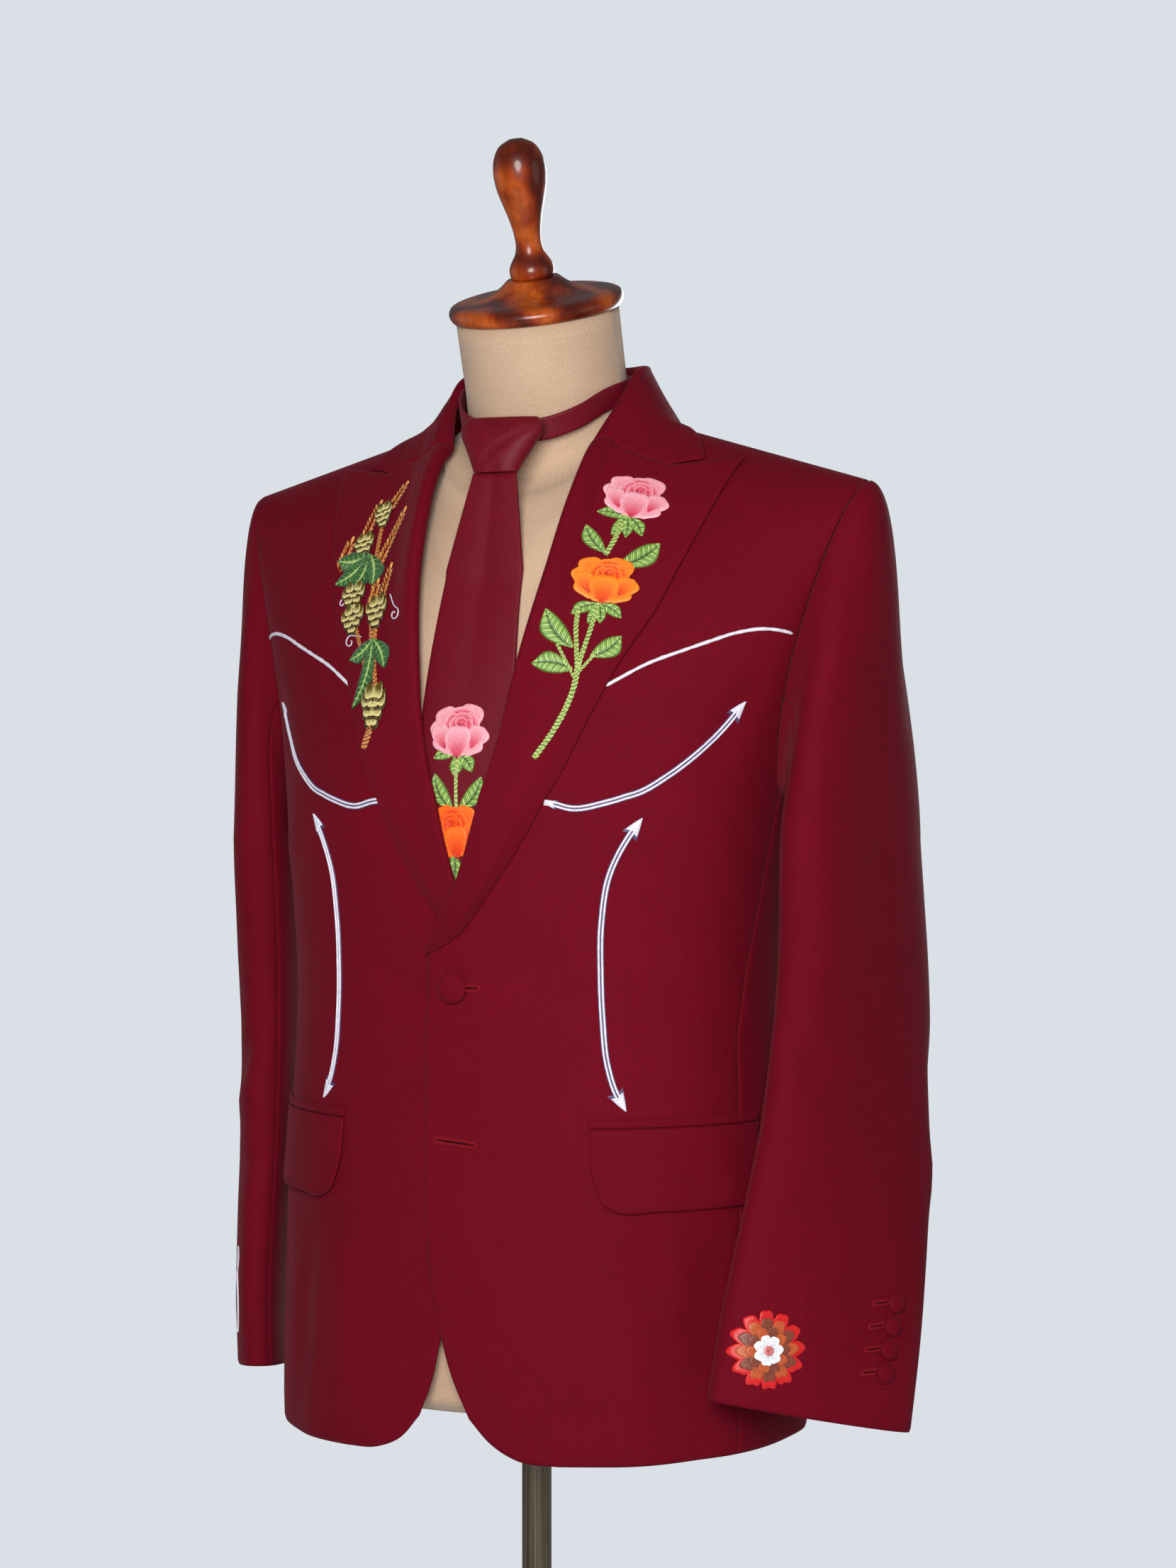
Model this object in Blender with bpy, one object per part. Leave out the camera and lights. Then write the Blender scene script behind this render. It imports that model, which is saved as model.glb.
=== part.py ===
# A western suit jacket with its matching tie, worn by a limbless dress form on a pole stand.
# Metres, +Z up, the front faces -Y, the wearer's left is +X, the origin is under the base on its axis.
import functools
import math

import bmesh
import bpy
import numpy as np

MM = 0.001

# Cloth walls and the gaps that keep neighbours apart
CLOTH = 2.2 * MM
SEAM_GAP = 0.3 * MM
LAYER_GAP = 0.6 * MM

# Levels of the jacket on the form
HEM_Z = 0.800
CHEST_Z = 1.250
BREAK_Z = 1.143

# Body of the jacket in level sections: height, half width, depth to the front, depth to the back, centre y
BODY_ROWS = (
    (0.780, 0.187, 0.150, 0.138, 0.012),
    (0.860, 0.190, 0.149, 0.138, 0.012),
    (0.950, 0.187, 0.146, 0.130, 0.012),
    (1.030, 0.183, 0.141, 0.118, 0.012),
    (1.110, 0.178, 0.138, 0.110, 0.010),
    (1.190, 0.183, 0.142, 0.118, 0.012),
    (1.260, 0.190, 0.142, 0.130, 0.015),
    (1.340, 0.196, 0.132, 0.138, 0.018),
)
SQUARENESS = 2.25

# Where the columns of cloth end at the top, and how they arrive there
NECK_POINT = (0.074, 0.026, 1.514)
SHOULDER_POINT = (0.237, 0.034, 1.467)
NECK_PIT = (0.0, -0.052, 1.462)
NAPE = (0.0, 0.098, 1.520)
NECK_FRONT, ARM_FRONT = math.radians(31), math.radians(79)
ARM_BACK, NECK_BACK = math.radians(111), math.radians(149)
NECK_ROUNDING = math.radians(7)
RISE_FRONT, RISE_BACK = 0.270, 0.300
RUN_SHOULDER, RUN_NECK = 0.150, 0.100
LIFT_SHOULDER, LIFT_NECK = 0.012, 0.062
SHOULDER_V = 1.998

# Soft vertical folds: angle in degrees (negative on the wearer's right), lowest z, highest z, spread, depth
FOLDS = (
    (60, 0.790, 1.060, 0.11, -2.4 * MM),
    (45, 0.790, 0.940, 0.12, 2.0 * MM),
    (100, 0.790, 1.120, 0.13, 2.4 * MM),
    (128, 0.790, 1.050, 0.12, -3.0 * MM),
    (150, 0.790, 1.090, 0.13, 2.6 * MM),
    (140, 1.080, 1.290, 0.14, -2.8 * MM),
    (-55, 0.790, 1.040, 0.12, -2.2 * MM),
    (-100, 0.790, 1.080, 0.12, -1.8 * MM),
    (-132, 0.790, 1.090, 0.12, -2.8 * MM),
    (-154, 0.790, 1.040, 0.12, 2.4 * MM),
    (-136, 1.090, 1.290, 0.14, -3.0 * MM),
)

# How far each front lies from the middle layer where they cross: height, distance
OVERLAP_ROWS = (
    (1.000, 1.6 * MM),
    (1.080, 1.6 * MM),
    (1.130, 2.9 * MM),
    (1.225, 2.9 * MM),
    (1.330, 0.8 * MM),
    (1.400, 0.0),
)
OVERLAP_FADE = (math.radians(12), math.radians(34))

# Front edges: distance from the centre front (negative is past it) and height
LEFT_CORNER = ((0.014, 0.829), (0.030, 0.813), (0.050, 0.8025), (0.076, 0.800))
LEFT_EDGE = ((0.014, 0.829), (0.001, 0.856), (-0.009, 0.888), (-0.017, 0.924), (-0.022, 0.982))
LEFT_PLACKET = ((-0.022, 0.982), (-0.024, 1.040), (-0.023, 1.100), (-0.020, BREAK_Z))
RIGHT_CORNER = ((0.026, 0.828), (0.042, 0.811), (0.060, 0.8035), (0.086, 0.8015))
RIGHT_EDGE = ((0.026, 0.828), (0.017, 0.850), (0.009, 0.886), (0.001, 0.924), (-0.010, 0.982))
RIGHT_PLACKET = ((-0.010, 0.982), (-0.018, 1.040), (-0.020, 1.100), (-0.020, BREAK_Z))
ROLL_LINE = (
    (-0.020, BREAK_Z),
    (-0.005, 1.185),
    (0.012, 1.238),
    (0.026, 1.280),
    (0.038, 1.338),
    (0.050, 1.399),
    (0.056, 1.448),
    (0.061, 1.490),
)

# Seams below the armhole: angle in degrees and height
SIDE_SEAM = ((70, 0.803), (71, 0.950), (72, 1.030), (74, 1.090), (77, 1.140), (80, 1.190), (83, 1.2545))
BACK_SEAM = ((119, 0.807), (121, 0.950), (121, 1.030), (119, 1.110), (114, 1.190), (107, 1.2545))
BACK_HEM_Z = 0.810

# Armhole: angle in degrees and chart height
FRONT_ARMHOLE = ((83, 1.010), (80, 1.120), (78.4, 1.280), (78.2, 1.450), (78.6, 1.700), (78.8, SHOULDER_V))
UNDER_ARMHOLE = ((83, 1.010), (88, 0.985), (95, 0.976), (102, 0.985), (107, 1.010))
FRONT_ARM_STEPS, UNDER_STEPS, BACK_ARM_STEPS = 9, 6, 8
BACK_ARMHOLE = (
    (107, 1.010),
    (110, 1.120),
    (111.2, 1.300),
    (111.4, 1.550),
    (111.2, 1.800),
    (111.2, SHOULDER_V),
)
SEAM_INSET = 0.5 * SEAM_GAP / 0.17

# Lapel: outer edge from the break to the peak, gorge from the roll line, top edge of the peak
LAPEL_EDGE = (
    (-0.016, 1.1445),
    (0.004, 1.156),
    (0.026, 1.184),
    (0.047, 1.216),
    (0.064, 1.249),
    (0.088, 1.301),
    (0.105, 1.342),
    (0.120, 1.371),
    (0.133, 1.408),
    (0.145, 1.446),
    (0.155, 1.481),
)
GORGE = ((0.061, 1.490), (0.082, 1.4835), (0.106, 1.4745))
PEAK_TOP = ((0.106, 1.4745), (0.130, 1.4775), (0.155, 1.481))
PRESSED_RADIUS, ROLL_RADIUS = 0.4 * MM, 3.0 * MM
ROLL_GAP, GORGE_GAP = 0.4 * MM, 1.0 * MM
ROLL_STEPS = (-90, -45, 0, 45, 90)
LAPEL_ROWS = 14

# Collar: middle of the fold from the side to the nape, edge of the leaf, foot of the stand
COLLAR_FOLD = (
    (0.0665, -0.0020, 1.5200),
    (0.0680, 0.0260, 1.5445),
    (0.0590, 0.0580, 1.5505),
    (0.0340, 0.0820, 1.5520),
    (0.0, 0.0915, 1.5525),
)
COLLAR_CORNER = ((0.1295, 1.4800), (0.1235, 1.4910))
COLLAR_LEAF = (
    (0.1095, 0.0230, 1.5050),
    (0.0985, 0.0300, 1.5085),
    (0.0860, 0.0560, 1.5120),
    (0.0600, 0.0860, 1.5130),
    (0.0300, 0.1060, 1.5105),
    (0.0, 0.1115, 1.5095),
)
COLLAR_FOOT = (
    (0.0705, 0.0250, 1.5165),
    (0.0580, 0.0600, 1.5200),
    (0.0320, 0.0865, 1.5220),
    (0.0, 0.0960, 1.5225),
)
COLLAR_RADIUS = 2.8 * MM
COLLAR_GAP = 0.6 * MM
COLLAR_STATIONS = 13

# Pocket flap and the jet over it, measured from the front
FLAP_TOP = ((0.0925, 1.0260), (0.130, 1.0265))
FLAP_BOTTOM = ((0.1010, 0.9775), (0.1090, 0.9718), (0.135, 0.9712))
FLAP_FRONT = ((0.1010, 0.9775), (0.0950, 0.9960), (0.0925, 1.0260))
FLAP_BACK_DEGREES = 77.5
FLAP_BACK_Z = (0.9725, 1.0270)
FLAP_CLOTH, FLAP_HANG = 2.0 * MM, 1.2 * MM
JET_HEIGHT, JET_CLOTH = 5.5 * MM, 1.4 * MM

# Raised white trim, measured from the front
YOKE_LINE = (
    (0.1035, 1.3285),
    (0.123, 1.3400),
    (0.142, 1.3480),
    (0.158, 1.3545),
    (0.172, 1.3600),
    (0.187, 1.3630),
    (0.199, 1.3615),
)
SMILE_ARROW = (
    (0.067, 1.2455),
    (0.082, 1.2420),
    (0.101, 1.2455),
    (0.121, 1.2520),
    (0.139, 1.2640),
    (0.153, 1.2770),
    (0.166, 1.2920),
    (0.180, 1.3140),
)
LONG_ARROW = (
    (0.125, 1.2360),
    (0.115, 1.2200),
    (0.105, 1.1970),
    (0.100, 1.1650),
    (0.099, 1.1300),
    (0.100, 1.1000),
    (0.103, 1.0700),
    (0.108, 1.0520),
    (0.115, 1.0380),
)
CORD_WIDTH, ARROW_WIDTH, TRIM_HEIGHT = 3.2 * MM, 4.8 * MM, 1.2 * MM
HEAD_LENGTH, HEAD_WIDTH, TIP_WIDTH = 12.0 * MM, 10.5 * MM, 0.6 * MM

# Sleeves by level rings: height, centre x and y, half width, half thickness, turn, drop towards the back
LEFT_SLEEVE = (
    (0.8330, 0.2262, -0.0510, 0.0730, 0.0195, 44, 0.21),
    (0.8800, 0.2280, -0.0370, 0.0750, 0.0210, 48, 0.17),
    (0.9300, 0.2292, -0.0190, 0.0770, 0.0225, 55, 0.12),
    (1.0200, 0.2305, 0.0090, 0.0795, 0.0245, 67, 0.07),
    (1.1200, 0.2288, 0.0285, 0.0802, 0.0265, 75, 0.03),
    (1.2150, 0.2265, 0.0290, 0.0800, 0.0280, 80, 0.00),
)
RIGHT_SLEEVE = (
    (0.8280, 0.2262, 0.0120, 0.0730, 0.0195, 66, 0.11),
    (0.8800, 0.2270, 0.0150, 0.0740, 0.0205, 68, 0.10),
    (0.9300, 0.2268, 0.0210, 0.0755, 0.0220, 69, 0.08),
    (1.0200, 0.2255, 0.0310, 0.0780, 0.0240, 71, 0.05),
    (1.1200, 0.2250, 0.0360, 0.0790, 0.0258, 73, 0.03),
    (1.2150, 0.2250, 0.0330, 0.0795, 0.0270, 75, 0.00),
)
SLEEVE_SOFTNESS = 0.8
FRONT_SLEEVE_SEAM, BACK_SLEEVE_SEAM = 0.20, 0.765
CAP_STEPS = (0.0, 0.10, 0.22, 0.38, 0.56, 0.78, 1.0)
CUFF_STEPS = 11
CAP_REACH_LEFT, CAP_REACH_RIGHT, UNDERARM_REACH = 0.092, 0.052, 0.022
SLEEVE_CLOTH = 2.2 * MM
ARMHOLE_GAP = 0.5 * MM
SLEEVE_SEAM_TURN = 0.5 * SEAM_GAP / 0.20
VENT_TOP, VENT_LIFT, VENT_WIDTH = 0.930, 1.6 * MM, 0.05

# Covered buttons: height and radius from the cloth outwards
FRONT_BUTTON = (
    (0.0, 8.8 * MM),
    (1.0 * MM, 10.2 * MM),
    (2.6 * MM, 10.5 * MM),
    (4.2 * MM, 9.0 * MM),
    (5.4 * MM, 5.0 * MM),
)
CUFF_BUTTON = ((0.0, 6.1 * MM), (1.4 * MM, 6.9 * MM), (3.0 * MM, 5.9 * MM), (4.0 * MM, 3.0 * MM))
FRONT_BUTTON_X, FRONT_BUTTON_Z = -0.001, 1.120
CUFF_BUTTON_Z = (0.8585, 0.8735, 0.8885, 0.9035)
CUFF_BUTTON_TURN = 0.597
BUTTON_GAP = 0.4 * MM

# Tie: height and half width of the blade, which lies behind the fronts, then the knot by level rings
TIE_ROWS = (
    (1.035, 0.0020),
    (1.075, 0.0400),
    (1.170, 0.0395),
    (1.250, 0.0370),
    (1.330, 0.0345),
    (1.400, 0.0300),
)
TIE_TOP_ROWS = ((1.400, 0.0300, -0.0870), (1.435, 0.0235, -0.0780), (1.472, 0.0165, -0.0690))
TIE_BEHIND, TIE_CLOTH = 6.0 * MM, 2.6 * MM
KNOT_ROWS = (
    (1.4723, 0.0165, 0.0075, -0.0665),
    (1.4810, 0.0205, 0.0110, -0.0635),
    (1.4910, 0.0260, 0.0125, -0.0600),
    (1.5000, 0.0305, 0.0120, -0.0575),
    (1.5070, 0.0300, 0.0100, -0.0555),
    (1.5110, 0.0265, 0.0075, -0.0545),
)
BAND_PATH = (
    (0.006, -0.0428, 1.502),
    (0.026, -0.0390, 1.504),
    (0.044, -0.0270, 1.512),
    (0.0560, -0.0050, 1.525),
    (0.0615, 0.0185, 1.533),
    (0.0535, 0.0465, 1.5385),
    (0.0315, 0.0705, 1.5415),
    (0.0, 0.0795, 1.5430),
)
BAND_WIDTH, BAND_CLOTH = 16.0 * MM, 2.0 * MM

# Dress form: chart height and how far it lies inside the jacket at the front and elsewhere
FORM_ROWS = (
    (0.060, 0.0300, 0.0300),
    (0.075, 0.0200, 0.0200),
    (0.100, 0.0170, 0.0170),
    (0.300, 0.0145, 0.0145),
    (0.550, 0.0105, 0.0100),
    (0.750, 0.0100, 0.0080),
    (0.950, 0.0100, 0.0070),
    (1.150, 0.0100, 0.0065),
    (1.350, 0.0100, 0.0060),
    (1.550, 0.0100, 0.0055),
    (1.700, 0.0100, 0.0050),
    (1.820, 0.0095, 0.0050),
    (1.920, 0.0085, 0.0048),
    (2.000, 0.0070, 0.0048),
)
FORM_SHOULDER_STEPS = 5
FORM_ARM_INSET = 5.0 * MM

# Neck of the form: distance below its top at the front, side and back, and radius
NECK_TILT = math.radians(17)
NECK_TOP = (0.0, 0.0013, 1.5893)
NECK_ROWS = (
    (0.1075, 0.0765, 0.0935, 0.0610),
    (0.0875, 0.0635, 0.0755, 0.0582),
    (0.0585, 0.0455, 0.0515, 0.0575),
    (0.0295, 0.0255, 0.0275, 0.0578),
    (0.0, 0.0, 0.0, 0.0580),
)

# Turned wood on the neck's axis: height over the neck's top and radius
CAP_PROFILE = (
    (0.0005, 0.0598),
    (0.0030, 0.0616),
    (0.0065, 0.0622),
    (0.0100, 0.0606),
    (0.0118, 0.0560),
    (0.0130, 0.0440),
    (0.0155, 0.0330),
    (0.0200, 0.0245),
    (0.0250, 0.0185),
)
KNOB_PROFILE = (
    (0.0253, 0.0150),
    (0.0285, 0.0158),
    (0.0335, 0.0154),
    (0.0378, 0.0133),
    (0.0423, 0.0106),
    (0.0485, 0.0092),
    (0.0550, 0.0094),
    (0.0670, 0.0116),
    (0.0790, 0.0150),
    (0.0905, 0.0179),
    (0.1010, 0.0186),
    (0.1110, 0.0168),
    (0.1185, 0.0124),
    (0.1227, 0.0050),
)

# Stand: height and radius of the base, then the pole
BASE_PROFILE = (
    (0.0, 0.1660),
    (0.0040, 0.1700),
    (0.0100, 0.1690),
    (0.0130, 0.1640),
    (0.0150, 0.0320),
    (0.0200, 0.0250),
    (0.0420, 0.0225),
    (0.0450, 0.0195),
)
POLE_RADIUS, POLE_FOOT, POLE_HEAD = 0.0105, 0.0453, 0.8269
ROUND_STEPS = 32


@functools.lru_cache(maxsize=None)
def knots(rows):
    """Places, values and slopes of a table whose first column holds the places."""
    table = np.array(rows, float)
    return table[:, 0], table[:, 1:], np.gradient(table[:, 1:], table[:, 0], axis=0)


def spline(rows, x):
    """Smooth values of a table's other columns at x, on the last axis."""
    xs, ys, slopes = knots(rows)
    x = np.clip(np.asarray(x, float), xs[0], xs[-1])
    i = np.clip(np.searchsorted(xs, x, side="right") - 1, 0, len(xs) - 2)
    step = (xs[i + 1] - xs[i])[..., None]
    t = (x - xs[i])[..., None] / step
    rise = (1 + 2 * t) * (1 - t) ** 2 * ys[i] + t * t * (3 - 2 * t) * ys[i + 1]
    return rise + t * (1 - t) ** 2 * step * slopes[i] + t * t * (t - 1) * step * slopes[i + 1]


def columns_at(rows, x):
    """The same as one array for each column."""
    return np.moveaxis(spline(rows, x), -1, 0)


def mix(a, b, t):
    t = np.asarray(t, float)[..., None]
    return np.asarray(a, float) * (1 - t) + np.asarray(b, float) * t


def smooth_step(low, high, x):
    t = np.clip((np.asarray(x, float) - low) / (high - low), 0, 1)
    return t * t * (3 - 2 * t)


def unit(vectors):
    return vectors / np.linalg.norm(vectors, axis=-1, keepdims=True)


def hermite(start, leave, end, arrive, t):
    t = np.asarray(t, float)[..., None]
    path = (1 + 2 * t) * (1 - t) ** 2 * start + t * (1 - t) ** 2 * leave
    return path + t * t * (3 - 2 * t) * end + t * t * (t - 1) * arrive


def section(phi, z):
    """Level section of the body: phi turns from the centre front, 0, to the centre back, pi."""
    wide, front, back, centre = columns_at(BODY_ROWS, z)
    s, c = np.sin(phi), np.cos(phi)
    deep = np.where(c > 0, front, back)
    radius = (np.abs(s / wide) ** SQUARENESS + np.abs(c / deep) ** SQUARENESS) ** (-1 / SQUARENESS)
    return np.stack(np.broadcast_arrays(radius * s, centre - radius * c, z), axis=-1)


def along_shoulder(phi):
    """Share of the shoulder seam, from the neck to the sleeve, at which the column at phi ends."""
    corners = section(np.array((NECK_FRONT, ARM_FRONT, NECK_BACK, ARM_BACK)), np.full(4, CHEST_Z))[:, 0]
    front = phi < math.pi / 2
    x_neck, x_arm = np.where(front, corners[0], corners[2]), np.where(front, corners[1], corners[3])
    x = section(phi, np.full_like(phi, CHEST_Z))[..., 0]
    return np.clip((x - x_neck) / (x_arm - x_neck), 0, 1)


def top_end(phi):
    """Where the column at phi ends, on the neck ring or the shoulder seam, and its end tangent."""
    front = phi < math.pi / 2
    shoulder = mix(NECK_POINT, SHOULDER_POINT, along_shoulder(phi))
    share = np.clip(np.where(front, phi / NECK_FRONT, (math.pi - phi) / (math.pi - NECK_BACK)), 0, 1)
    turn = share * math.pi / 2
    middle = np.where(front[..., None], np.array(NECK_PIT), np.array(NAPE))
    ring = np.stack(
        [
            NECK_POINT[0] * np.sin(turn),
            NECK_POINT[1] + (middle[..., 1] - NECK_POINT[1]) * np.cos(turn),
            NECK_POINT[2] + (middle[..., 2] - NECK_POINT[2]) * np.cos(turn) ** 1.5,
        ],
        axis=-1,
    )
    end = np.where((share < 1)[..., None], ring, shoulder)
    backward = np.clip((math.radians(95) - phi) / math.radians(16), -1, 1)
    run = RUN_SHOULDER + (RUN_NECK - RUN_SHOULDER) * (1 - share)
    lift = LIFT_SHOULDER + (LIFT_NECK - LIFT_SHOULDER) * (1 - share)
    return end, np.stack([0 * phi, backward * run, lift], axis=-1)


def rounded_top_end(phi):
    """The same with the corner at the neck point rounded off."""
    ends = [top_end(np.clip(phi + d, 0, math.pi)) for d in (-NECK_ROUNDING, 0, NECK_ROUNDING)]
    near = np.exp(-(((phi - NECK_FRONT) / 0.2) ** 2)), np.exp(-(((phi - NECK_BACK) / 0.2) ** 2))
    weight = np.maximum(*near)[..., None]
    return [
        middle + weight * (0.25 * before + 0.25 * after - 0.5 * middle)
        for before, middle, after in zip(*ends)
    ]


def fold_relief(phi, z):
    """How far the soft vertical folds move the cloth out."""
    total = np.zeros(np.broadcast(phi, z).shape)
    for degrees, low, high, spread, depth in FOLDS:
        across = np.exp(-(((phi - math.radians(degrees)) / spread) ** 2))
        top_fade = 1 - smooth_step(high - 0.4 * (high - low), high, z)
        total += depth * across * top_fade * smooth_step(low - 0.02, low + 0.02, z)
    return total


def bare_body(phi, v):
    """Outer cloth without folds. v runs from 0 at the hem to 1 at the chest line to 2 at the top."""
    phi, v = np.broadcast_arrays(np.asarray(phi, float), np.asarray(v, float))
    angle = np.abs(phi)
    low = section(angle, HEM_Z + (CHEST_Z - HEM_Z) * np.clip(v, None, 1))
    chest = np.full_like(angle, CHEST_Z)
    start = section(angle, chest)
    slope = (section(angle, chest + 4 * MM) - section(angle, chest - 4 * MM)) / (8 * MM)
    leave = slope * np.where(angle < math.pi / 2, RISE_FRONT, RISE_BACK)[..., None]
    end, arrive = rounded_top_end(angle)
    high = hermite(start, leave, end, arrive, np.clip(v - 1, 0, 1))
    points = np.where((v <= 1)[..., None], low, high)
    points[..., 0] *= np.where(phi < 0, -1.0, 1.0)
    return points


def body_normal(phi, v):
    phi, v = np.broadcast_arrays(np.asarray(phi, float), np.asarray(v, float))
    small = 1e-3
    across = bare_body(phi + small, v) - bare_body(phi - small, v)
    up = bare_body(phi, np.minimum(v + small, 2.0)) - bare_body(phi, v - small)
    return unit(np.cross(across, up))


def body(phi, v, out=0.0):
    """Outer cloth with its folds, moved out along the normal. phi is negative on the wearer's right."""
    points = bare_body(phi, v)
    relief = fold_relief(phi, points[..., 2]) + out
    return points + body_normal(phi, v) * relief[..., None]


def level(z):
    """Chart height of a level under the chest line."""
    return (np.asarray(z, float) - HEM_Z) / (CHEST_Z - HEM_Z)


def chart(x, z):
    """Angle and chart height of the point of the front that is x from the centre front at height z."""
    x, z = np.asarray(x, float), np.asarray(z, float)
    phi, v = np.clip(x / 0.19, -0.3, 1.1), np.where(z < CHEST_Z, level(z), 1 + (z - CHEST_Z) / 0.27)
    small = 1e-3
    for _ in range(14):
        here = bare_body(phi, v)
        across, up = (bare_body(phi + small, v) - here) / small, (here - bare_body(phi, v - small)) / small
        miss_x, miss_z = x - here[..., 0], z - here[..., 2]
        area = across[..., 0] * up[..., 2] - across[..., 2] * up[..., 0]
        step_phi = (miss_x * up[..., 2] - miss_z * up[..., 0]) / area
        step_v = (across[..., 0] * miss_z - across[..., 2] * miss_x) / area
        phi = phi + np.clip(step_phi, -0.2, 0.2)
        v = np.clip(v + np.clip(step_v, -0.2, 0.2), -0.1, 1.99)
    return np.stack([phi, v], axis=-1)


def charted(points):
    points = np.array(points, float)
    return chart(points[:, 0], points[:, 1])


def seam(points, levels=True):
    """Chart points of a seam given by angle in degrees and height, or chart height."""
    points = np.array(points, float)
    heights = level(points[:, 1]) if levels else points[:, 1]
    return np.stack([np.radians(points[:, 0]), heights], axis=-1)


def resample(points, wanted, weights):
    """Points of a smooth curve through the given ones at shares of its length."""
    points = np.array(points, float)
    gaps = np.linalg.norm(np.diff(points * weights, axis=0), axis=1)
    along = np.concatenate([[0], np.cumsum(gaps)])
    table = tuple(map(tuple, np.column_stack([along, points])))
    dense = spline(table, np.linspace(0, along[-1], 24 * len(points)))
    steps = np.linalg.norm(np.diff(dense * weights, axis=0), axis=1)
    length = np.concatenate([[0], np.cumsum(steps)])
    places = np.asarray(wanted) * length[-1]
    return np.stack([np.interp(places, length, dense[:, c]) for c in range(points.shape[1])], axis=-1)


def smooth_path(points, count):
    """count + 1 evenly spaced points of a smooth curve, in the chart or in space."""
    weights = np.array((0.17, 0.45)) if len(points[0]) == 2 else np.ones(3)
    return resample(points, np.linspace(0, 1, count + 1), weights)


def joined(*parts):
    """One path from (points, count) pairs, with a vertex where each pair meets."""
    paths = [smooth_path(points, count) for points, count in parts]
    return np.concatenate([paths[0]] + [p[1:] for p in paths[1:]])


def coons(bottom, top, start, end):
    """Grid between four paths: bottom and top run across, start and end run up."""
    across = np.linspace(0, 1, len(bottom))[:, None, None]
    up = np.linspace(0, 1, len(start))[None, :, None]
    ruled_up = bottom[:, None] * (1 - up) + top[:, None] * up
    ruled_across = start[None] * (1 - across) + end[None] * across
    corners = (1 - across) * ((1 - up) * bottom[0] + up * top[0])
    corners = corners + across * ((1 - up) * bottom[-1] + up * top[-1])
    return ruled_up + ruled_across - corners


def material(name, color, roughness, metallic=0.0):
    made = bpy.data.materials.new(name)
    made.use_nodes = True
    shader = made.node_tree.nodes["Principled BSDF"]
    shader.inputs["Base Color"].default_value = (*color, 1)
    shader.inputs["Roughness"].default_value = roughness
    shader.inputs["Metallic"].default_value = metallic
    return made


def add_object(name, points, faces, finish):
    mesh = bpy.data.meshes.new(name)
    mesh.from_pydata([tuple(p) for p in points], [], faces)
    work = bmesh.new()
    work.from_mesh(mesh)
    bmesh.ops.remove_doubles(work, verts=work.verts, dist=0.01 * MM)
    bmesh.ops.recalc_face_normals(work, faces=work.faces)
    work.to_mesh(mesh)
    work.free()
    mesh.materials.append(finish)
    mesh.shade_smooth()
    mesh.set_sharp_from_angle(angle=math.radians(40))
    made = bpy.data.objects.new(name, mesh)
    bpy.data.collections["western_suit"].objects.link(made)
    return made


def wall(name, outer, inner, finish):
    """Closed wall of cloth between two grids of the same size."""
    across, up = outer.shape[:2]
    points = np.concatenate([outer.reshape(-1, 3), inner.reshape(-1, 3)])

    def index(i, j, layer):
        return layer * across * up + i * up + j

    faces = []
    for i in range(across - 1):
        for j in range(up - 1):
            for layer in (0, 1):
                a, b = index(i, j, layer), index(i + 1, j, layer)
                c, d = index(i + 1, j + 1, layer), index(i, j + 1, layer)
                faces += [(a, b, c), (a, c, d)] if layer == 0 else [(a, c, b), (a, d, c)]
    rim = [(i, 0) for i in range(across)] + [(across - 1, j) for j in range(1, up)]
    rim += [(i, up - 1) for i in range(across - 2, -1, -1)] + [(0, j) for j in range(up - 2, 0, -1)]
    for (i, j), (k, m) in zip(rim, rim[1:] + rim[:1]):
        a, b, c, d = index(i, j, 0), index(k, m, 0), index(k, m, 1), index(i, j, 1)
        faces += [(a, c, b), (a, d, c)]
    return add_object(name, points, faces, finish)


def thick_sheet(name, middle, thickness, finish):
    """Closed wall on both sides of a grid that lies in its middle."""
    normal = unit(np.cross(np.gradient(middle, axis=0), np.gradient(middle, axis=1)))
    return wall(name, middle + normal * thickness / 2, middle - normal * thickness / 2, finish)


def tube(name, rings, finish):
    """Closed solid through rings of points, with a flat fan at each end."""
    count = rings.shape[1]
    points = list(rings.reshape(-1, 3)) + [rings[0].mean(axis=0), rings[-1].mean(axis=0)]
    faces = []
    for r in range(len(rings) - 1):
        for k in range(count):
            a, b = r * count + k, r * count + (k + 1) % count
            faces += [(a, b, b + count), (a, b + count, a + count)]
    low, high = len(points) - 2, len(points) - 1
    top = (len(rings) - 1) * count
    for k in range(count):
        faces += [(low, (k + 1) % count, k), (high, top + k, top + (k + 1) % count)]
    return add_object(name, points, faces, finish)


def turned(name, profile, origin, axis, steps, finish):
    """Solid of revolution from (height, radius) pairs along an axis."""
    axis = unit(np.array(axis, float))
    first = unit(np.cross(axis, (0.0, 1.0, 0.0) if abs(axis[1]) < 0.9 else (0.0, 0.0, 1.0)))
    second = np.cross(axis, first)
    turn = np.linspace(0, 2 * math.pi, steps, endpoint=False)[:, None]
    circle = first * np.cos(turn) + second * np.sin(turn)
    rings = np.array([np.array(origin) + axis * h + circle * r for h, r in profile])
    return tube(name, rings, finish)


def side_name(base, side):
    return base + ("_left" if side > 0 else "_right")


def front_lift(side, phi, z):
    """The left front lies over the right one, and both lie flat again away from the crossing."""
    near = 1 - smooth_step(*OVERLAP_FADE, np.abs(phi))
    return side * spline(OVERLAP_ROWS, z)[..., 0] * near


def panel(name, side, grid, finish, lifted=False):
    """Wall of cloth on a chart grid, short of its neighbours by half a seam gap at both ends."""
    phi, v = side * grid[..., 0], grid[..., 1]
    lift = front_lift(side, phi, bare_body(phi, v)[..., 2]) if lifted else 0.0
    return wall(side_name(name, side), body(phi, v, lift), body(phi, v, lift - CLOTH), finish)


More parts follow.
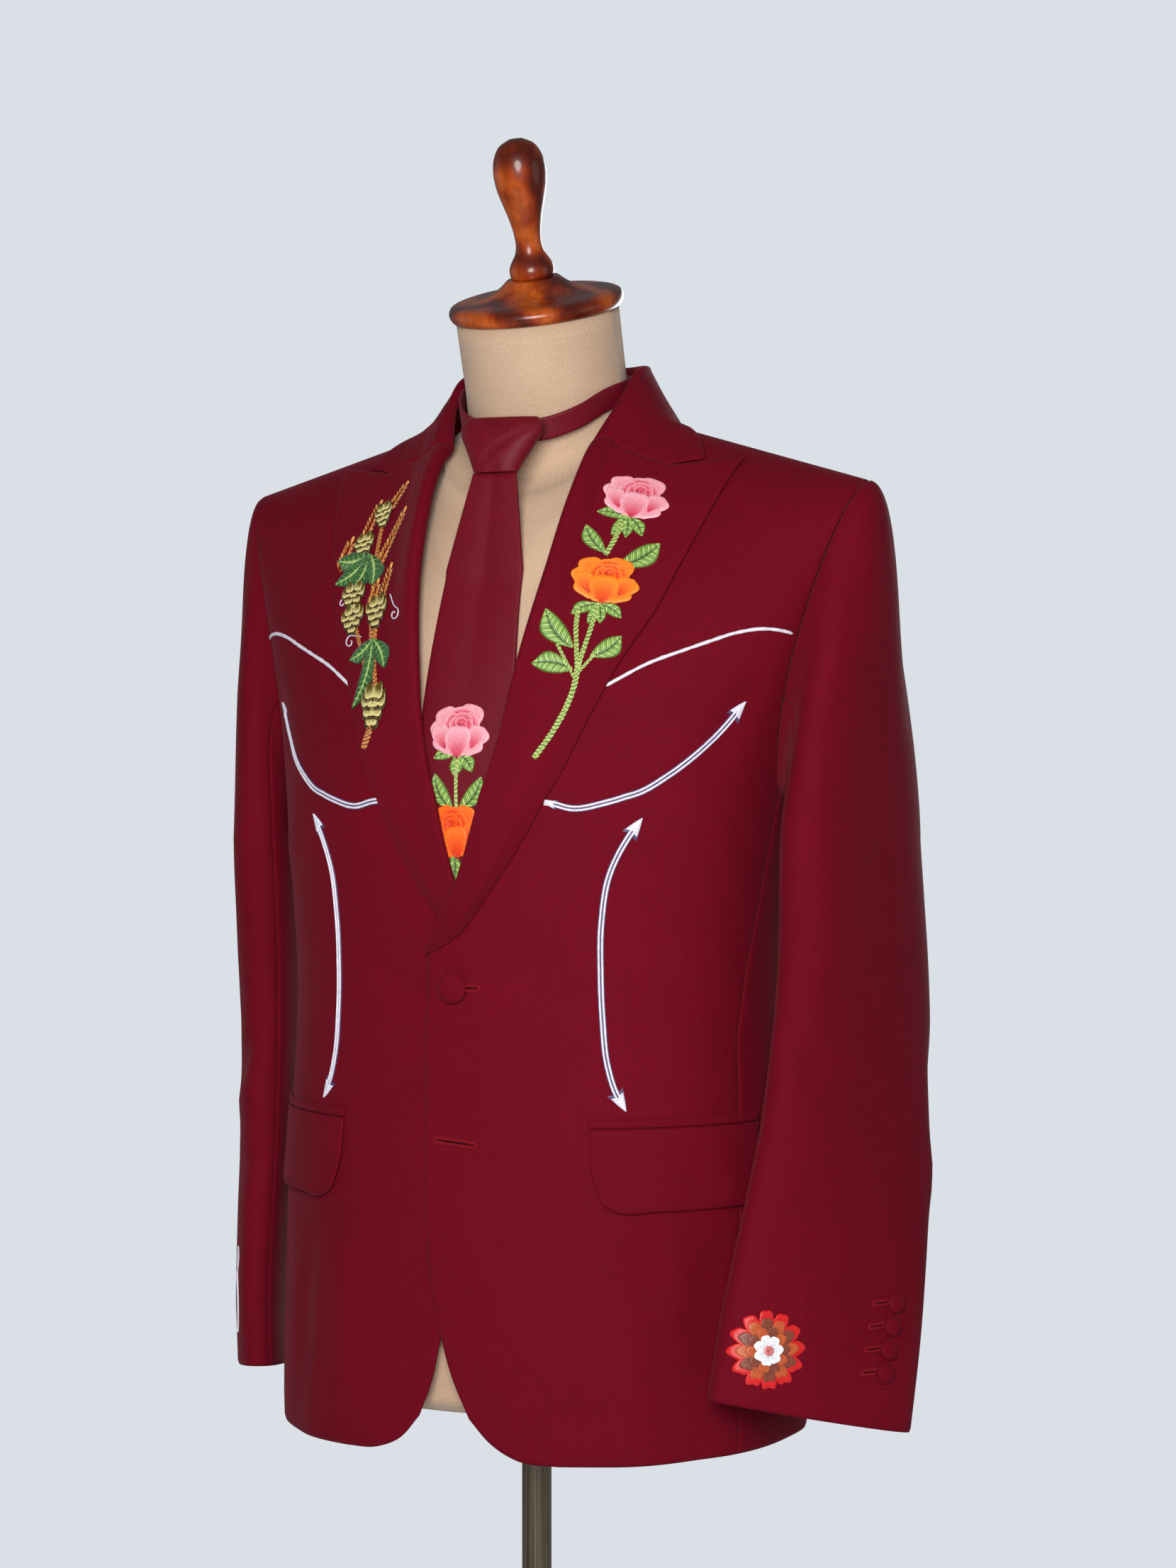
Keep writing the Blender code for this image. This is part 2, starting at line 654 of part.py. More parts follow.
def front_panel(side, finish):
    """One front: from its edge to the side seam, and from the hem to the shoulder."""
    left, right = (LEFT_CORNER, LEFT_EDGE, LEFT_PLACKET), (RIGHT_CORNER, RIGHT_EDGE, RIGHT_PLACKET)
    corner, edge, placket = (charted(points) for points in (left if side > 0 else right))
    roll = charted(ROLL_LINE)
    hem_end = (math.radians(SIDE_SEAM[0][0]), level(SIDE_SEAM[0][1]))
    hem = np.array([corner[-1], (math.radians(50), level(HEM_Z + 1 * MM)), hem_end])
    ring = np.array([roll[-1], (math.radians(27), 1.994), (NECK_FRONT, SHOULDER_V)])
    shoulder = np.array([(math.radians(d), SHOULDER_V) for d in (31, 55, 78.8)])
    grid = coons(
        joined((corner, 4), (hem, 9)),
        joined((ring, 2), (shoulder, 11)),
        joined((edge, 4), (placket, 4), (roll, LAPEL_ROWS)),
        joined((seam(SIDE_SEAM), 13), (seam(FRONT_ARMHOLE, False), FRONT_ARM_STEPS)),
    )
    grid[-1, :, 0] -= SEAM_INSET
    panel("front", side, grid, finish, lifted=True)


def side_panel(side, finish):
    front, back = seam(SIDE_SEAM), seam(BACK_SEAM)
    hem = np.array([front[0], (math.radians(95), level(0.805)), back[0]])
    under = seam(UNDER_ARMHOLE, False)
    grid = coons(
        smooth_path(hem, UNDER_STEPS),
        smooth_path(under, UNDER_STEPS),
        smooth_path(front, 13),
        smooth_path(back, 13),
    )
    grid[0, :, 0] += SEAM_INSET
    grid[-1, :, 0] -= SEAM_INSET
    panel("side", side, grid, finish)


def back_panel(side, finish):
    centre_hem = (math.pi, level(BACK_HEM_Z))
    hem = np.array([seam(BACK_SEAM)[0], (math.radians(150), level(BACK_HEM_Z - 1 * MM)), centre_hem])
    shoulder = np.array([(math.radians(d), SHOULDER_V) for d in (111.2, 130, 149)])
    nape = np.array([(math.radians(d), SHOULDER_V) for d in (149, 165, 180)])
    grid = coons(
        smooth_path(hem, 10),
        joined((shoulder, 6), (nape, 4)),
        joined((seam(BACK_SEAM), 13), (seam(BACK_ARMHOLE, False), BACK_ARM_STEPS)),
        smooth_path(np.array([centre_hem, (math.pi, 1.0), (math.pi, SHOULDER_V)]), 21),
    )
    grid[0, :, 0] += SEAM_INSET
    grid[-1, :, 0] -= SEAM_INSET
    panel("back", side, grid, finish)


def roll_frame(side, roll):
    """Foot of the fold beside the roll line, the cloth's normal, the way to the centre, and the radius."""
    phi = side * roll[:, 0]
    start, normal = bare_body(phi, roll[:, 1]), body_normal(phi, roll[:, 1])
    inward = unit(np.cross(normal, np.gradient(start, axis=0))) * side
    share = np.linspace(0, 1, len(roll))
    radius = PRESSED_RADIUS + (ROLL_RADIUS - PRESSED_RADIUS) * smooth_step(0.27, 0.62, share)
    gap = ROLL_GAP + (GORGE_GAP - ROLL_GAP) * smooth_step(0.8, 1.0, share)
    return start + inward * gap[:, None], normal, inward, radius


def lapel_rest(width, radius):
    """Height over the front at a share of the lapel's width from its roll to its edge."""
    return LAYER_GAP + (2 * radius - LAYER_GAP) * (1 - width) ** 1.6 + 0.3 * radius * width


def lapel(side, finish):
    """Facing that starts at the roll line, turns round the fold and lies back on the front to its peak."""
    rows = LAPEL_ROWS
    roll, edge = smooth_path(charted(ROLL_LINE), rows), smooth_path(charted(LAPEL_EDGE), rows)
    top = joined((charted(GORGE), 3), (charted(PEAK_TOP), 3))
    flat = coons(np.linspace(roll[0], edge[0], len(top)), top, roll, edge)
    start, normal, inward, radius = roll_frame(side, roll)
    phi, v = side * flat[1:, :, 0], flat[1:, :, 1]
    rest = lapel_rest(np.linspace(0, 1, len(top))[1:, None], radius[None])
    rest = rest + front_lift(side, phi, bare_body(phi, v)[..., 2])
    fold_lift = front_lift(side, side * roll[:, 0], start[:, 2])

    def layer(extra):
        folded = []
        for degrees in ROLL_STEPS:
            angle = math.radians(degrees)
            out = fold_lift + radius + (radius + extra) * math.sin(angle)
            reach = (radius + extra) * math.cos(angle)
            folded.append(start + inward * reach[:, None] + normal * out[:, None])
        return np.array(folded + list(body(phi, v, rest + extra)))

    wall(side_name("lapel", side), layer(CLOTH), layer(0.0), finish)


def mirrored(half):
    """Half a path or grid from the wearer's left to the centre, with its mirror image after it."""
    half = np.array(half, float)
    return np.concatenate([half, half[-2::-1] * (-1, 1, 1)])


def half_path(points, count):
    """First half of the smooth curve through the points and their mirror image."""
    return smooth_path(mirrored(points), 2 * count)[: count + 1]


def collar(finish):
    """Stand, fold and leaf in one piece, from one gorge round the neck to the other."""
    stations = COLLAR_STATIONS
    roll = smooth_path(charted(ROLL_LINE), LAPEL_ROWS)
    start, normal, inward, radius = (part[-1] for part in roll_frame(1, roll))
    along = unit(bare_body(*roll[-1]) - bare_body(*roll[-2]))
    shift = along * COLLAR_GAP
    first = start + normal * radius + shift
    fold = half_path([first, *COLLAR_FOLD], stations)
    share = np.linspace(0, 1, stations + 1)
    bend = mix(COLLAR_RADIUS, radius + CLOTH / 2, 1 - smooth_step(0, 0.3, share))[..., 0]
    up = unit(mix(inward, (0.0, 0.0, 1.0), smooth_step(0, 0.42, share)))
    run = unit(np.gradient(fold, axis=0))
    run[-1] = (-1.0, 0.0, 0.0)
    out = unit(mix(normal, unit(np.cross(run, up)), smooth_step(0, 0.15, share)))
    up = unit(np.cross(out, run))
    gorge = np.concatenate([smooth_path(charted(GORGE), 3)[1:], charted(COLLAR_CORNER)[:1]])
    rest = lapel_rest(np.array((1 / 6, 2 / 6, 3 / 6, 0.745)), radius)
    notch = body(gorge[:, 0], gorge[:, 1], rest + CLOTH / 2) + shift
    corner = charted(COLLAR_CORNER)
    leaf = np.concatenate([notch[-1:], body(corner[1:, 0], corner[1:, 1], 2.2 * MM), np.array(COLLAR_LEAF)])
    leaf = half_path(leaf, stations)
    foot = half_path([first - normal * (radius + CLOTH / 2), *COLLAR_FOOT], stations)
    columns = [foot]
    for step in range(5):
        low = -90 + 30 * (1 - smooth_step(0, 0.15, share))
        angle = np.radians(low + (90 - low) * step / 4)[:, None]
        columns.append(fold + bend[:, None] * (out * np.sin(angle) + up * np.cos(angle)))
    from_fold = columns[-1]
    fade = (1 - smooth_step(0, 0.35, share))[:, None]
    for step, part in enumerate((0.25, 0.5, 0.75, 1.0)):
        straight = from_fold * (1 - part) + leaf * part
        bulge = out * (5 * MM * part * (1 - part))
        drift = notch[step] - (from_fold[0] * (1 - part) + leaf[0] * part)
        columns.append(straight + bulge * (1 - fade) + drift * fade)
    thick_sheet("collar", mirrored(np.array(columns).swapaxes(0, 1)), CLOTH, finish)


def flap(side, finish):
    """Pocket flap on its jet, laid on the front and over the side seam."""
    back = np.radians(FLAP_BACK_DEGREES)
    low_back, high_back = ((back, level(z)) for z in FLAP_BACK_Z)
    bottom = smooth_path(np.concatenate([charted(FLAP_BOTTOM), [low_back]]), 7)
    top = smooth_path(np.concatenate([charted(FLAP_TOP), [high_back]]), 7)
    front = smooth_path(charted(FLAP_FRONT), 4)
    grid = coons(bottom, top, front, np.linspace(low_back, high_back, 5))
    phi, v = side * grid[..., 0], grid[..., 1]
    out = LAYER_GAP + FLAP_HANG * np.linspace(1, 0, 5)[None, :] + 0 * phi
    wall(side_name("flap", side), body(phi, v, out + FLAP_CLOTH), body(phi, v, out), finish)
    low, rise = top + (0, level(HEM_Z + 1 * MM)), (0, level(HEM_Z + JET_HEIGHT))
    jet = np.stack([low, low + rise], axis=1)
    phi, v = side * jet[..., 0], jet[..., 1]
    wall(side_name("jet", side), body(phi, v, LAYER_GAP + JET_CLOTH), body(phi, v, LAYER_GAP), finish)


def trim(name, side, points, widths, finish):
    """Raised line along a path on the cloth. widths holds (distance from the start, full width) pairs."""
    path = charted(points)
    dense = smooth_path(path, 60)
    spots = bare_body(side * dense[:, 0], dense[:, 1])
    length = np.concatenate([[0], np.cumsum(np.linalg.norm(np.diff(spots, axis=0), axis=1))])
    distance = np.array([d for d, _ in widths])
    half = np.array([w for _, w in widths])[:, None] / 2

    def place(d):
        return side * np.interp(d, length, dense[:, 0]), np.interp(d, length, dense[:, 1])

    foot, normal = body(*place(distance), LAYER_GAP), body_normal(*place(distance))
    ahead = bare_body(*place(distance + 2 * MM)) - bare_body(*place(distance - 2 * MM))
    across = unit(np.cross(normal, ahead)) * half
    head = foot + normal * TRIM_HEIGHT
    rings = [foot - across, head - across * 0.7, head + across * 0.7, foot + across]
    tube(side_name(name, side), np.stack(rings, axis=1), finish)


def arrow_widths(length, steps, tail):
    """Stations of an arrow with a head at its end, and with a head or a plain end at its start."""
    start = HEAD_LENGTH if tail else 0.0
    end = length - HEAD_LENGTH
    shaft = [(d, ARROW_WIDTH) for d in np.linspace(start + 0.4 * MM, end - 0.4 * MM, steps)]
    tail_end = [(0.0, TIP_WIDTH), (HEAD_LENGTH, HEAD_WIDTH)] if tail else [(0.0, ARROW_WIDTH)]
    return tail_end + shaft + [(end, HEAD_WIDTH), (length, TIP_WIDTH)]


def path_length(points):
    dense = smooth_path(charted(points), 60)
    spots = bare_body(dense[:, 0], dense[:, 1])
    return np.linalg.norm(np.diff(spots, axis=0), axis=1).sum()


def trims(side, finish):
    cord = path_length(YOKE_LINE)
    trim("yoke_line", side, YOKE_LINE, [(d, CORD_WIDTH) for d in np.linspace(0, cord, 11)], finish)
    trim("smile_arrow", side, SMILE_ARROW, arrow_widths(path_length(SMILE_ARROW), 12, False), finish)
    trim("long_arrow", side, LONG_ARROW, arrow_widths(path_length(LONG_ARROW), 16, True), finish)


def armhole_edges():
    """Corners of both halves of the armhole, from under the arm up: share of length, then chart point."""
    under = smooth_path(seam(UNDER_ARMHOLE, False), UNDER_STEPS)
    middle = UNDER_STEPS // 2
    front = np.concatenate([under[middle::-1], smooth_path(seam(FRONT_ARMHOLE, False), FRONT_ARM_STEPS)[1:]])
    back = np.concatenate([under[middle:], smooth_path(seam(BACK_ARMHOLE, False), BACK_ARM_STEPS)[1:]])
    tables = []
    for edge in (front, back):
        spots = bare_body(edge[:, 0], edge[:, 1])
        length = np.concatenate([[0], np.cumsum(np.linalg.norm(np.diff(spots, axis=0), axis=1))])
        tables.append(tuple(map(tuple, np.column_stack([length / length[-1], edge]))))
    return tables


ARMHOLE = armhole_edges()


def armhole_point(side, turn):
    """Point of the armhole: turn 0 is under the arm, a quarter in front, a half on the shoulder."""
    turn = np.mod(turn, 1.0)
    share = np.where(turn <= 0.5, 2 * turn, 2 - 2 * turn)
    front, back = (spline(edge, share) for edge in ARMHOLE)
    place = np.where((turn <= 0.5)[..., None], front, back)
    return body(side * place[..., 0], place[..., 1], ARMHOLE_GAP)


def sleeve_ring(side, turn, z):
    """Flattened ring of the hanging sleeve."""
    rows = LEFT_SLEEVE if side > 0 else RIGHT_SLEEVE
    x, y, wide, thick, degrees, drop = columns_at(rows, z)
    angle, lean = 2 * math.pi * turn, np.radians(degrees)
    along = -wide * np.sin(angle)
    across = -thick * np.sign(np.cos(angle)) * np.abs(np.cos(angle)) ** SLEEVE_SOFTNESS
    ring_x = x + along * np.cos(lean) + across * np.sin(lean)
    ring_y = y + along * np.sin(lean) - across * np.cos(lean)
    return np.stack([side * ring_x, ring_y, z - drop * along], axis=-1)


def sleeve_point(side, turn, w):
    """Outer cloth of a sleeve: w runs from 0 at the armhole to 1 below the cap to 2 at the cuff."""
    turn, w = np.broadcast_arrays(np.asarray(turn, float), np.asarray(w, float))
    rows = LEFT_SLEEVE if side > 0 else RIGHT_SLEEVE
    low, high = rows[0][0], rows[-1][0]
    hanging = sleeve_ring(side, turn, high + (low - high) * np.clip(w - 1, 0, 1))
    start, end = armhole_point(side, turn), sleeve_ring(side, turn, np.full_like(turn, high))
    angle = 2 * math.pi * turn
    under = np.clip(np.cos(angle), 0, 1) ** 2
    over = CAP_REACH_LEFT if side > 0 else CAP_REACH_RIGHT
    reach = over + (UNDERARM_REACH - over) * under
    leave_z = -0.22 * np.cos(angle) - 0.35 * under
    leave = np.stack([side * 0.85 + 0 * turn, -0.36 * np.sin(angle), leave_z], axis=-1)
    drop = np.linalg.norm(end - start, axis=-1)
    arrive = np.stack([0 * turn, 0 * turn, -1.05 * drop], axis=-1)
    cap = hermite(start, leave * reach[..., None], end, arrive, np.clip(w, 0, 1))
    return np.where((w <= 1)[..., None], cap, hanging)


def sleeve_normal(side, turn, w):
    turn, w = np.broadcast_arrays(np.asarray(turn, float), np.asarray(w, float))
    around = sleeve_point(side, turn + 2e-3, w) - sleeve_point(side, turn - 2e-3, w)
    below, above = np.minimum(w + 5e-3, 2), np.maximum(w - 5e-3, 0)
    down = sleeve_point(side, turn, below) - sleeve_point(side, turn, above)
    return unit(np.cross(down, around)) * side


def sleeve_outer(side, turn, w, out=0.0):
    return sleeve_point(side, turn, w) + sleeve_normal(side, turn, w) * np.asarray(out)[..., None]


def sleeve_piece(name, side, turns, finish, vent):
    w = np.concatenate([np.array(CAP_STEPS), 1 + np.linspace(0, 1, CUFF_STEPS + 1)[1:]])
    turn, w = np.meshgrid(turns, w, indexing="ij")
    z = sleeve_point(side, turn, w)[..., 2]
    lift = 0 * turn
    if vent:
        lift = VENT_LIFT * smooth_step(BACK_SLEEVE_SEAM - VENT_WIDTH, BACK_SLEEVE_SEAM, turn)
        lift = lift * (1 - smooth_step(VENT_TOP - 0.01, VENT_TOP + 0.02, z))
    outer, inner = (sleeve_outer(side, turn, w, out) for out in (lift, lift - SLEEVE_CLOTH))
    wall(side_name(name, side), outer, inner, finish)


def sleeve(side, finish):
    """Top sleeve with the cuff's vent, and under sleeve next to the body, cut at the armhole's corners."""
    front, back = (np.array(edge)[:, 0] / 2 for edge in ARMHOLE)
    corners = np.concatenate([front, 1 - back[-2:0:-1]])
    first, last = (np.abs(corners - turn).argmin() for turn in (FRONT_SLEEVE_SEAM, BACK_SLEEVE_SEAM))
    top = corners[first : last + 1].copy()
    under = np.concatenate([corners[last:], 1 + corners[: first + 1]])
    for turns in (top, under):
        turns[0] += SLEEVE_SEAM_TURN
        turns[-1] -= SLEEVE_SEAM_TURN
    sleeve_piece("sleeve_top", side, top, finish, True)
    sleeve_piece("sleeve_under", side, under, finish, False)


def cuff_buttons(side, finish):
    rows = LEFT_SLEEVE if side > 0 else RIGHT_SLEEVE
    low, high = rows[0][0], rows[-1][0]
    for number, z in enumerate(CUFF_BUTTON_Z, 1):
        wide, drop = columns_at(rows, z)[[2, 5]]
        w = 1 + (high - z - 0.65 * drop * wide) / (high - low)
        spot = sleeve_outer(side, CUFF_BUTTON_TURN, w, BUTTON_GAP)
        axis = sleeve_normal(side, CUFF_BUTTON_TURN, w)
        turned(side_name("cuff_button", side) + f"_{number}", CUFF_BUTTON, spot, axis, 12, finish)


def front_button(finish):
    phi, v = chart(FRONT_BUTTON_X, FRONT_BUTTON_Z)
    lift = front_lift(1, phi, FRONT_BUTTON_Z)
    spot = body(phi, v, lift + BUTTON_GAP)
    turned("button_front", FRONT_BUTTON, spot, body_normal(phi, v), 20, finish)


def tie(finish):
    """Blade behind the fronts up to its knot, and the band round the neck."""
    shares = np.linspace(-1, 1, 7)
    outer, inner = [], []
    for z in np.linspace(TIE_ROWS[0][0], TIE_ROWS[-1][0], 13):
        spots = chart(shares * spline(TIE_ROWS, z), np.full(7, z))
        outer.append(body(spots[:, 0], spots[:, 1], -TIE_BEHIND))
        inner.append(body(spots[:, 0], spots[:, 1], -TIE_BEHIND - TIE_CLOTH))
    edge_fall = outer[-1][:, 1] - outer[-1][3, 1]
    start_y = outer[-1][3, 1]
    low, high = TIE_TOP_ROWS[0], TIE_TOP_ROWS[-1]
    for z in np.linspace(low[0], high[0], 5)[1:]:
        y = start_y + (high[2] - start_y) * (z - low[0]) / (high[0] - low[0])
        half = spline(TIE_TOP_ROWS, z)[0]
        row = np.stack([shares * half, y + edge_fall * half / low[1], 0 * shares + z], axis=-1)
        outer.append(row)
        inner.append(row + (0, TIE_CLOTH, 0))
    wall("tie_blade", np.array(outer), np.array(inner), finish)
    turn = np.linspace(0, 2 * math.pi, 16, endpoint=False)
    sideways = np.sign(np.sin(turn)) * np.abs(np.sin(turn)) ** 0.8
    rings = [
        np.stack([half * sideways, y - thick * np.cos(turn), 0 * turn + z], axis=-1)
        for z, half, thick, y in KNOT_ROWS
    ]
    tube("tie_knot", np.array(rings), finish)
    path = mirrored(half_path(BAND_PATH, 15))
    axis = np.array((0.0, -math.sin(NECK_TILT), math.cos(NECK_TILT)))
    across = unit(np.cross(np.gradient(path, axis=0), axis)) * BAND_CLOTH / 2
    height = axis * BAND_WIDTH / 2
    low, high = path - height, path + height
    tube("tie_band", np.stack([low - across, low + across, high + across, high - across], axis=1), finish)


def form_columns():
    """Angles of the form's columns, which meet in pairs on the shoulder."""
    share = np.linspace(0, 1, FORM_SHOULDER_STEPS + 1)
    fine = np.radians(np.linspace(31, 79, 200)), np.radians(np.linspace(149, 111, 200))
    front, back = (np.interp(share, along_shoulder(f), f) for f in fine)
    throat, side = np.radians((0, 10.3, 20.7)), np.radians((87, 95, 103))
    half = np.concatenate([throat, front, side, back[::-1], math.pi - throat[::-1]])
    return np.concatenate([half, -half[-2:0:-1]])


def form_grid(columns):
    """Rows of the torso, which lie inside the jacket's cloth."""
    rows = []
    angle = np.abs(columns)
    front = 1 - smooth_step(math.radians(28), math.radians(50), angle)
    arm = smooth_step(math.radians(55), ARM_FRONT, angle)
    arm = arm * (1 - smooth_step(ARM_BACK, math.radians(125), angle))
    for v, inset_front, inset in FORM_ROWS:
        depth = inset + (inset_front - inset) * front + FORM_ARM_INSET * arm * smooth_step(1.4, 1.8, v)
        out = body_normal(columns, min(v, SHOULDER_V))
        out = unit(out + np.array((0.0, 0.0, 1.5)) * (arm * smooth_step(1.5, 1.9, v))[:, None])
        rows.append(bare_body(columns, v) - out * depth[:, None])
    return rows


def neck_ring(row, columns):
    """Ring of the leaning neck for the columns that reach it, by their turn from the front."""
    front, side, back, radius = row
    angle = np.abs(columns)
    from_front = angle / NECK_FRONT * math.pi / 2
    from_back = math.pi - (math.pi - angle) / (math.pi - NECK_BACK) * math.pi / 2
    turn = np.where(angle < math.pi / 2, from_front, from_back) * np.sign(columns + 1e-9)
    sine, cosine = np.sin(turn)[:, None], np.cos(turn)[:, None]
    below = side + (front - side) * np.clip(cosine, 0, 1) ** 2 + (back - side) * np.clip(-cosine, 0, 1) ** 2
    down = np.array((0.0, math.sin(NECK_TILT), -math.cos(NECK_TILT)))
    ahead = np.array((0.0, -math.cos(NECK_TILT), -math.sin(NECK_TILT)))
    return np.array(NECK_TOP) + down * below + radius * (np.array((1.0, 0.0, 0.0)) * sine + ahead * cosine)


def close_shoulders(columns, top):
    """Bring the front and back columns of the top row together on the shoulders."""
    count = len(columns)
    front = [k for k, a in enumerate(columns) if NECK_FRONT - 1e-6 <= a <= ARM_FRONT + 1e-6]
    back = [k for k, a in enumerate(columns) if ARM_BACK - 1e-6 <= a <= NECK_BACK + 1e-6][::-1]
    for k, m in zip(front, back):
        middle = (top[k] + top[m]) / 2
        for n in (k, m):
            top[n], top[(count - n) % count] = middle, middle * (-1, 1, 1)
    for k, a in enumerate(columns):
        if ARM_FRONT < abs(a) < ARM_BACK:
            top[k] = top[front[-1]] * (np.sign(a), 1, 1)


def ring_faces(below, above):
    """Faces between two rings of point numbers."""
    return [(a, b, d, c) for a, b, c, d in zip(below, below[1:] + below[:1], above, above[1:] + above[:1])]


def dress_form(finish):
    """Limbless form: torso inside the jacket, closed over the shoulders, with a leaning neck."""
    columns = form_columns()
    rows = form_grid(columns)
    close_shoulders(columns, rows[-1])
    count = len(columns)
    points = [p for row in rows for p in row]
    levels = [list(range(r * count, (r + 1) * count)) for r in range(len(rows))]
    faces = [tuple(levels[0])[::-1]]
    for below, above in zip(levels, levels[1:]):
        faces += ring_faces(below, above)
    angle = np.abs(columns)
    ring = np.flatnonzero((angle <= NECK_FRONT + 1e-6) | (angle >= NECK_BACK - 1e-6))
    below = [levels[-1][k] for k in ring]
    for row in NECK_ROWS:
        above = list(range(len(points), len(points) + len(ring)))
        points += list(neck_ring(row, columns[ring]))
        faces += ring_faces(below, above)
        below = above
    faces.append(tuple(below))
    add_object("form_torso", points, faces, finish)


def main():
    for old in list(bpy.data.objects):
        bpy.data.objects.remove(old)
    suit = bpy.data.collections.new("western_suit")
    bpy.context.scene.collection.children.link(suit)
    cloth = material("burgundy_suiting", (0.150, 0.008, 0.016), 0.75)
    white = material("white_trim", (0.80, 0.80, 0.82), 0.60)
    jersey = material("cream_jersey", (0.610, 0.455, 0.305), 0.90)
    wood = material("varnished_wood", (0.180, 0.030, 0.010), 0.22)
    steel = material("brushed_steel", (0.42, 0.38, 0.34), 0.38, 1.0)
    front_button(cloth)
    collar(cloth)
    tie(cloth)
    for side in (1, -1):
        front_panel(side, cloth)
        side_panel(side, cloth)
        back_panel(side, cloth)
        lapel(side, cloth)
        flap(side, cloth)
        sleeve(side, cloth)
        cuff_buttons(side, cloth)
        trims(side, white)
    dress_form(jersey)
    axis = (0.0, -math.sin(NECK_TILT), math.cos(NECK_TILT))
    turned("neck_cap", CAP_PROFILE, NECK_TOP, axis, ROUND_STEPS, wood)
    turned("neck_knob", KNOB_PROFILE, NECK_TOP, axis, 20, wood)
    pole = ((POLE_FOOT, POLE_RADIUS), (POLE_HEAD, POLE_RADIUS))
    turned("base", BASE_PROFILE, (0.0, 0.0, 0.0), (0.0, 0.0, 1.0), ROUND_STEPS, steel)
    turned("pole", pole, (0.0, 0.0, 0.0), (0.0, 0.0, 1.0), 20, steel)


main()
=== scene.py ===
# Looks of the western suit jacket with its tie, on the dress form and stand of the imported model.
# Metres, +Z up, the front faces -Y, the wearer's left is +X, as in the frame.
import functools
import math

import bmesh
import bpy
import numpy as np
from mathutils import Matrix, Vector
from mathutils.bvhtree import BVHTree


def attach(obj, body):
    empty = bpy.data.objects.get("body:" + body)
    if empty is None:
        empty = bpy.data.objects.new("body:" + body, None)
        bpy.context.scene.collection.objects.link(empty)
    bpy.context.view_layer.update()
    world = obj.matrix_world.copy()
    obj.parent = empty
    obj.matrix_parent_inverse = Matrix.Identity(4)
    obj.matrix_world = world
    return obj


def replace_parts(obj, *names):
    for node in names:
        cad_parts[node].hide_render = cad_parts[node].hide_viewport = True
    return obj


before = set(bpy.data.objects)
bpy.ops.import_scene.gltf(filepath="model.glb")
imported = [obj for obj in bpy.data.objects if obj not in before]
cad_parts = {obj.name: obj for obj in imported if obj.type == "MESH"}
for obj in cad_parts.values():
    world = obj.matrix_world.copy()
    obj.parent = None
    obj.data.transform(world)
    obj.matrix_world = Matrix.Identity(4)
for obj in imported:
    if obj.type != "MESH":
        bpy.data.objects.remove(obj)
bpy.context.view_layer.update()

MM = 0.001


def linear(*rgb):
    """Scene colour of a display colour given from 0 to 255."""
    share = [c / 255 for c in rgb]
    return tuple(c / 12.92 if c <= 0.04045 else ((c + 0.055) / 1.055) ** 2.4 for c in share)


# The photograph's view: turn from the front, distance from the pole, height and focal length in pixels
VIEW_TURN, VIEW_DISTANCE, VIEW_HEIGHT = math.radians(25), 2.600, 1.306
FOCAL_PIXELS, PICTURE_WIDTH, PICTURE_HEIGHT = 5174.0, 1659, 2212
AXIS_PIXEL, HORIZON_PIXEL = 757.0, 1006.0
SENSOR_HEIGHT = 36.0

# How many times the grids of the cloth are finer than the steps that are counted here
FINE = 4
# Samples for each point of a path, by which its length is measured
DENSE = 24
# Step in the chart by which directions are measured, and reach in height for the slope at the chest
SMALL, SLOPE_REACH = 1e-3, 4 * MM
# Rounds of the search for a place in the chart, and its longest step
CHART_ROUNDS, CHART_STEP = 14, 0.2

# Cloth walls and the gaps that keep neighbours apart
CLOTH = 2.2 * MM
# Share of the wall by which the edges of the cloth are rounded, and where the row beside an edge lies
EDGE_ROUNDING, EDGE_ROW = 0.30, 0.3
SEAM_GAP = 0.05 * MM
LAYER_GAP = 0.6 * MM

# Levels of the jacket on the form
HEM_Z = 0.800
CHEST_Z = 1.250
BREAK_Z = 1.143

# Metres of cloth for a radian round the body and for a unit of chart height: in the weave, and along paths
METRES_ROUND, METRES_UP = 0.18, 0.45
PATH_METRES = (0.17, 0.45)

# Metres of sleeve from the armhole to below the cap, from there to the cuff, and round
CAP_METRES, ARM_METRES, TURN_METRES = 0.22, 0.39, 0.38
# The same in its weave: round, and for a unit of w
SLEEVE_ROUND, SLEEVE_DOWN = 0.36, 0.30

# Body of the jacket in level sections: height, half width, depth to the front, depth to the back, centre y
BODY_ROWS = (
    (0.780, 0.187, 0.150, 0.138, 0.012),
    (0.860, 0.190, 0.149, 0.138, 0.012),
    (0.950, 0.187, 0.146, 0.130, 0.012),
    (1.030, 0.183, 0.141, 0.118, 0.012),
    (1.110, 0.178, 0.138, 0.110, 0.010),
    (1.190, 0.183, 0.142, 0.118, 0.012),
    (1.260, 0.190, 0.142, 0.130, 0.015),
    (1.340, 0.196, 0.132, 0.138, 0.018),
)
SQUARENESS = 2.25

# Where the columns of cloth end at the top, and how they arrive there
NECK_POINT = (0.074, 0.026, 1.514)
SHOULDER_POINT = (0.237, 0.034, 1.467)
NECK_PIT = (0.0, -0.052, 1.462)
NAPE = (0.0, 0.098, 1.520)
NECK_FRONT, ARM_FRONT = math.radians(31), math.radians(79)
ARM_BACK, NECK_BACK = math.radians(111), math.radians(149)
NECK_ROUNDING = math.radians(7)
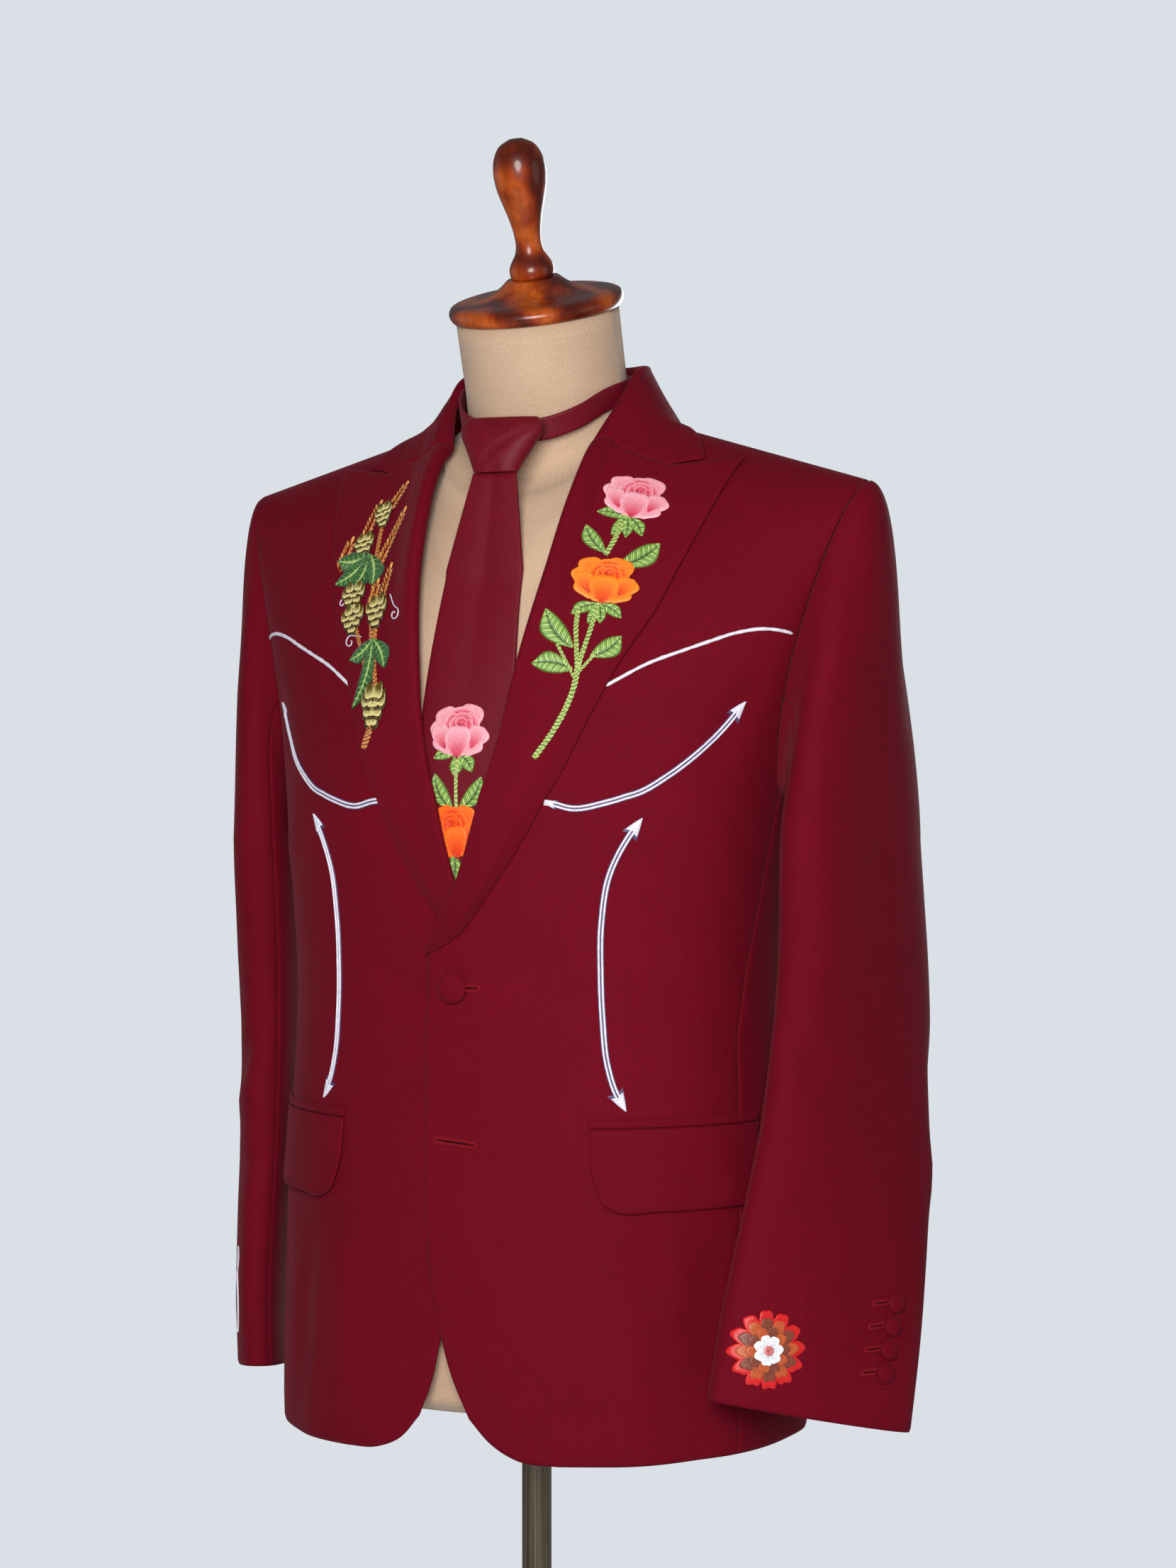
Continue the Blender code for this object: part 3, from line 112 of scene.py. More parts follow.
# Angle at which the columns arrive straight up, how soon they turn forwards or back, and the ring's dip
SIDE_ANGLE, SIDE_SPREAD, NECK_DIP = math.radians(95), math.radians(16), 1.5
RISE_FRONT, RISE_BACK = 0.270, 0.300
RUN_SHOULDER, RUN_NECK = 0.150, 0.100
LIFT_SHOULDER, LIFT_NECK = 0.012, 0.062
SHOULDER_V = 1.998

# Soft vertical folds: angle in degrees (negative on the wearer's right), lowest z, highest z, spread, depth
FOLDS = (
    (60, 0.790, 1.060, 0.11, -2.4 * MM),
    (45, 0.790, 0.940, 0.12, 2.0 * MM),
    (100, 0.790, 1.120, 0.13, 2.4 * MM),
    (128, 0.790, 1.050, 0.12, -3.0 * MM),
    (150, 0.790, 1.090, 0.13, 2.6 * MM),
    (140, 1.080, 1.290, 0.14, -2.8 * MM),
    (-55, 0.790, 1.040, 0.12, -2.2 * MM),
    (-100, 0.790, 1.080, 0.12, -1.8 * MM),
    (-132, 0.790, 1.090, 0.12, -2.8 * MM),
    (-154, 0.790, 1.040, 0.12, 2.4 * MM),
    (-136, 1.090, 1.290, 0.14, -3.0 * MM),
)

# Short soft creases: ends as metres round from the centre front and height, width, depth
BODY_CREASES = (
    (0.150, 0.955, 0.165, 0.830, 0.016, -2.4 * MM),
    (0.118, 0.950, 0.108, 0.850, 0.014, 2.0 * MM),
    (0.205, 0.960, 0.195, 0.850, 0.018, -2.7 * MM),
    (0.020, 1.118, 0.110, 1.150, 0.012, -1.4 * MM),
    (0.024, 1.104, 0.125, 1.085, 0.014, 1.2 * MM),
    (0.190, 1.270, 0.222, 1.335, 0.013, -2.7 * MM),
    (0.170, 1.250, 0.215, 1.215, 0.016, 1.8 * MM),
    (0.205, 1.100, 0.250, 1.070, 0.012, -1.5 * MM),
    (-0.150, 0.950, -0.160, 0.835, 0.015, -2.7 * MM),
    (-0.112, 0.945, -0.104, 0.840, 0.016, 2.1 * MM),
    (-0.200, 0.955, -0.208, 0.835, 0.018, -2.2 * MM),
    (-0.030, 1.112, -0.105, 1.140, 0.012, -1.2 * MM),
    (-0.188, 1.265, -0.218, 1.325, 0.013, -2.5 * MM),
    (-0.175, 1.235, -0.215, 1.200, 0.015, 1.7 * MM),
    (0.395, 1.180, 0.470, 1.130, 0.016, -3.0 * MM),
    (0.385, 1.130, 0.480, 1.080, 0.014, -2.4 * MM),
    (0.400, 1.090, 0.520, 1.050, 0.016, 2.1 * MM),
    (0.430, 1.320, 0.405, 1.220, 0.016, -3.3 * MM),
    (0.470, 1.440, 0.540, 1.455, 0.012, -2.1 * MM),
    (0.480, 0.990, 0.495, 0.850, 0.020, 2.7 * MM),
    (-0.400, 1.165, -0.485, 1.125, 0.016, -2.8 * MM),
    (-0.390, 1.120, -0.470, 1.095, 0.013, -2.1 * MM),
    (-0.420, 1.080, -0.530, 1.055, 0.015, 2.0 * MM),
    (-0.425, 1.330, -0.405, 1.215, 0.017, -3.2 * MM),
    (-0.465, 1.435, -0.535, 1.450, 0.012, -2.0 * MM),
    (-0.500, 0.980, -0.488, 0.850, 0.020, -2.7 * MM),
)

# Shares of a crease's length along which it begins and ends
CREASE_START, CREASE_END = (-0.25, 0.35), (0.65, 1.25)

# Sleeve creases: ends as metres round from under the arm and below the armhole, width, depth
LEFT_CREASES = (
    (0.085, 0.330, 0.150, 0.385, 0.011, -2.9 * MM),
    (0.085, 0.375, 0.165, 0.405, 0.012, 2.3 * MM),
    (0.080, 0.420, 0.140, 0.430, 0.010, -2.3 * MM),
    (0.090, 0.470, 0.170, 0.500, 0.014, -1.9 * MM),
    (0.120, 0.180, 0.140, 0.330, 0.018, 2.2 * MM),
    (0.175, 0.110, 0.190, 0.300, 0.020, -2.0 * MM),
    (0.150, 0.020, 0.160, 0.110, 0.014, -1.9 * MM),
    (0.230, 0.030, 0.222, 0.150, 0.016, -2.2 * MM),
    (0.255, 0.360, 0.285, 0.440, 0.014, -2.6 * MM),
    (0.250, 0.430, 0.290, 0.470, 0.013, 1.9 * MM),
    (0.200, 0.480, 0.215, 0.590, 0.018, -2.0 * MM),
    (0.300, 0.060, 0.310, 0.200, 0.016, -2.3 * MM),
    (0.130, 0.520, 0.140, 0.600, 0.014, 1.4 * MM),
)
RIGHT_CREASES = (
    (0.085, 0.350, 0.145, 0.395, 0.012, -2.8 * MM),
    (0.085, 0.400, 0.160, 0.420, 0.012, 2.0 * MM),
    (0.080, 0.450, 0.150, 0.470, 0.011, -2.2 * MM),
    (0.125, 0.200, 0.145, 0.340, 0.018, 2.0 * MM),
    (0.180, 0.100, 0.185, 0.310, 0.020, -2.2 * MM),
    (0.150, 0.020, 0.155, 0.120, 0.014, -1.7 * MM),
    (0.235, 0.030, 0.225, 0.160, 0.016, -2.0 * MM),
    (0.260, 0.370, 0.290, 0.450, 0.014, -2.5 * MM),
    (0.205, 0.470, 0.215, 0.580, 0.018, -1.9 * MM),
    (0.305, 0.070, 0.312, 0.210, 0.016, -2.2 * MM),
)

# How far each front lies from the middle layer where they cross: height, distance
OVERLAP_ROWS = (
    (1.000, 1.6 * MM),
    (1.080, 1.6 * MM),
    (1.130, 2.9 * MM),
    (1.225, 2.9 * MM),
    (1.330, 0.8 * MM),
    (1.400, 0.0),
)
OVERLAP_FADE = (math.radians(12), math.radians(34))

# Front edges: distance from the centre front (negative is past it) and height
LEFT_CORNER = ((0.014, 0.829), (0.030, 0.813), (0.050, 0.8025), (0.076, 0.800))
LEFT_EDGE = ((0.014, 0.829), (0.001, 0.856), (-0.009, 0.888), (-0.017, 0.924), (-0.022, 0.982))
LEFT_PLACKET = ((-0.022, 0.982), (-0.024, 1.040), (-0.023, 1.100), (-0.020, BREAK_Z))
RIGHT_CORNER = ((0.026, 0.828), (0.042, 0.811), (0.060, 0.8035), (0.086, 0.8015))
RIGHT_EDGE = ((0.026, 0.828), (0.017, 0.850), (0.009, 0.886), (0.001, 0.924), (-0.010, 0.982))
RIGHT_PLACKET = ((-0.010, 0.982), (-0.018, 1.040), (-0.020, 1.100), (-0.020, BREAK_Z))
ROLL_LINE = (
    (-0.020, BREAK_Z),
    (0.002, 1.185),
    (0.018, 1.238),
    (0.030, 1.280),
    (0.041, 1.338),
    (0.0515, 1.399),
    (0.0565, 1.448),
    (0.061, 1.490),
)

# Seams below the armhole: angle in degrees and height
SIDE_SEAM = ((70, 0.803), (71, 0.950), (72, 1.030), (74, 1.090), (77, 1.140), (80, 1.190), (83, 1.2545))
BACK_SEAM = ((119, 0.807), (121, 0.950), (121, 1.030), (119, 1.110), (114, 1.190), (107, 1.2545))
BACK_HEM_Z = 0.810

# Edges of the panels between those seams: angle in degrees and height
FRONT_HEM_MIDDLE, SIDE_HEM_MIDDLE, BACK_HEM_MIDDLE = (50, 0.801), (95, 0.805), (150, 0.809)

# Edges of the panels at the top: angle in degrees and chart height
FRONT_RING = ((27, 1.994), (31, SHOULDER_V))
FRONT_SHOULDER = ((31, SHOULDER_V), (55, SHOULDER_V), (78.8, SHOULDER_V))
BACK_SHOULDER = ((111.2, SHOULDER_V), (130, SHOULDER_V), (149, SHOULDER_V))
NAPE_EDGE = ((149, SHOULDER_V), (165, SHOULDER_V), (180, SHOULDER_V))

# Steps along the front edge and its placket, up a side seam, and across the back and its shoulder
EDGE_STEPS, SIDE_STEPS, BACK_STEPS, BACK_SHOULDER_STEPS = 4, 13, 10, 6

# Armhole: angle in degrees and chart height
FRONT_ARMHOLE = ((83, 1.010), (80, 1.120), (78.4, 1.280), (78.2, 1.450), (78.6, 1.700), (78.8, SHOULDER_V))
UNDER_ARMHOLE = ((83, 1.010), (88, 0.985), (95, 0.976), (102, 0.985), (107, 1.010))
FRONT_ARM_STEPS, UNDER_STEPS, BACK_ARM_STEPS = 9, 6, 8
BACK_ARMHOLE = (
    (107, 1.010),
    (110, 1.120),
    (111.2, 1.300),
    (111.4, 1.550),
    (111.2, 1.800),
    (111.2, SHOULDER_V),
)
# Half of a seam's gap as an angle
SEAM_INSET = 0.5 * SEAM_GAP / PATH_METRES[0]

# Lapel: outer edge from the break to the peak, gorge from the roll line, top edge of the peak
LAPEL_EDGE = (
    (-0.016, 1.1445),
    (0.004, 1.156),
    (0.026, 1.184),
    (0.047, 1.216),
    (0.064, 1.249),
    (0.088, 1.301),
    (0.105, 1.342),
    (0.120, 1.371),
    (0.133, 1.408),
    (0.145, 1.446),
    (0.155, 1.481),
)
GORGE = ((0.061, 1.490), (0.082, 1.4835), (0.106, 1.4745))
PEAK_TOP = ((0.106, 1.4745), (0.130, 1.4775), (0.155, 1.481))
PRESSED_RADIUS, ROLL_RADIUS = 0.4 * MM, 3.0 * MM
ROLL_GAP, GORGE_GAP = 0.4 * MM, 1.0 * MM
# Shares of the roll line along which the fold opens from pressed to soft, and leaves the front's edge
ROLL_OPENS, GORGE_OPENS = (0.27, 0.62), (0.8, 1.0)
LAPEL_ROWS = 14
# Metres of the lapel in the weave: under its fold, across and along
LAPEL_FOLD, LAPEL_WIDTH, LAPEL_LENGTH = 0.010, 0.11, 0.36

# Collar: middle of the fold from the side to the nape, edge of the leaf, foot of the stand
COLLAR_FOLD = (
    (0.0665, -0.0020, 1.5200),
    (0.0680, 0.0260, 1.5445),
    (0.0590, 0.0580, 1.5505),
    (0.0340, 0.0820, 1.5520),
    (0.0, 0.0915, 1.5525),
)
COLLAR_CORNER = ((0.1295, 1.4800), (0.1235, 1.4910))
COLLAR_LEAF = (
    (0.1095, 0.0230, 1.5050),
    (0.0985, 0.0300, 1.5085),
    (0.0860, 0.0560, 1.5120),
    (0.0600, 0.0860, 1.5130),
    (0.0300, 0.1060, 1.5105),
    (0.0, 0.1115, 1.5095),
)
COLLAR_FOOT = (
    (0.0705, 0.0250, 1.5165),
    (0.0580, 0.0600, 1.5200),
    (0.0320, 0.0865, 1.5220),
    (0.0, 0.0960, 1.5225),
)
COLLAR_RADIUS = 2.8 * MM
COLLAR_GAP = 0.6 * MM
COLLAR_STATIONS = 13

# Pocket flap and the jet over it, measured from the front
FLAP_TOP = ((0.0925, 1.0260), (0.130, 1.0265))
FLAP_BOTTOM = ((0.1010, 0.9775), (0.1090, 0.9718), (0.135, 0.9712))
FLAP_FRONT = ((0.1010, 0.9775), (0.0950, 0.9960), (0.0925, 1.0260))
FLAP_BACK_DEGREES = 77.5
FLAP_BACK_Z = (0.9725, 1.0270)
FLAP_WIDE, FLAP_HIGH = 7, 4
FLAP_CLOTH, FLAP_HANG = 2.0 * MM, 1.2 * MM
JET_HEIGHT, JET_CLOTH, JET_SWELL = 5.5 * MM, 1.4 * MM, 0.4 * MM

# Raised white trim, measured from the front
YOKE_LINE = (
    (0.1035, 1.3285),
    (0.123, 1.3400),
    (0.142, 1.3480),
    (0.158, 1.3545),
    (0.172, 1.3600),
    (0.187, 1.3630),
    (0.199, 1.3615),
)
SMILE_ARROW = (
    (0.067, 1.2455),
    (0.082, 1.2420),
    (0.101, 1.2455),
    (0.121, 1.2520),
    (0.139, 1.2640),
    (0.153, 1.2770),
    (0.166, 1.2920),
    (0.180, 1.3140),
)
LONG_ARROW = (
    (0.125, 1.2360),
    (0.115, 1.2200),
    (0.105, 1.1970),
    (0.100, 1.1650),
    (0.099, 1.1300),
    (0.100, 1.1000),
    (0.103, 1.0700),
    (0.108, 1.0520),
    (0.115, 1.0380),
)
TRIM_STEP, STRIP_WIDTH = 0.55 * MM, 5.0 * MM
# Arrowheads: size, rows of thread, share of the length beside the shaft, size of the smile's inner one
HEAD_LENGTH, HEAD_WIDTH, HEAD_THREADS = 12.0 * MM, 10.5 * MM, 12
HEAD_LAP, SMALL_HEAD = 0.8, 0.6

# Sleeves by level rings: height, centre x and y, half width, half thickness, degrees, drop
LEFT_SLEEVE = (
    (0.8330, 0.2262, -0.0510, 0.0730, 0.0195, 44, 0.21),
    (0.8800, 0.2280, -0.0370, 0.0750, 0.0210, 48, 0.17),
    (0.9300, 0.2292, -0.0190, 0.0770, 0.0225, 55, 0.12),
    (1.0200, 0.2305, 0.0090, 0.0795, 0.0245, 67, 0.07),
    (1.1200, 0.2288, 0.0285, 0.0802, 0.0265, 75, 0.03),
    (1.2150, 0.2265, 0.0290, 0.0800, 0.0280, 80, 0.00),
)
RIGHT_SLEEVE = (
    (0.8280, 0.2262, 0.0120, 0.0730, 0.0195, 66, 0.11),
    (0.8800, 0.2270, 0.0150, 0.0740, 0.0205, 68, 0.10),
    (0.9300, 0.2268, 0.0210, 0.0755, 0.0220, 69, 0.08),
    (1.0200, 0.2255, 0.0310, 0.0780, 0.0240, 71, 0.05),
    (1.1200, 0.2250, 0.0360, 0.0790, 0.0258, 73, 0.03),
    (1.2150, 0.2250, 0.0330, 0.0795, 0.0270, 75, 0.00),
)
# How full the flat rings are, and the seams by their turn from under the arm
SLEEVE_SOFTNESS = 0.8
FRONT_SLEEVE_SEAM, BACK_SLEEVE_SEAM = 0.20, 0.765
# Rows of the cap's grid, and how many there are from it to the cuff
CAP_STEPS = (0.0, 0.10, 0.22, 0.38, 0.56, 0.78, 1.0)
CUFF_STEPS = 11
# How far the cap swells out over the armhole and under the arm
CAP_REACH_LEFT, CAP_REACH_RIGHT, UNDERARM_REACH = 0.092, 0.052, 0.022
ARMHOLE_GAP = -0.8 * MM
SLEEVE_SEAM_TURN = 0.5 * SEAM_GAP / 0.20
# Vent at the cuff: its upper end, how far it stands off, and its width in turns
VENT_TOP, VENT_LIFT, VENT_WIDTH = 0.930, 1.6 * MM, 0.05

# Covered buttons: height and radius from the cloth outwards
FRONT_BUTTON = (
    (0.0, 8.8 * MM),
    (1.0 * MM, 10.2 * MM),
    (2.6 * MM, 10.5 * MM),
    (4.2 * MM, 9.0 * MM),
    (5.4 * MM, 5.0 * MM),
)
CUFF_BUTTON = ((0.0, 6.1 * MM), (1.4 * MM, 6.9 * MM), (3.0 * MM, 5.9 * MM), (4.0 * MM, 3.0 * MM))
FRONT_BUTTON_X, FRONT_BUTTON_Z = -0.001, 1.120
CUFF_BUTTON_Z = (0.8585, 0.8735, 0.8885, 0.9035)
CUFF_BUTTON_TURN = 0.597
CUFF_HOLE_TURN = CUFF_BUTTON_TURN - 0.028
# Buttonholes of the front: place seen from the front, start and end on the board
FRONT_HOLES = (
    ((0.0, 1.015), (-0.0135, 0.0012), (0.0145, -0.0012)),
    ((0.0, FRONT_BUTTON_Z), (-0.004, 0.0), (0.0165, 0.0)),
)
BUTTON_GAP = 0.4 * MM
FRONT_BUTTON_SIDES, CUFF_BUTTON_SIDES = 48, 32

# Blade of the tie behind the fronts: height and half width
TIE_ROWS = (
    (1.035, 0.0020),
    (1.075, 0.0400),
    (1.170, 0.0395),
    (1.250, 0.0370),
    (1.330, 0.0345),
    (1.400, 0.0300),
)
# Top of the blade, up to the knot: height, half width, y
TIE_TOP_ROWS = ((1.400, 0.0300, -0.0870), (1.435, 0.0235, -0.0780), (1.472, 0.0165, -0.0690))
# How far the blade lies behind the body's cloth, and its wall
TIE_BEHIND, TIE_CLOTH = 6.0 * MM, 2.6 * MM
# Knot by level rings: height, half width, half thickness, y
KNOT_ROWS = (
    (1.4723, 0.0165, 0.0075, -0.0665),
    (1.4810, 0.0205, 0.0110, -0.0635),
    (1.4910, 0.0260, 0.0125, -0.0600),
    (1.5000, 0.0305, 0.0120, -0.0575),
    (1.5070, 0.0300, 0.0100, -0.0555),
    (1.5110, 0.0265, 0.0075, -0.0545),
)
# Band round the neck: its middle from the knot to the nape, width and wall
BAND_PATH = (
    (0.006, -0.0428, 1.502),
    (0.026, -0.0390, 1.504),
    (0.044, -0.0270, 1.512),
    (0.0560, -0.0050, 1.525),
    (0.0615, 0.0185, 1.533),
    (0.0535, 0.0465, 1.5385),
    (0.0315, 0.0705, 1.5415),
    (0.0, 0.0795, 1.5430),
)
BAND_WIDTH, BAND_CLOTH = 16.0 * MM, 2.0 * MM

# Dress form: chart height and how far it lies inside the jacket at the front and elsewhere
FORM_ROWS = (
    (0.060, 0.0300, 0.0300),
    (0.075, 0.0200, 0.0200),
    (0.100, 0.0170, 0.0170),
    (0.300, 0.0145, 0.0145),
    (0.550, 0.0105, 0.0100),
    (0.750, 0.0100, 0.0080),
    (0.950, 0.0100, 0.0070),
    (1.150, 0.0100, 0.0065),
    (1.350, 0.0100, 0.0060),
    (1.550, 0.0100, 0.0055),
    (1.700, 0.0100, 0.0050),
    (1.820, 0.0095, 0.0050),
    (1.920, 0.0085, 0.0048),
    (2.000, 0.0070, 0.0048),
)
FORM_SHOULDER_STEPS = 5
FORM_ARM_INSET = 5.0 * MM
# Angle that two of the form's columns may differ by and still be one
TINY = 1e-6

# Neck of the form: distance below its top at the front, side and back, and radius
NECK_TILT = math.radians(17)
NECK_TOP = (0.0, 0.0013, 1.5893)
NECK_ROWS = (
    (0.1075, 0.0765, 0.0935, 0.0610),
    (0.0875, 0.0635, 0.0755, 0.0582),
    (0.0585, 0.0455, 0.0515, 0.0575),
    (0.0295, 0.0255, 0.0275, 0.0578),
    (0.0, 0.0, 0.0, 0.0580),
)

# Turned wood on the neck's axis: height over the neck's top and radius
CAP_PROFILE = (
    (0.0005, 0.0598),
    (0.0030, 0.0616),
    (0.0065, 0.0622),
    (0.0100, 0.0606),
    (0.0118, 0.0560),
    (0.0130, 0.0440),
    (0.0155, 0.0330),
    (0.0200, 0.0245),
    (0.0250, 0.0185),
)
KNOB_PROFILE = (
    (0.0253, 0.0150),
    (0.0285, 0.0158),
    (0.0335, 0.0154),
    (0.0378, 0.0133),
    (0.0423, 0.0106),
    (0.0485, 0.0092),
    (0.0550, 0.0094),
    (0.0670, 0.0116),
    (0.0790, 0.0150),
    (0.0905, 0.0179),
    (0.1010, 0.0186),
    (0.1110, 0.0168),
    (0.1185, 0.0124),
    (0.1227, 0.0050),
)

# Stand: height and radius of the base, then the pole
BASE_PROFILE = (
    (0.0, 0.1660),
    (0.0040, 0.1700),
    (0.0100, 0.1690),
    (0.0130, 0.1640),
    (0.0150, 0.0320),
    (0.0200, 0.0250),
    (0.0420, 0.0225),
    (0.0450, 0.0195),
)
POLE_RADIUS, POLE_FOOT, POLE_HEAD = 0.0105, 0.0453, 0.8269
SHARP_DEGREES = 35

# Where the yoke line runs on: at the lapel and at the armhole. Where the smile arrow does, at the lapel
YOKE_START, YOKE_END, SMILE_START = (0.0965, 1.3240), (0.2025, 1.3600), (0.0625, 1.2460)

# Depths of the tie's folds
TIE_DRAPE, KNOT_FOLD, KNOT_DIMPLE = 0.9 * MM, 0.9 * MM, 1.4 * MM
# Width of the blade's middle fold in half widths, and the heights between which it begins
TIE_DRAPE_SPREAD, TIE_DRAPE_Z = 0.30, (1.30, 1.40)

# Pick stitches: distance from the edge and from one to the next
EDGE_INSET, DASH_SPACING = 3.2 * MM, 4.6 * MM

# Spacing of satin threads and of the slanted stitches in leaves
THREAD, STITCH = 0.9 * MM, 1.5 * MM

# The cut of each piece of cloth: width, length, flat area
CUTS = {
    "front": (0.300, 0.745, 0.150),
    "side": (0.165, 0.470, 0.064),
    "back": (0.240, 0.760, 0.132),
    "lapel": (0.130, 0.400, 0.028),
    "collar": (0.440, 0.085, 0.030),
    "flap": (0.145, 0.056, 0.0075),
    "sleeve_top": (0.240, 0.640, 0.115),
    "sleeve_under": (0.160, 0.540, 0.070),
    "tie_blade": (0.080, 0.440, 0.031),
    "tie_knot": (0.130, 0.046, 0.0058),
    "tie_band": (0.430, 0.0165, 0.0070),
}

# Cloth, backdrop, and the wood from its dark figure to its light one
BURGUNDY, BACKDROP = linear(103, 4, 25), linear(218, 224, 230)
WOOD_COLOURS = (
    (0.20, linear(76, 20, 5)),
    (0.40, linear(118, 38, 8)),
    (0.60, linear(150, 58, 13)),
    (0.82, linear(180, 84, 24)),
)
# Slant of the twill, and how deep the relief of the weave, the wood's grain and the brushed steel is
TWILL_SLANT = math.radians(-33)
WEAVE_DEPTH, GRAIN_DEPTH, BRUSH_DEPTH = 0.12 * MM, 0.05 * MM, 0.04 * MM

# Thread colours: dark and light for petals and cords, where the dark one of a cord is painted shade in its
# grooves; painted shade in the gaps between stitches, stitches, crowns that carry a painted highlight, and
# veins for leaves
# The white trim's darker colour is the painted shadow of white thread, in its grooves and between its
# threads
TRIM_SHADOW, NAVY = linear(206, 200, 222), linear(74, 58, 98)
TRIM_SHADES = (TRIM_SHADOW, linear(240, 240, 246))
TENDRIL_SHADES = (TRIM_SHADOW, linear(214, 202, 222))
STEM_GREEN = (linear(84, 112, 44), linear(196, 214, 122))
STRAW = (linear(96, 40, 14), linear(214, 140, 66))
GREEN = (linear(34, 66, 26), linear(98, 150, 56), linear(206, 230, 134), linear(34, 62, 28))
DARK_GREEN = (linear(20, 48, 24), linear(36, 86, 42), linear(74, 128, 62), linear(186, 214, 128))
WHEAT = (linear(150, 66, 18), linear(222, 138, 66))
GOLD = (linear(168, 84, 24), linear(240, 178, 92))
HOPS = (linear(92, 74, 16), linear(244, 232, 156))
PINK = (linear(204, 44, 78), linear(244, 178, 190))
ORANGE = (linear(220, 54, 4), linear(255, 142, 30))
FLAME = (linear(214, 40, 8), linear(255, 118, 30))
RUST = (linear(120, 52, 30), linear(196, 90, 44))
BROWN, ROSY = (linear(70, 32, 24), linear(134, 66, 48)), (linear(176, 70, 74), linear(226, 138, 136))
RED_RING = (linear(140, 8, 14), linear(214, 24, 26))
WHITE_SILK = (linear(206, 206, 216), linear(244, 244, 250))
DARK_SILK = (linear(10, 12, 16), linear(24, 28, 34), linear(44, 50, 60), linear(10, 12, 16))
PALE_SILK = (linear(176, 176, 190), linear(220, 220, 230), linear(242, 242, 248), linear(200, 200, 212))
# Buttonhole stitches, darker between their knots as painted shade, and the painted shadow laid as a dark
# strip in each slit
HOLE_SHADES, SLIT_SHADOW = (linear(84, 5, 16), linear(150, 16, 36)), linear(30, 3, 7)
# Pick stitches: partly the thread's colour, partly painted shade of the dents they pull in the cloth
PICK = linear(84, 8, 20)
# Dark outlines of grains and scales: size by the petal's, height under it in millimetres, colour
EAR_OUTLINE = (1.20, 0.25, linear(84, 34, 12))
HOP_OUTLINE = (1.22, 0.28, linear(62, 46, 12))

# Rings of the cuff's rosette: petals, radius, height, shades in turn
MEDALLION_RINGS = (
    (12, 26.2 * MM, 0.35 * MM, (RED_RING,)),
    (12, 21.5 * MM, 0.80 * MM, (RUST, BROWN)),
    (10, 15.5 * MM, 1.30 * MM, (BROWN, RUST)),
    (7, 10.5 * MM, 1.80 * MM, (WHITE_SILK,)),
)

# Where the rosette and the spindle lie on the sleeves: a point off the cloth, the way from it to the cloth
MEDALLION_SPOT, MEDALLION_VIEW = (0.2405, -0.1225, 0.8885), (-0.63, 0.76, -0.15)
SPINDLE_SPOT, SPINDLE_VIEW = (-0.2535, -0.0765, 0.8880), (0.70, 0.71, 0.0)
# How far along that way the cloth is looked for where the line misses it
ACROSS_SLEEVE = 0.05

# Points of one stitch: along a petal, from the midrib to the edge of a leaf, from the middle of a round
PETAL_STEPS = (0.0, 0.15, 0.3, 0.45, 0.6, 0.75, 0.88, 0.97, 1.0)
LEAF_STEPS = (0.0, 0.22, 0.48, 0.74, 0.92, 1.0)
DISC_STEPS = (0, 0.08, 0.5, 0.92, 1.0)
# How far a round's stitches reach past its radius, and the length of a lobe at its full width
DISC_EDGE, LOBE_LENGTH = 1.035, 0.026

# Petals in half sizes of the rose: foot x and y, degrees, half spread, reach from and to, layer, and the
# share of the deep colour at the rim
ROSE_PETALS = (
    (0.00, -0.10, 270, 60, 0.0, 0.78, 0.0, 0.12),
    (-0.10, 0.00, 172, 44, 0.0, 0.90, 0.0, 0.00),
    (0.20, -0.05, -14, 42, 0.0, 0.82, 0.1, 0.02),
    (-0.10, 0.05, 130, 50, 0.0, 0.92, 0.3, 0.06),
    (0.12, 0.08, 62, 54, 0.0, 0.92, 0.5, 0.12),
    (-0.08, -0.05, 218, 50, 0.0, 0.88, 0.6, 0.02),
    (0.14, -0.10, -50, 48, 0.0, 0.84, 0.8, 0.00),
    (0.08, 0.22, 92, 78, 0.42, 0.66, 1.3, 0.08),
    (0.10, 0.20, 16, 62, 0.36, 0.60, 1.5, 0.16),
    (0.04, 0.20, 168, 62, 0.36, 0.60, 1.6, 0.06),
    (0.10, 0.24, 76, 84, 0.25, 0.44, 1.9, 0.22),
    (0.08, 0.24, 188, 72, 0.23, 0.42, 2.1, 0.12),
    (0.10, 0.24, -26, 76, 0.20, 0.40, 2.2, 0.26),
    (0.10, 0.26, 112, 98, 0.11, 0.27, 2.5, 0.30),
    (0.10, 0.26, 292, 98, 0.06, 0.22, 2.7, 0.42),
    (0.10, 0.26, 60, 120, 0.00, 0.12, 2.9, 0.70),
    (-0.42, -0.58, 112, 40, 0.0, 0.86, 2.2, 0.02),
    (0.46, -0.56, 70, 40, 0.0, 0.80, 2.3, 0.06),
    (0.00, -0.92, 91, 46, 0.0, 1.12, 3.0, 0.00),
)

# Left lapel, seen from the front: stems, leaves by root, tip, width and bend, roses by centre, half size,
# lean in degrees, hand and shades. The leaves are drawn on one board, held at LEFT_BOARD
LEFT_BOARD = (0.088, 1.385)
LEFT_STEMS = (
    (((0.0900, 1.4380), (0.0885, 1.4270), (0.0842, 1.4133)), 3.6 * MM),
    (((0.0740, 1.3780), (0.0745, 1.3640), (0.0762, 1.3530), (0.0789, 1.3360)), 3.3 * MM),
    (((0.0855, 1.3780), (0.0838, 1.3640), (0.0815, 1.3505), (0.0789, 1.3360)), 3.3 * MM),
    (((0.0640, 1.3530), (0.0700, 1.3430), (0.0775, 1.3300)), 2.2 * MM),
    (((0.0900, 1.3475), (0.0860, 1.3420), (0.0800, 1.3340)), 2.2 * MM),
    (((0.0792, 1.3430), (0.0782, 1.3240), (0.0750, 1.3110), (0.0672, 1.2930), (0.0562, 1.2755)), 3.9 * MM),
)
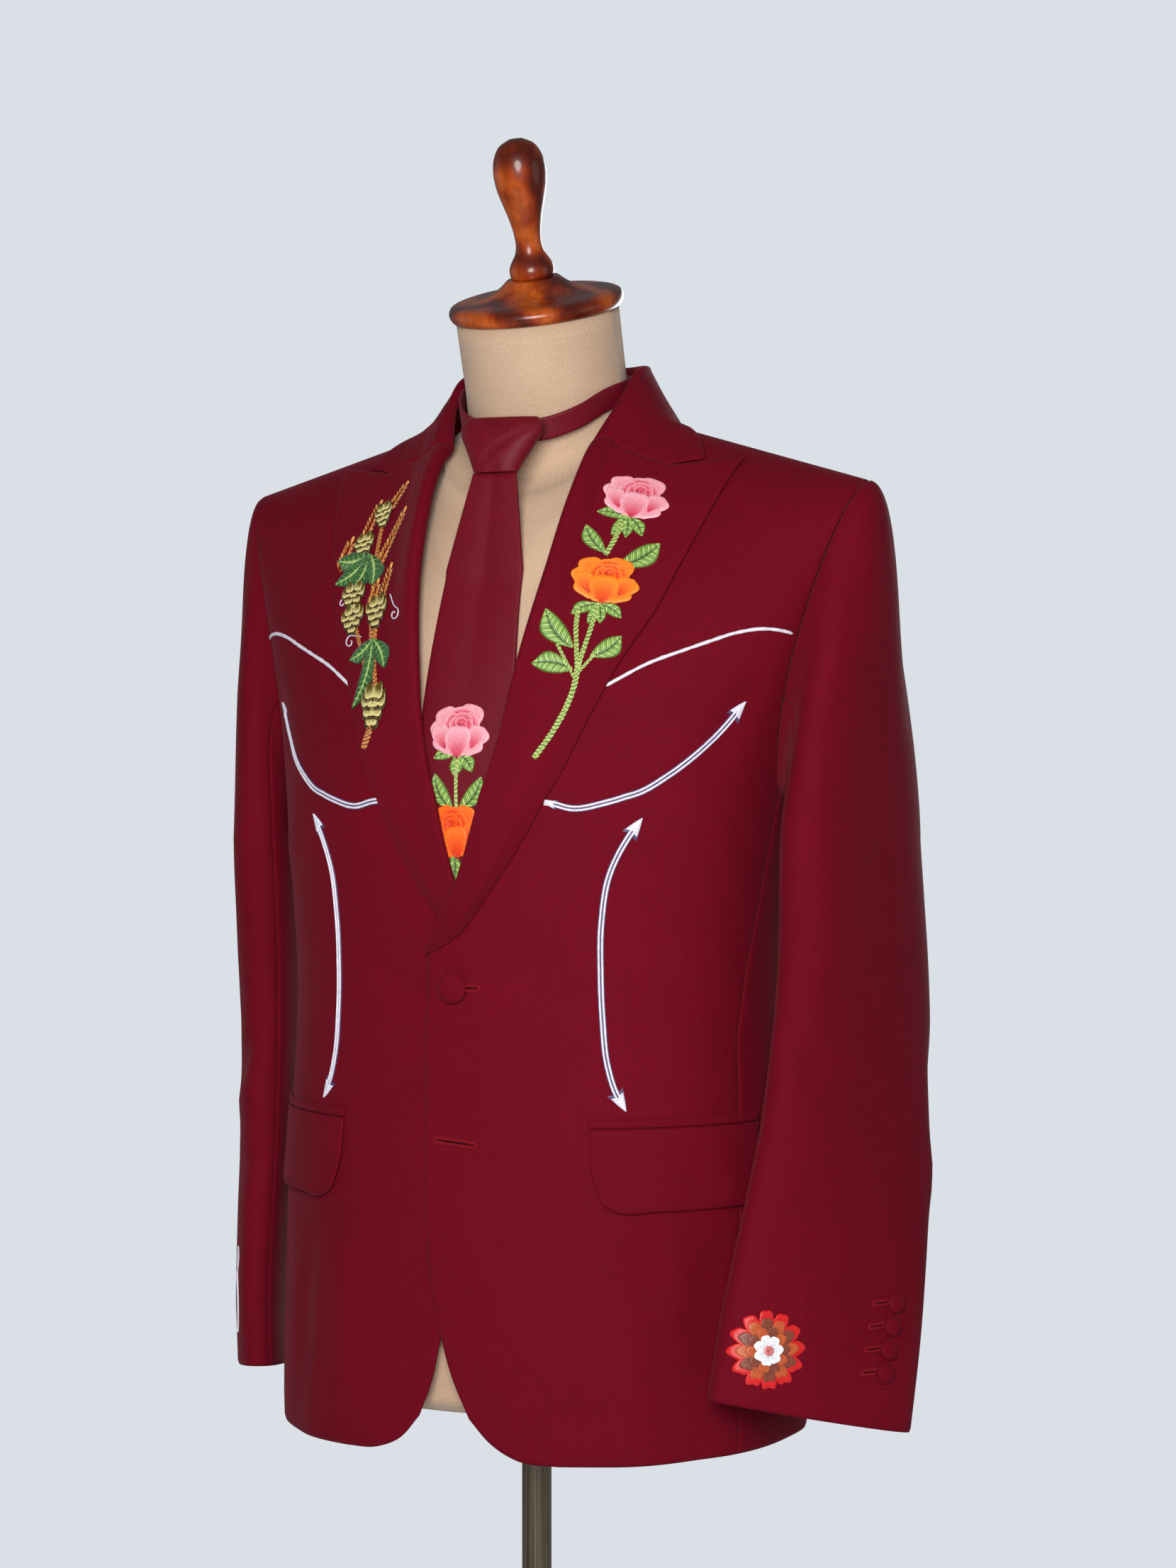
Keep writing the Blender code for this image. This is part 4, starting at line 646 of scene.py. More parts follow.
LEFT_LEAVES = (
    ((0.0840, 1.4150), (0.0690, 1.4350), 11 * MM, 0.10),
    ((0.0945, 1.4060), (0.1180, 1.4215), 15 * MM, -0.08),
    ((0.0940, 1.4400), (0.0735, 1.4440), 8 * MM, -0.10),
    ((0.0920, 1.4420), (0.0850, 1.4275), 8 * MM, 0.05),
    ((0.0925, 1.4420), (0.0945, 1.4255), 7 * MM, 0.05),
    ((0.0930, 1.4410), (0.1050, 1.4265), 8 * MM, 0.10),
    ((0.0860, 1.3800), (0.0700, 1.3730), 8 * MM, -0.10),
    ((0.0860, 1.3810), (0.0810, 1.3665), 7 * MM, 0.05),
    ((0.0860, 1.3810), (0.0890, 1.3665), 7 * MM, 0.05),
    ((0.0865, 1.3800), (0.1020, 1.3700), 8 * MM, 0.10),
    ((0.0745, 1.3500), (0.0545, 1.3770), 15 * MM, 0.12),
    ((0.0764, 1.3355), (0.0495, 1.3395), 13.5 * MM, -0.10),
    ((0.0860, 1.3440), (0.1040, 1.3580), 13 * MM, -0.10),
)
LEFT_ROSES = (
    ((0.0950, 1.4535), (23 * MM, 19 * MM), -12, 1, PINK),
    ((0.0875, 1.3955), (23 * MM, 19 * MM), -6, 1, ORANGE),
)

# Right lapel, seen from the front: stems as on the left; tendrils by centre, radius, degrees at which they
# start, turns and tail; ears by root, tip, pairs of grains and width; leaves by root, tips and width; hop
# cones by top, tip and width
SHEAF_STEMS = (
    (((-0.0960, 1.4400), (-0.0935, 1.4150), (-0.0880, 1.3850), (-0.0815, 1.3560)), 3.4 * MM),
    (((-0.1010, 1.3700), (-0.0900, 1.3500), (-0.0790, 1.3300), (-0.0720, 1.3180)), 3.0 * MM),
    (((-0.0800, 1.3720), (-0.0770, 1.3500), (-0.0725, 1.3300), (-0.0690, 1.3180)), 3.6 * MM),
    (((-0.0700, 1.3060), (-0.0718, 1.2960), (-0.0765, 1.2811)), 5.2 * MM),
)
TENDRILS = (
    ((-0.0622, 1.3745), 5.0 * MM, 90, -1.2, (-0.0710, 1.3890)),
    ((-0.1020, 1.3555), 5.0 * MM, 60, 1.1, (-0.0910, 1.3590)),
    ((-0.1165, 1.3830), 2.8 * MM, 120, 0.8, (-0.1120, 1.3880)),
)
EARS = (
    ((-0.0935, 1.4480), ((-0.0825, 1.4700),), 6, 9.5 * MM),
    ((-0.1110, 1.4220), ((-0.1035, 1.4570),), 9, 10.5 * MM),
    ((-0.0905, 1.4050), ((-0.0745, 1.4510),), 12, 10.5 * MM),
    ((-0.1265, 1.4050), ((-0.1205, 1.4310),), 6, 12.0 * MM),
    ((-0.0880, 1.3750), ((-0.0855, 1.4000),), 7, 10.0 * MM),
    ((-0.0805, 1.3700), ((-0.0750, 1.4110),), 10, 10.0 * MM),
)
LOBED_LEAVES = (
    (
        (-0.0985, 1.4170),
        ((-0.1290, 1.4130), (-0.1265, 1.3960), (-0.1090, 1.3920), (-0.0900, 1.3950)),
        15 * MM,
    ),
    (
        (-0.0785, 1.3570),
        ((-0.0985, 1.3420), (-0.0935, 1.3120), (-0.0640, 1.3370)),
        12 * MM,
    ),
)
HOP_CONES = (
    ((-0.0985, 1.4530), ((-0.0950, 1.4385),), 16 * MM),
    ((-0.1085, 1.4310), ((-0.1065, 1.4165),), 18 * MM),
    ((-0.1065, 1.3960), ((-0.1060, 1.3790),), 22 * MM),
    ((-0.1035, 1.3800), ((-0.1015, 1.3625),), 22 * MM),
    ((-0.0810, 1.3860), ((-0.0795, 1.3670),), 21 * MM),
    ((-0.0700, 1.3240), ((-0.0705, 1.2980),), 22 * MM),
)
# Rows of a hop's scales: place along the cone, half width in half widths of the cone, scales
HOP_ROWS = (
    (0.56, 0.00, 1),
    (0.33, 0.50, 2),
    (0.08, 0.90, 3),
    (-0.14, 0.50, 2),
)
HOP_SCALE = 0.50
HOP_FADE, ROSE_FADE = (0.60, 0.92), (0.02, 1.08)

# Tie, seen from the front
TIE_BOARD = (-0.003, 1.250)
TIE_STEMS = ((((-0.0035, 1.277), (-0.0040, 1.262), (-0.0030, 1.240)), 2.6 * MM),)
TIE_LEAVES = (
    ((-0.0040, 1.2790), (-0.0220, 1.2750), 8 * MM, -0.10),
    ((-0.0040, 1.2790), (-0.0060, 1.2635), 9 * MM, 0.05),
    ((-0.0040, 1.2790), (0.0080, 1.2660), 9 * MM, 0.10),
    ((-0.0060, 1.2400), (-0.0205, 1.2650), 12 * MM, 0.12),
    ((-0.0010, 1.2400), (0.0150, 1.2630), 12 * MM, -0.12),
    ((-0.0040, 1.2110), (-0.0045, 1.1900), 11 * MM, 0.05),
)
TIE_ROSES = (
    ((-0.0037, 1.2930), (22 * MM, 20 * MM), 0, 1, PINK),
    ((-0.0034, 1.2250), (19 * MM, 20 * MM), 8, -1, FLAME),
)

# Floor: where it fades out, radius, corners and height
FLOOR_FADE, FLOOR_RADIUS, FLOOR_CORNERS, FLOOR_Z = (1.1, 2.7), 2.8, 96, -0.5 * MM

# Strength of the backdrop's own light, and the lamps: place, height they face, size, power, colour
AMBIENT, WHITE = 0.24, (1, 1, 1)
LAMPS = (
    ("key", (0.70, -1.98, 1.62), 1.25, 1.0, 49, (1.0, 0.98, 0.96)),
    ("left_fill", (-2.4, -0.2, 1.6), 1.15, 1.4, 2, WHITE),
    ("right_fill", (2.4, 0.3, 1.6), 1.15, 1.4, 4, WHITE),
    ("back_fill", (-0.3, 2.6, 1.5), 1.15, 1.6, 36, WHITE),
)


@functools.lru_cache(maxsize=None)
def knots(rows):
    """Places, values and slopes of a table whose first column holds the places."""
    table = np.array(rows, float)
    return table[:, 0], table[:, 1:], np.gradient(table[:, 1:], table[:, 0], axis=0)


def spline(rows, x):
    """Smooth values of a table's other columns at x, on the last axis."""
    xs, ys, slopes = knots(rows)
    x = np.clip(np.asarray(x, float), xs[0], xs[-1])
    i = np.clip(np.searchsorted(xs, x, side="right") - 1, 0, len(xs) - 2)
    step = xs[i + 1] - xs[i]
    wide = step[..., None]
    return hermite(ys[i], wide * slopes[i], ys[i + 1], wide * slopes[i + 1], (x - xs[i]) / step)


def columns_at(rows, x):
    """The same as one array for each column."""
    return np.moveaxis(spline(rows, x), -1, 0)


def hermite(start, leave, end, arrive, t):
    """Place at t, from 0 to 1, of the curve with the given ends and tangents."""
    t = np.asarray(t, float)[..., None]
    path = (1 + 2 * t) * (1 - t) ** 2 * start + t * (1 - t) ** 2 * leave
    return path + t * t * (3 - 2 * t) * end + t * t * (t - 1) * arrive


def mix(a, b, t):
    """From a at t = 0 to b at t = 1."""
    t = np.asarray(t, float)[..., None]
    return np.asarray(a, float) * (1 - t) + np.asarray(b, float) * t


def smooth_step(low, high, x):
    """0 under low, 1 over high, and a smooth rise between them."""
    t = np.clip((np.asarray(x, float) - low) / (high - low), 0, 1)
    return t * t * (3 - 2 * t)


def hill(x, width):
    """1 at x = 0, and a smooth fall to 0 on both sides."""
    return np.exp(-((x / width) ** 2))


def unit(vectors):
    """The vectors at length 1."""
    return vectors / np.linalg.norm(vectors, axis=-1, keepdims=True)


def lengths_along(path):
    """Length of a path from its start to each of its points."""
    return np.concatenate([[0], np.cumsum(np.linalg.norm(np.diff(path, axis=0), axis=1))])


def at_lengths(places, lengths, rows):
    """Values of the rows' columns at places along a path."""
    return np.stack([np.interp(places, lengths, column) for column in rows.T], axis=-1)


def table_of(lengths, rows):
    """Table for spline with the lengths in its first column."""
    return tuple(map(tuple, np.column_stack([lengths, rows])))


def pairs_of(first, second):
    """Grid of pairs: first runs across, second up."""
    return np.stack(np.meshgrid(first, second, indexing="ij"), axis=-1)


def together(phi, v):
    """Both as arrays of one shape."""
    return np.broadcast_arrays(np.asarray(phi, float), np.asarray(v, float))


def section(phi, z):
    """Level section of the body: phi turns from the centre front, 0, to the centre back, pi."""
    wide, front, back, centre = columns_at(BODY_ROWS, z)
    s, c = np.sin(phi), np.cos(phi)
    deep = np.where(c > 0, front, back)
    radius = (np.abs(s / wide) ** SQUARENESS + np.abs(c / deep) ** SQUARENESS) ** (-1 / SQUARENESS)
    return np.stack(np.broadcast_arrays(radius * s, centre - radius * c, z), axis=-1)


def along_shoulder(phi):
    """Share of the shoulder seam, from the neck to the sleeve, at which the column at phi ends."""
    corners = section(np.array((NECK_FRONT, ARM_FRONT, NECK_BACK, ARM_BACK)), np.full(4, CHEST_Z))[:, 0]
    front = phi < math.pi / 2
    x_neck, x_arm = np.where(front, corners[0], corners[2]), np.where(front, corners[1], corners[3])
    x = section(phi, np.full_like(phi, CHEST_Z))[..., 0]
    return np.clip((x - x_neck) / (x_arm - x_neck), 0, 1)


def top_end(phi):
    """Where the column at phi ends, on the neck ring or the shoulder seam, and its end tangent."""
    front = phi < math.pi / 2
    shoulder = mix(NECK_POINT, SHOULDER_POINT, along_shoulder(phi))
    share = np.clip(np.where(front, phi / NECK_FRONT, (math.pi - phi) / (math.pi - NECK_BACK)), 0, 1)
    turn = share * math.pi / 2
    middle = np.where(front[..., None], np.array(NECK_PIT), np.array(NAPE))
    ring = np.stack(
        [
            NECK_POINT[0] * np.sin(turn),
            NECK_POINT[1] + (middle[..., 1] - NECK_POINT[1]) * np.cos(turn),
            NECK_POINT[2] + (middle[..., 2] - NECK_POINT[2]) * np.cos(turn) ** NECK_DIP,
        ],
        axis=-1,
    )
    end = np.where((share < 1)[..., None], ring, shoulder)
    backward = np.clip((SIDE_ANGLE - phi) / SIDE_SPREAD, -1, 1)
    run = RUN_SHOULDER + (RUN_NECK - RUN_SHOULDER) * (1 - share)
    lift = LIFT_SHOULDER + (LIFT_NECK - LIFT_SHOULDER) * (1 - share)
    return end, np.stack([0 * phi, backward * run, lift], axis=-1)


def rounded_top_end(phi):
    """The same with the corner at the neck point rounded off."""
    ends = [top_end(np.clip(phi + d, 0, math.pi)) for d in (-NECK_ROUNDING, 0, NECK_ROUNDING)]
    near = np.maximum(hill(phi - NECK_FRONT, 0.2), hill(phi - NECK_BACK, 0.2))[..., None]
    return [
        middle + near * (0.25 * before + 0.25 * after - 0.5 * middle) for before, middle, after in zip(*ends)
    ]


def fold_relief(phi, z):
    """How far the soft vertical folds move the cloth out."""
    total = np.zeros(np.broadcast(phi, z).shape)
    for degrees, low, high, spread, depth in FOLDS:
        top_fade = 1 - smooth_step(high - 0.4 * (high - low), high, z)
        bottom_fade = smooth_step(low - 0.02, low + 0.02, z)
        total += depth * hill(phi - math.radians(degrees), spread) * top_fade * bottom_fade
    return total


def crease_relief(rows, across, up):
    """How far short soft creases move the cloth out, at places given in metres across and up."""
    total = np.zeros(np.broadcast(across, up).shape)
    for x0, z0, x1, z1, width, depth in rows:
        run_x, run_z = x1 - x0, z1 - z0
        share = ((across - x0) * run_x + (up - z0) * run_z) / (run_x**2 + run_z**2)
        along = np.clip(share, 0, 1)
        away = np.hypot(across - x0 - run_x * along, up - z0 - run_z * along)
        fade = smooth_step(*CREASE_START, share) * (1 - smooth_step(*CREASE_END, share))
        total += depth * hill(away, width) * fade
    return total


def bare_body(phi, v):
    """Outer cloth without folds. v runs from 0 at the hem to 1 at the chest line to 2 at the top."""
    phi, v = together(phi, v)
    angle = np.abs(phi)
    low = section(angle, HEM_Z + (CHEST_Z - HEM_Z) * np.clip(v, None, 1))
    chest = np.full_like(angle, CHEST_Z)
    start = section(angle, chest)
    slope = (section(angle, chest + SLOPE_REACH) - section(angle, chest - SLOPE_REACH)) / (2 * SLOPE_REACH)
    leave = slope * np.where(angle < math.pi / 2, RISE_FRONT, RISE_BACK)[..., None]
    end, arrive = rounded_top_end(angle)
    high = hermite(start, leave, end, arrive, np.clip(v - 1, 0, 1))
    points = np.where((v <= 1)[..., None], low, high)
    points[..., 0] *= np.where(phi < 0, -1.0, 1.0)
    return points


def body_normal(phi, v):
    """Direction away from the body."""
    phi, v = together(phi, v)
    across = bare_body(phi + SMALL, v) - bare_body(phi - SMALL, v)
    up = bare_body(phi, np.minimum(v + SMALL, 2.0)) - bare_body(phi, v - SMALL)
    return unit(np.cross(across, up))


def body(phi, v, out=0.0):
    """Outer cloth with its folds, moved out along the normal. phi is negative on the wearer's right."""
    points = bare_body(phi, v)
    z = points[..., 2]
    relief = fold_relief(phi, z) + crease_relief(BODY_CREASES, phi * METRES_ROUND, z) + out
    return points + body_normal(phi, v) * relief[..., None]


def level(z):
    """Chart height of a level under the chest line."""
    return (np.asarray(z, float) - HEM_Z) / (CHEST_Z - HEM_Z)


def chart(x, z):
    """Angle and chart height of the point of the front that is x from the centre front at height z."""
    x, z = np.asarray(x, float), np.asarray(z, float)
    phi, v = np.clip(x / 0.19, -0.3, 1.1), np.where(z < CHEST_Z, level(z), 1 + (z - CHEST_Z) / 0.27)
    for _ in range(CHART_ROUNDS):
        here = bare_body(phi, v)
        across, up = (bare_body(phi + SMALL, v) - here) / SMALL, (here - bare_body(phi, v - SMALL)) / SMALL
        miss_x, miss_z = x - here[..., 0], z - here[..., 2]
        area = across[..., 0] * up[..., 2] - across[..., 2] * up[..., 0]
        step_phi = (miss_x * up[..., 2] - miss_z * up[..., 0]) / area
        step_v = (across[..., 0] * miss_z - across[..., 2] * miss_x) / area
        phi = phi + np.clip(step_phi, -CHART_STEP, CHART_STEP)
        v = np.clip(v + np.clip(step_v, -CHART_STEP, CHART_STEP), -0.1, 1.99)
    return np.stack([phi, v], axis=-1)


def charted(points):
    """Chart points of places seen from the front."""
    points = np.array(points, float)
    return chart(points[:, 0], points[:, 1])


def seam(points, levels=True):
    """Chart points of a seam given by angle in degrees and height, or chart height."""
    points = np.array(points, float)
    heights = level(points[:, 1]) if levels else points[:, 1]
    return np.stack([np.radians(points[:, 0]), heights], axis=-1)


def on_side(side, points):
    """Angle, with the sign of the side, and chart height of chart points."""
    return side * points[..., 0], points[..., 1]


def chart_metres(phi, v):
    """Chart places in metres of cloth, for the weave."""
    return np.stack([phi * METRES_ROUND, v * METRES_UP], axis=-1)


def resample(points, wanted, weights):
    """Points of a smooth curve through the given ones at shares of its length."""
    points = np.array(points, float)
    along = lengths_along(points * weights)
    dense = spline(table_of(along, points), np.linspace(0, along[-1], DENSE * len(points)))
    lengths = lengths_along(dense * weights)
    return at_lengths(np.asarray(wanted) * lengths[-1], lengths, dense)


def smooth_path(points, count):
    """count + 1 evenly spaced points of a smooth curve, in the chart or in space."""
    weights = np.array(PATH_METRES) if len(points[0]) == 2 else np.ones(3)
    return resample(points, np.linspace(0, 1, count + 1), weights)


def joined(*parts):
    """One path from (points, count) pairs, with a vertex where each pair meets."""
    paths = [smooth_path(points, count) for points, count in parts]
    return np.concatenate([paths[0]] + [p[1:] for p in paths[1:]])


def coons(bottom, top, start, end):
    """Grid between four paths: bottom and top run across, start and end run up."""
    across = np.linspace(0, 1, len(bottom))[:, None, None]
    up = np.linspace(0, 1, len(start))[None, :, None]
    ruled_up = bottom[:, None] * (1 - up) + top[:, None] * up
    ruled_across = start[None] * (1 - across) + end[None] * across
    corners = (1 - across) * ((1 - up) * bottom[0] + up * top[0])
    corners = corners + across * ((1 - up) * bottom[-1] + up * top[-1])
    return ruled_up + ruled_across - corners


def side_name(base, side):
    """Name of the piece on that side, 1 for the wearer's left and -1 for the right."""
    return base + ("_left" if side > 0 else "_right")


def front_lift(side, phi, z):
    """The left front lies over the right one, and both lie flat again away from the crossing."""
    near = 1 - smooth_step(*OVERLAP_FADE, np.abs(phi))
    return side * spline(OVERLAP_ROWS, z)[..., 0] * near


def lift_over(side, phi, v):
    """front_lift at chart places."""
    return front_lift(side, phi, bare_body(phi, v)[..., 2])


def roll_frame(side, roll):
    """Foot of the fold beside the roll line, the cloth's normal, the way to the centre, and the radius."""
    phi = side * roll[:, 0]
    start, normal = bare_body(phi, roll[:, 1]), body_normal(phi, roll[:, 1])
    inward = unit(np.cross(normal, np.gradient(start, axis=0))) * side
    share = np.linspace(0, 1, len(roll))
    radius = PRESSED_RADIUS + (ROLL_RADIUS - PRESSED_RADIUS) * smooth_step(*ROLL_OPENS, share)
    gap = ROLL_GAP + (GORGE_GAP - ROLL_GAP) * smooth_step(*GORGE_OPENS, share)
    return start + inward * gap[:, None], normal, inward, radius


def lapel_rest(width, radius):
    """Height over the front at a share of the lapel's width from its roll to its edge."""
    return LAYER_GAP + (2 * radius - LAYER_GAP) * (1 - width) ** 1.6 + 0.3 * radius * width


def mirrored(half):
    """Half a path or grid from the wearer's left to the centre, with its mirror image after it."""
    half = np.array(half, float)
    return np.concatenate([half, half[-2::-1] * (-1, 1, 1)])


def half_path(points, count):
    """First half of the smooth curve through the points and their mirror image."""
    return smooth_path(mirrored(points), 2 * count)[: count + 1]


def armhole_edges():
    """Corners of both halves of the armhole, from under the arm up: share of length, then chart point."""
    under = smooth_path(seam(UNDER_ARMHOLE, False), UNDER_STEPS)
    middle = UNDER_STEPS // 2
    front = np.concatenate([under[middle::-1], smooth_path(seam(FRONT_ARMHOLE, False), FRONT_ARM_STEPS)[1:]])
    back = np.concatenate([under[middle:], smooth_path(seam(BACK_ARMHOLE, False), BACK_ARM_STEPS)[1:]])
    tables = []
    for edge in (front, back):
        lengths = lengths_along(bare_body(*on_side(1, edge)))
        tables.append(table_of(lengths / lengths[-1], edge))
    return tables


ARMHOLE = armhole_edges()


def armhole_point(side, turn):
    """Point of the armhole: turn 0 is under the arm, a quarter in front, a half on the shoulder."""
    turn = np.mod(turn, 1.0)
    share = np.where(turn <= 0.5, 2 * turn, 2 - 2 * turn)
    front, back = (spline(edge, share) for edge in ARMHOLE)
    place = np.where((turn <= 0.5)[..., None], front, back)
    return body(side * place[..., 0], place[..., 1], ARMHOLE_GAP)


def sleeve_ring(side, turn, z):
    """Flattened ring of the hanging sleeve."""
    rows = LEFT_SLEEVE if side > 0 else RIGHT_SLEEVE
    x, y, wide, thick, degrees, drop = columns_at(rows, z)
    angle, lean = 2 * math.pi * turn, np.radians(degrees)
    along = -wide * np.sin(angle)
    across = -thick * np.sign(np.cos(angle)) * np.abs(np.cos(angle)) ** SLEEVE_SOFTNESS
    ring_x = x + along * np.cos(lean) + across * np.sin(lean)
    ring_y = y + along * np.sin(lean) - across * np.cos(lean)
    return np.stack([side * ring_x, ring_y, z - drop * along], axis=-1)


def sleeve_point(side, turn, w):
    """Outer cloth of a sleeve: w runs from 0 at the armhole to 1 below the cap to 2 at the cuff."""
    turn, w = together(turn, w)
    rows = LEFT_SLEEVE if side > 0 else RIGHT_SLEEVE
    low, high = rows[0][0], rows[-1][0]
    hanging = sleeve_ring(side, turn, high + (low - high) * np.clip(w - 1, 0, 1))
    start, end = armhole_point(side, turn), sleeve_ring(side, turn, np.full_like(turn, high))
    angle = 2 * math.pi * turn
    under = np.clip(np.cos(angle), 0, 1) ** 2
    over = CAP_REACH_LEFT if side > 0 else CAP_REACH_RIGHT
    reach = over + (UNDERARM_REACH - over) * under
    leave_z = -0.22 * np.cos(angle) - 0.35 * under
    leave = np.stack([side * 0.85 + 0 * turn, -0.36 * np.sin(angle), leave_z], axis=-1)
    drop = np.linalg.norm(end - start, axis=-1)
    arrive = np.stack([0 * turn, 0 * turn, -1.05 * drop], axis=-1)
    cap = hermite(start, leave * reach[..., None], end, arrive, np.clip(w, 0, 1))
    return np.where((w <= 1)[..., None], cap, hanging)


def sleeve_normal(side, turn, w):
    """Direction away from the sleeve."""
    turn, w = together(turn, w)
    around = sleeve_point(side, turn + 2 * SMALL, w) - sleeve_point(side, turn - 2 * SMALL, w)
    below, above = np.minimum(w + 5 * SMALL, 2), np.maximum(w - 5 * SMALL, 0)
    down = sleeve_point(side, turn, below) - sleeve_point(side, turn, above)
    return unit(np.cross(down, around)) * side


def sleeve_outer(side, turn, w, out=0.0):
    """Outer cloth of a sleeve with its creases, moved out along the normal."""
    w = np.asarray(w, float)
    below = np.where(w < 1, CAP_METRES * w, CAP_METRES + ARM_METRES * (w - 1))
    creases = LEFT_CREASES if side > 0 else RIGHT_CREASES
    relief = crease_relief(creases, np.mod(turn, 1.0) * TURN_METRES, below) + np.asarray(out)
    return sleeve_point(side, turn, w) + sleeve_normal(side, turn, w) * relief[..., None]


def neck_ring(row, columns):
    """Ring of the leaning neck for the columns that reach it, by their turn from the front."""
    front, side, back, radius = row
    angle = np.abs(columns)
    from_front = angle / NECK_FRONT * math.pi / 2
    from_back = math.pi - (math.pi - angle) / (math.pi - NECK_BACK) * math.pi / 2
    turn = np.where(angle < math.pi / 2, from_front, from_back) * np.sign(columns + 1e-9)
    sine, cosine = np.sin(turn)[:, None], np.cos(turn)[:, None]
    below = side + (front - side) * np.clip(cosine, 0, 1) ** 2 + (back - side) * np.clip(-cosine, 0, 1) ** 2
    down = np.array((0.0, math.sin(NECK_TILT), -math.cos(NECK_TILT)))
    ahead = np.array((0.0, -math.cos(NECK_TILT), -math.sin(NECK_TILT)))
    return np.array(NECK_TOP) + down * below + radius * (np.array((1.0, 0.0, 0.0)) * sine + ahead * cosine)


def blank(name):
    """New material with its node tree and shader."""
    made = bpy.data.materials.new(name)
    made.use_nodes = True
    return made, made.node_tree, made.node_tree.nodes["Principled BSDF"]


def node(tree, kind, inputs=(), **settings):
    """New node. Its inputs are given as (name, value or socket) pairs."""
    made = tree.nodes.new(kind)
    for key, value in settings.items():
        setattr(made, key, value)
    for key, value in inputs:
        if isinstance(value, bpy.types.NodeSocket):
            tree.links.new(value, made.inputs[key])
        else:
            made.inputs[key].default_value = value
    return made


def set_shader(shader, **values):
    """Set the shader's values by their names."""
    for key, value in values.items():
        shader.inputs[key.replace("_", " ")].default_value = value


def woven_place(tree):
    """Place on the cloth in metres."""
    return node(tree, "ShaderNodeUVMap", uv_map="Cloth").outputs["UV"]


def solid_place(tree):
    """Place in the solid in metres."""
    return node(tree, "ShaderNodeTexCoord").outputs["Object"]


def noise(tree, place, scale, detail=3.0, stretch=(1.0, 1.0, 1.0)):
    """Noise from 0 to 1 at a place, with scale in waves a metre."""
    mapped = node(tree, "ShaderNodeMapping", [("Vector", place), ("Scale", stretch)]).outputs[0]
    settings = [("Vector", mapped), ("Scale", scale), ("Detail", detail)]
    return node(tree, "ShaderNodeTexNoise", settings).outputs["Fac"]


def bands(tree, place, direction, scale, distortion, detail=2.0, detail_scale=1.0):
    """Wavy bands from 0 to 1."""
    settings = [("Vector", place), ("Scale", scale), ("Distortion", distortion), ("Detail", detail)]
    settings.append(("Detail Scale", detail_scale))
    return node(tree, "ShaderNodeTexWave", settings, bands_direction=direction).outputs["Fac"]


def ramp(tree, factor, stops):
    """Colour ramp with (position, colour) stops."""
    made = node(tree, "ShaderNodeValToRGB", [("Fac", factor)])
    elements = made.color_ramp.elements
    while len(elements) < len(stops):
        elements.new(0.5)
    for element, (position, colour) in zip(elements, stops):
        element.position = position
        element.color = (*colour, 1)
    return made.outputs["Color"]


def grey(value):
    return (value, value, value)


def times(tree, first, second):
    """Product of two colours."""
    made = node(tree, "ShaderNodeMix", data_type="RGBA", blend_type="MULTIPLY", clamp_result=False)
    made.inputs[0].default_value = 1.0
    for socket, value in ((made.inputs[6], first), (made.inputs[7], second)):
        if isinstance(value, bpy.types.NodeSocket):
            tree.links.new(value, socket)
        else:
            socket.default_value = (*value, 1)
    return made.outputs[2]


def shaded(tree, shade, *patterns):
    """Colour times patterns: each a socket, two of its values and the shares of light at them."""
    for pattern, low, high, dark, light in patterns:
        shade = times(tree, shade, ramp(tree, pattern, [(low, grey(dark)), (high, grey(light))]))
    return shade


def summed(tree, *parts):
    """Sum of (socket, weight) pairs."""
    total = 0.0
    for socket, weight in parts:
        inputs = [(0, socket), (1, weight), (2, total)]
        total = node(tree, "ShaderNodeMath", inputs, operation="MULTIPLY_ADD").outputs[0]
    return total


def joined_look(tree, shader, shade, pattern, roughness, relief, depth, **values):
    """Give the shader its colour, its roughness at both ends of a pattern, its relief and its values."""
    tree.links.new(shade, shader.inputs["Base Color"])
    limits = [("Value", pattern), ("To Min", roughness[0]), ("To Max", roughness[1])]
    tree.links.new(node(tree, "ShaderNodeMapRange", limits).outputs[0], shader.inputs["Roughness"])
    set_shader(shader, **values)
    inputs = [("Height", relief), ("Distance", depth), ("Strength", 1.0)]
    tree.links.new(node(tree, "ShaderNodeBump", inputs).outputs[0], shader.inputs["Normal"])


def suiting(name, roughness, gloss):
    """Burgundy twill: fine slanted ribs, flecked fibres, soft sheen."""
    made, tree, shader = blank(name)
    place = woven_place(tree)
    slant = [("Vector", place), ("Rotation", (0, 0, TWILL_SLANT))]
    ribs = bands(tree, node(tree, "ShaderNodeMapping", slant).outputs[0], "X", 330.0, 1.2, 2.0, 2.0)
    fleck = noise(tree, place, 900.0, 3.0, (1.0, 0.6, 1.0))
    cloudy = noise(tree, place, 95.0, 3.0, (1.0, 0.6, 1.0))
    broad = noise(tree, place, 9.0, 2.0)
    shade = shaded(
        tree,
        BURGUNDY,
        (fleck, 0.28, 0.72, 0.78, 1.22),
        (cloudy, 0.3, 0.7, 0.97, 1.03),
        (broad, 0.3, 0.7, 0.95, 1.05),
        (ribs, 0.0, 1.0, 0.93, 1.06),
    )
    limits, relief = (roughness - 0.07, roughness + 0.07), summed(tree, (ribs, 0.6), (fleck, 0.6))
    values = {"Specular_IOR_Level": gloss, "Sheen_Weight": 0.07, "Sheen_Roughness": 0.4}
    values["Sheen_Tint"] = (1.0, 0.35, 0.40, 1)
    joined_look(tree, shader, shade, fleck, limits, relief, WEAVE_DEPTH, **values)
    return made


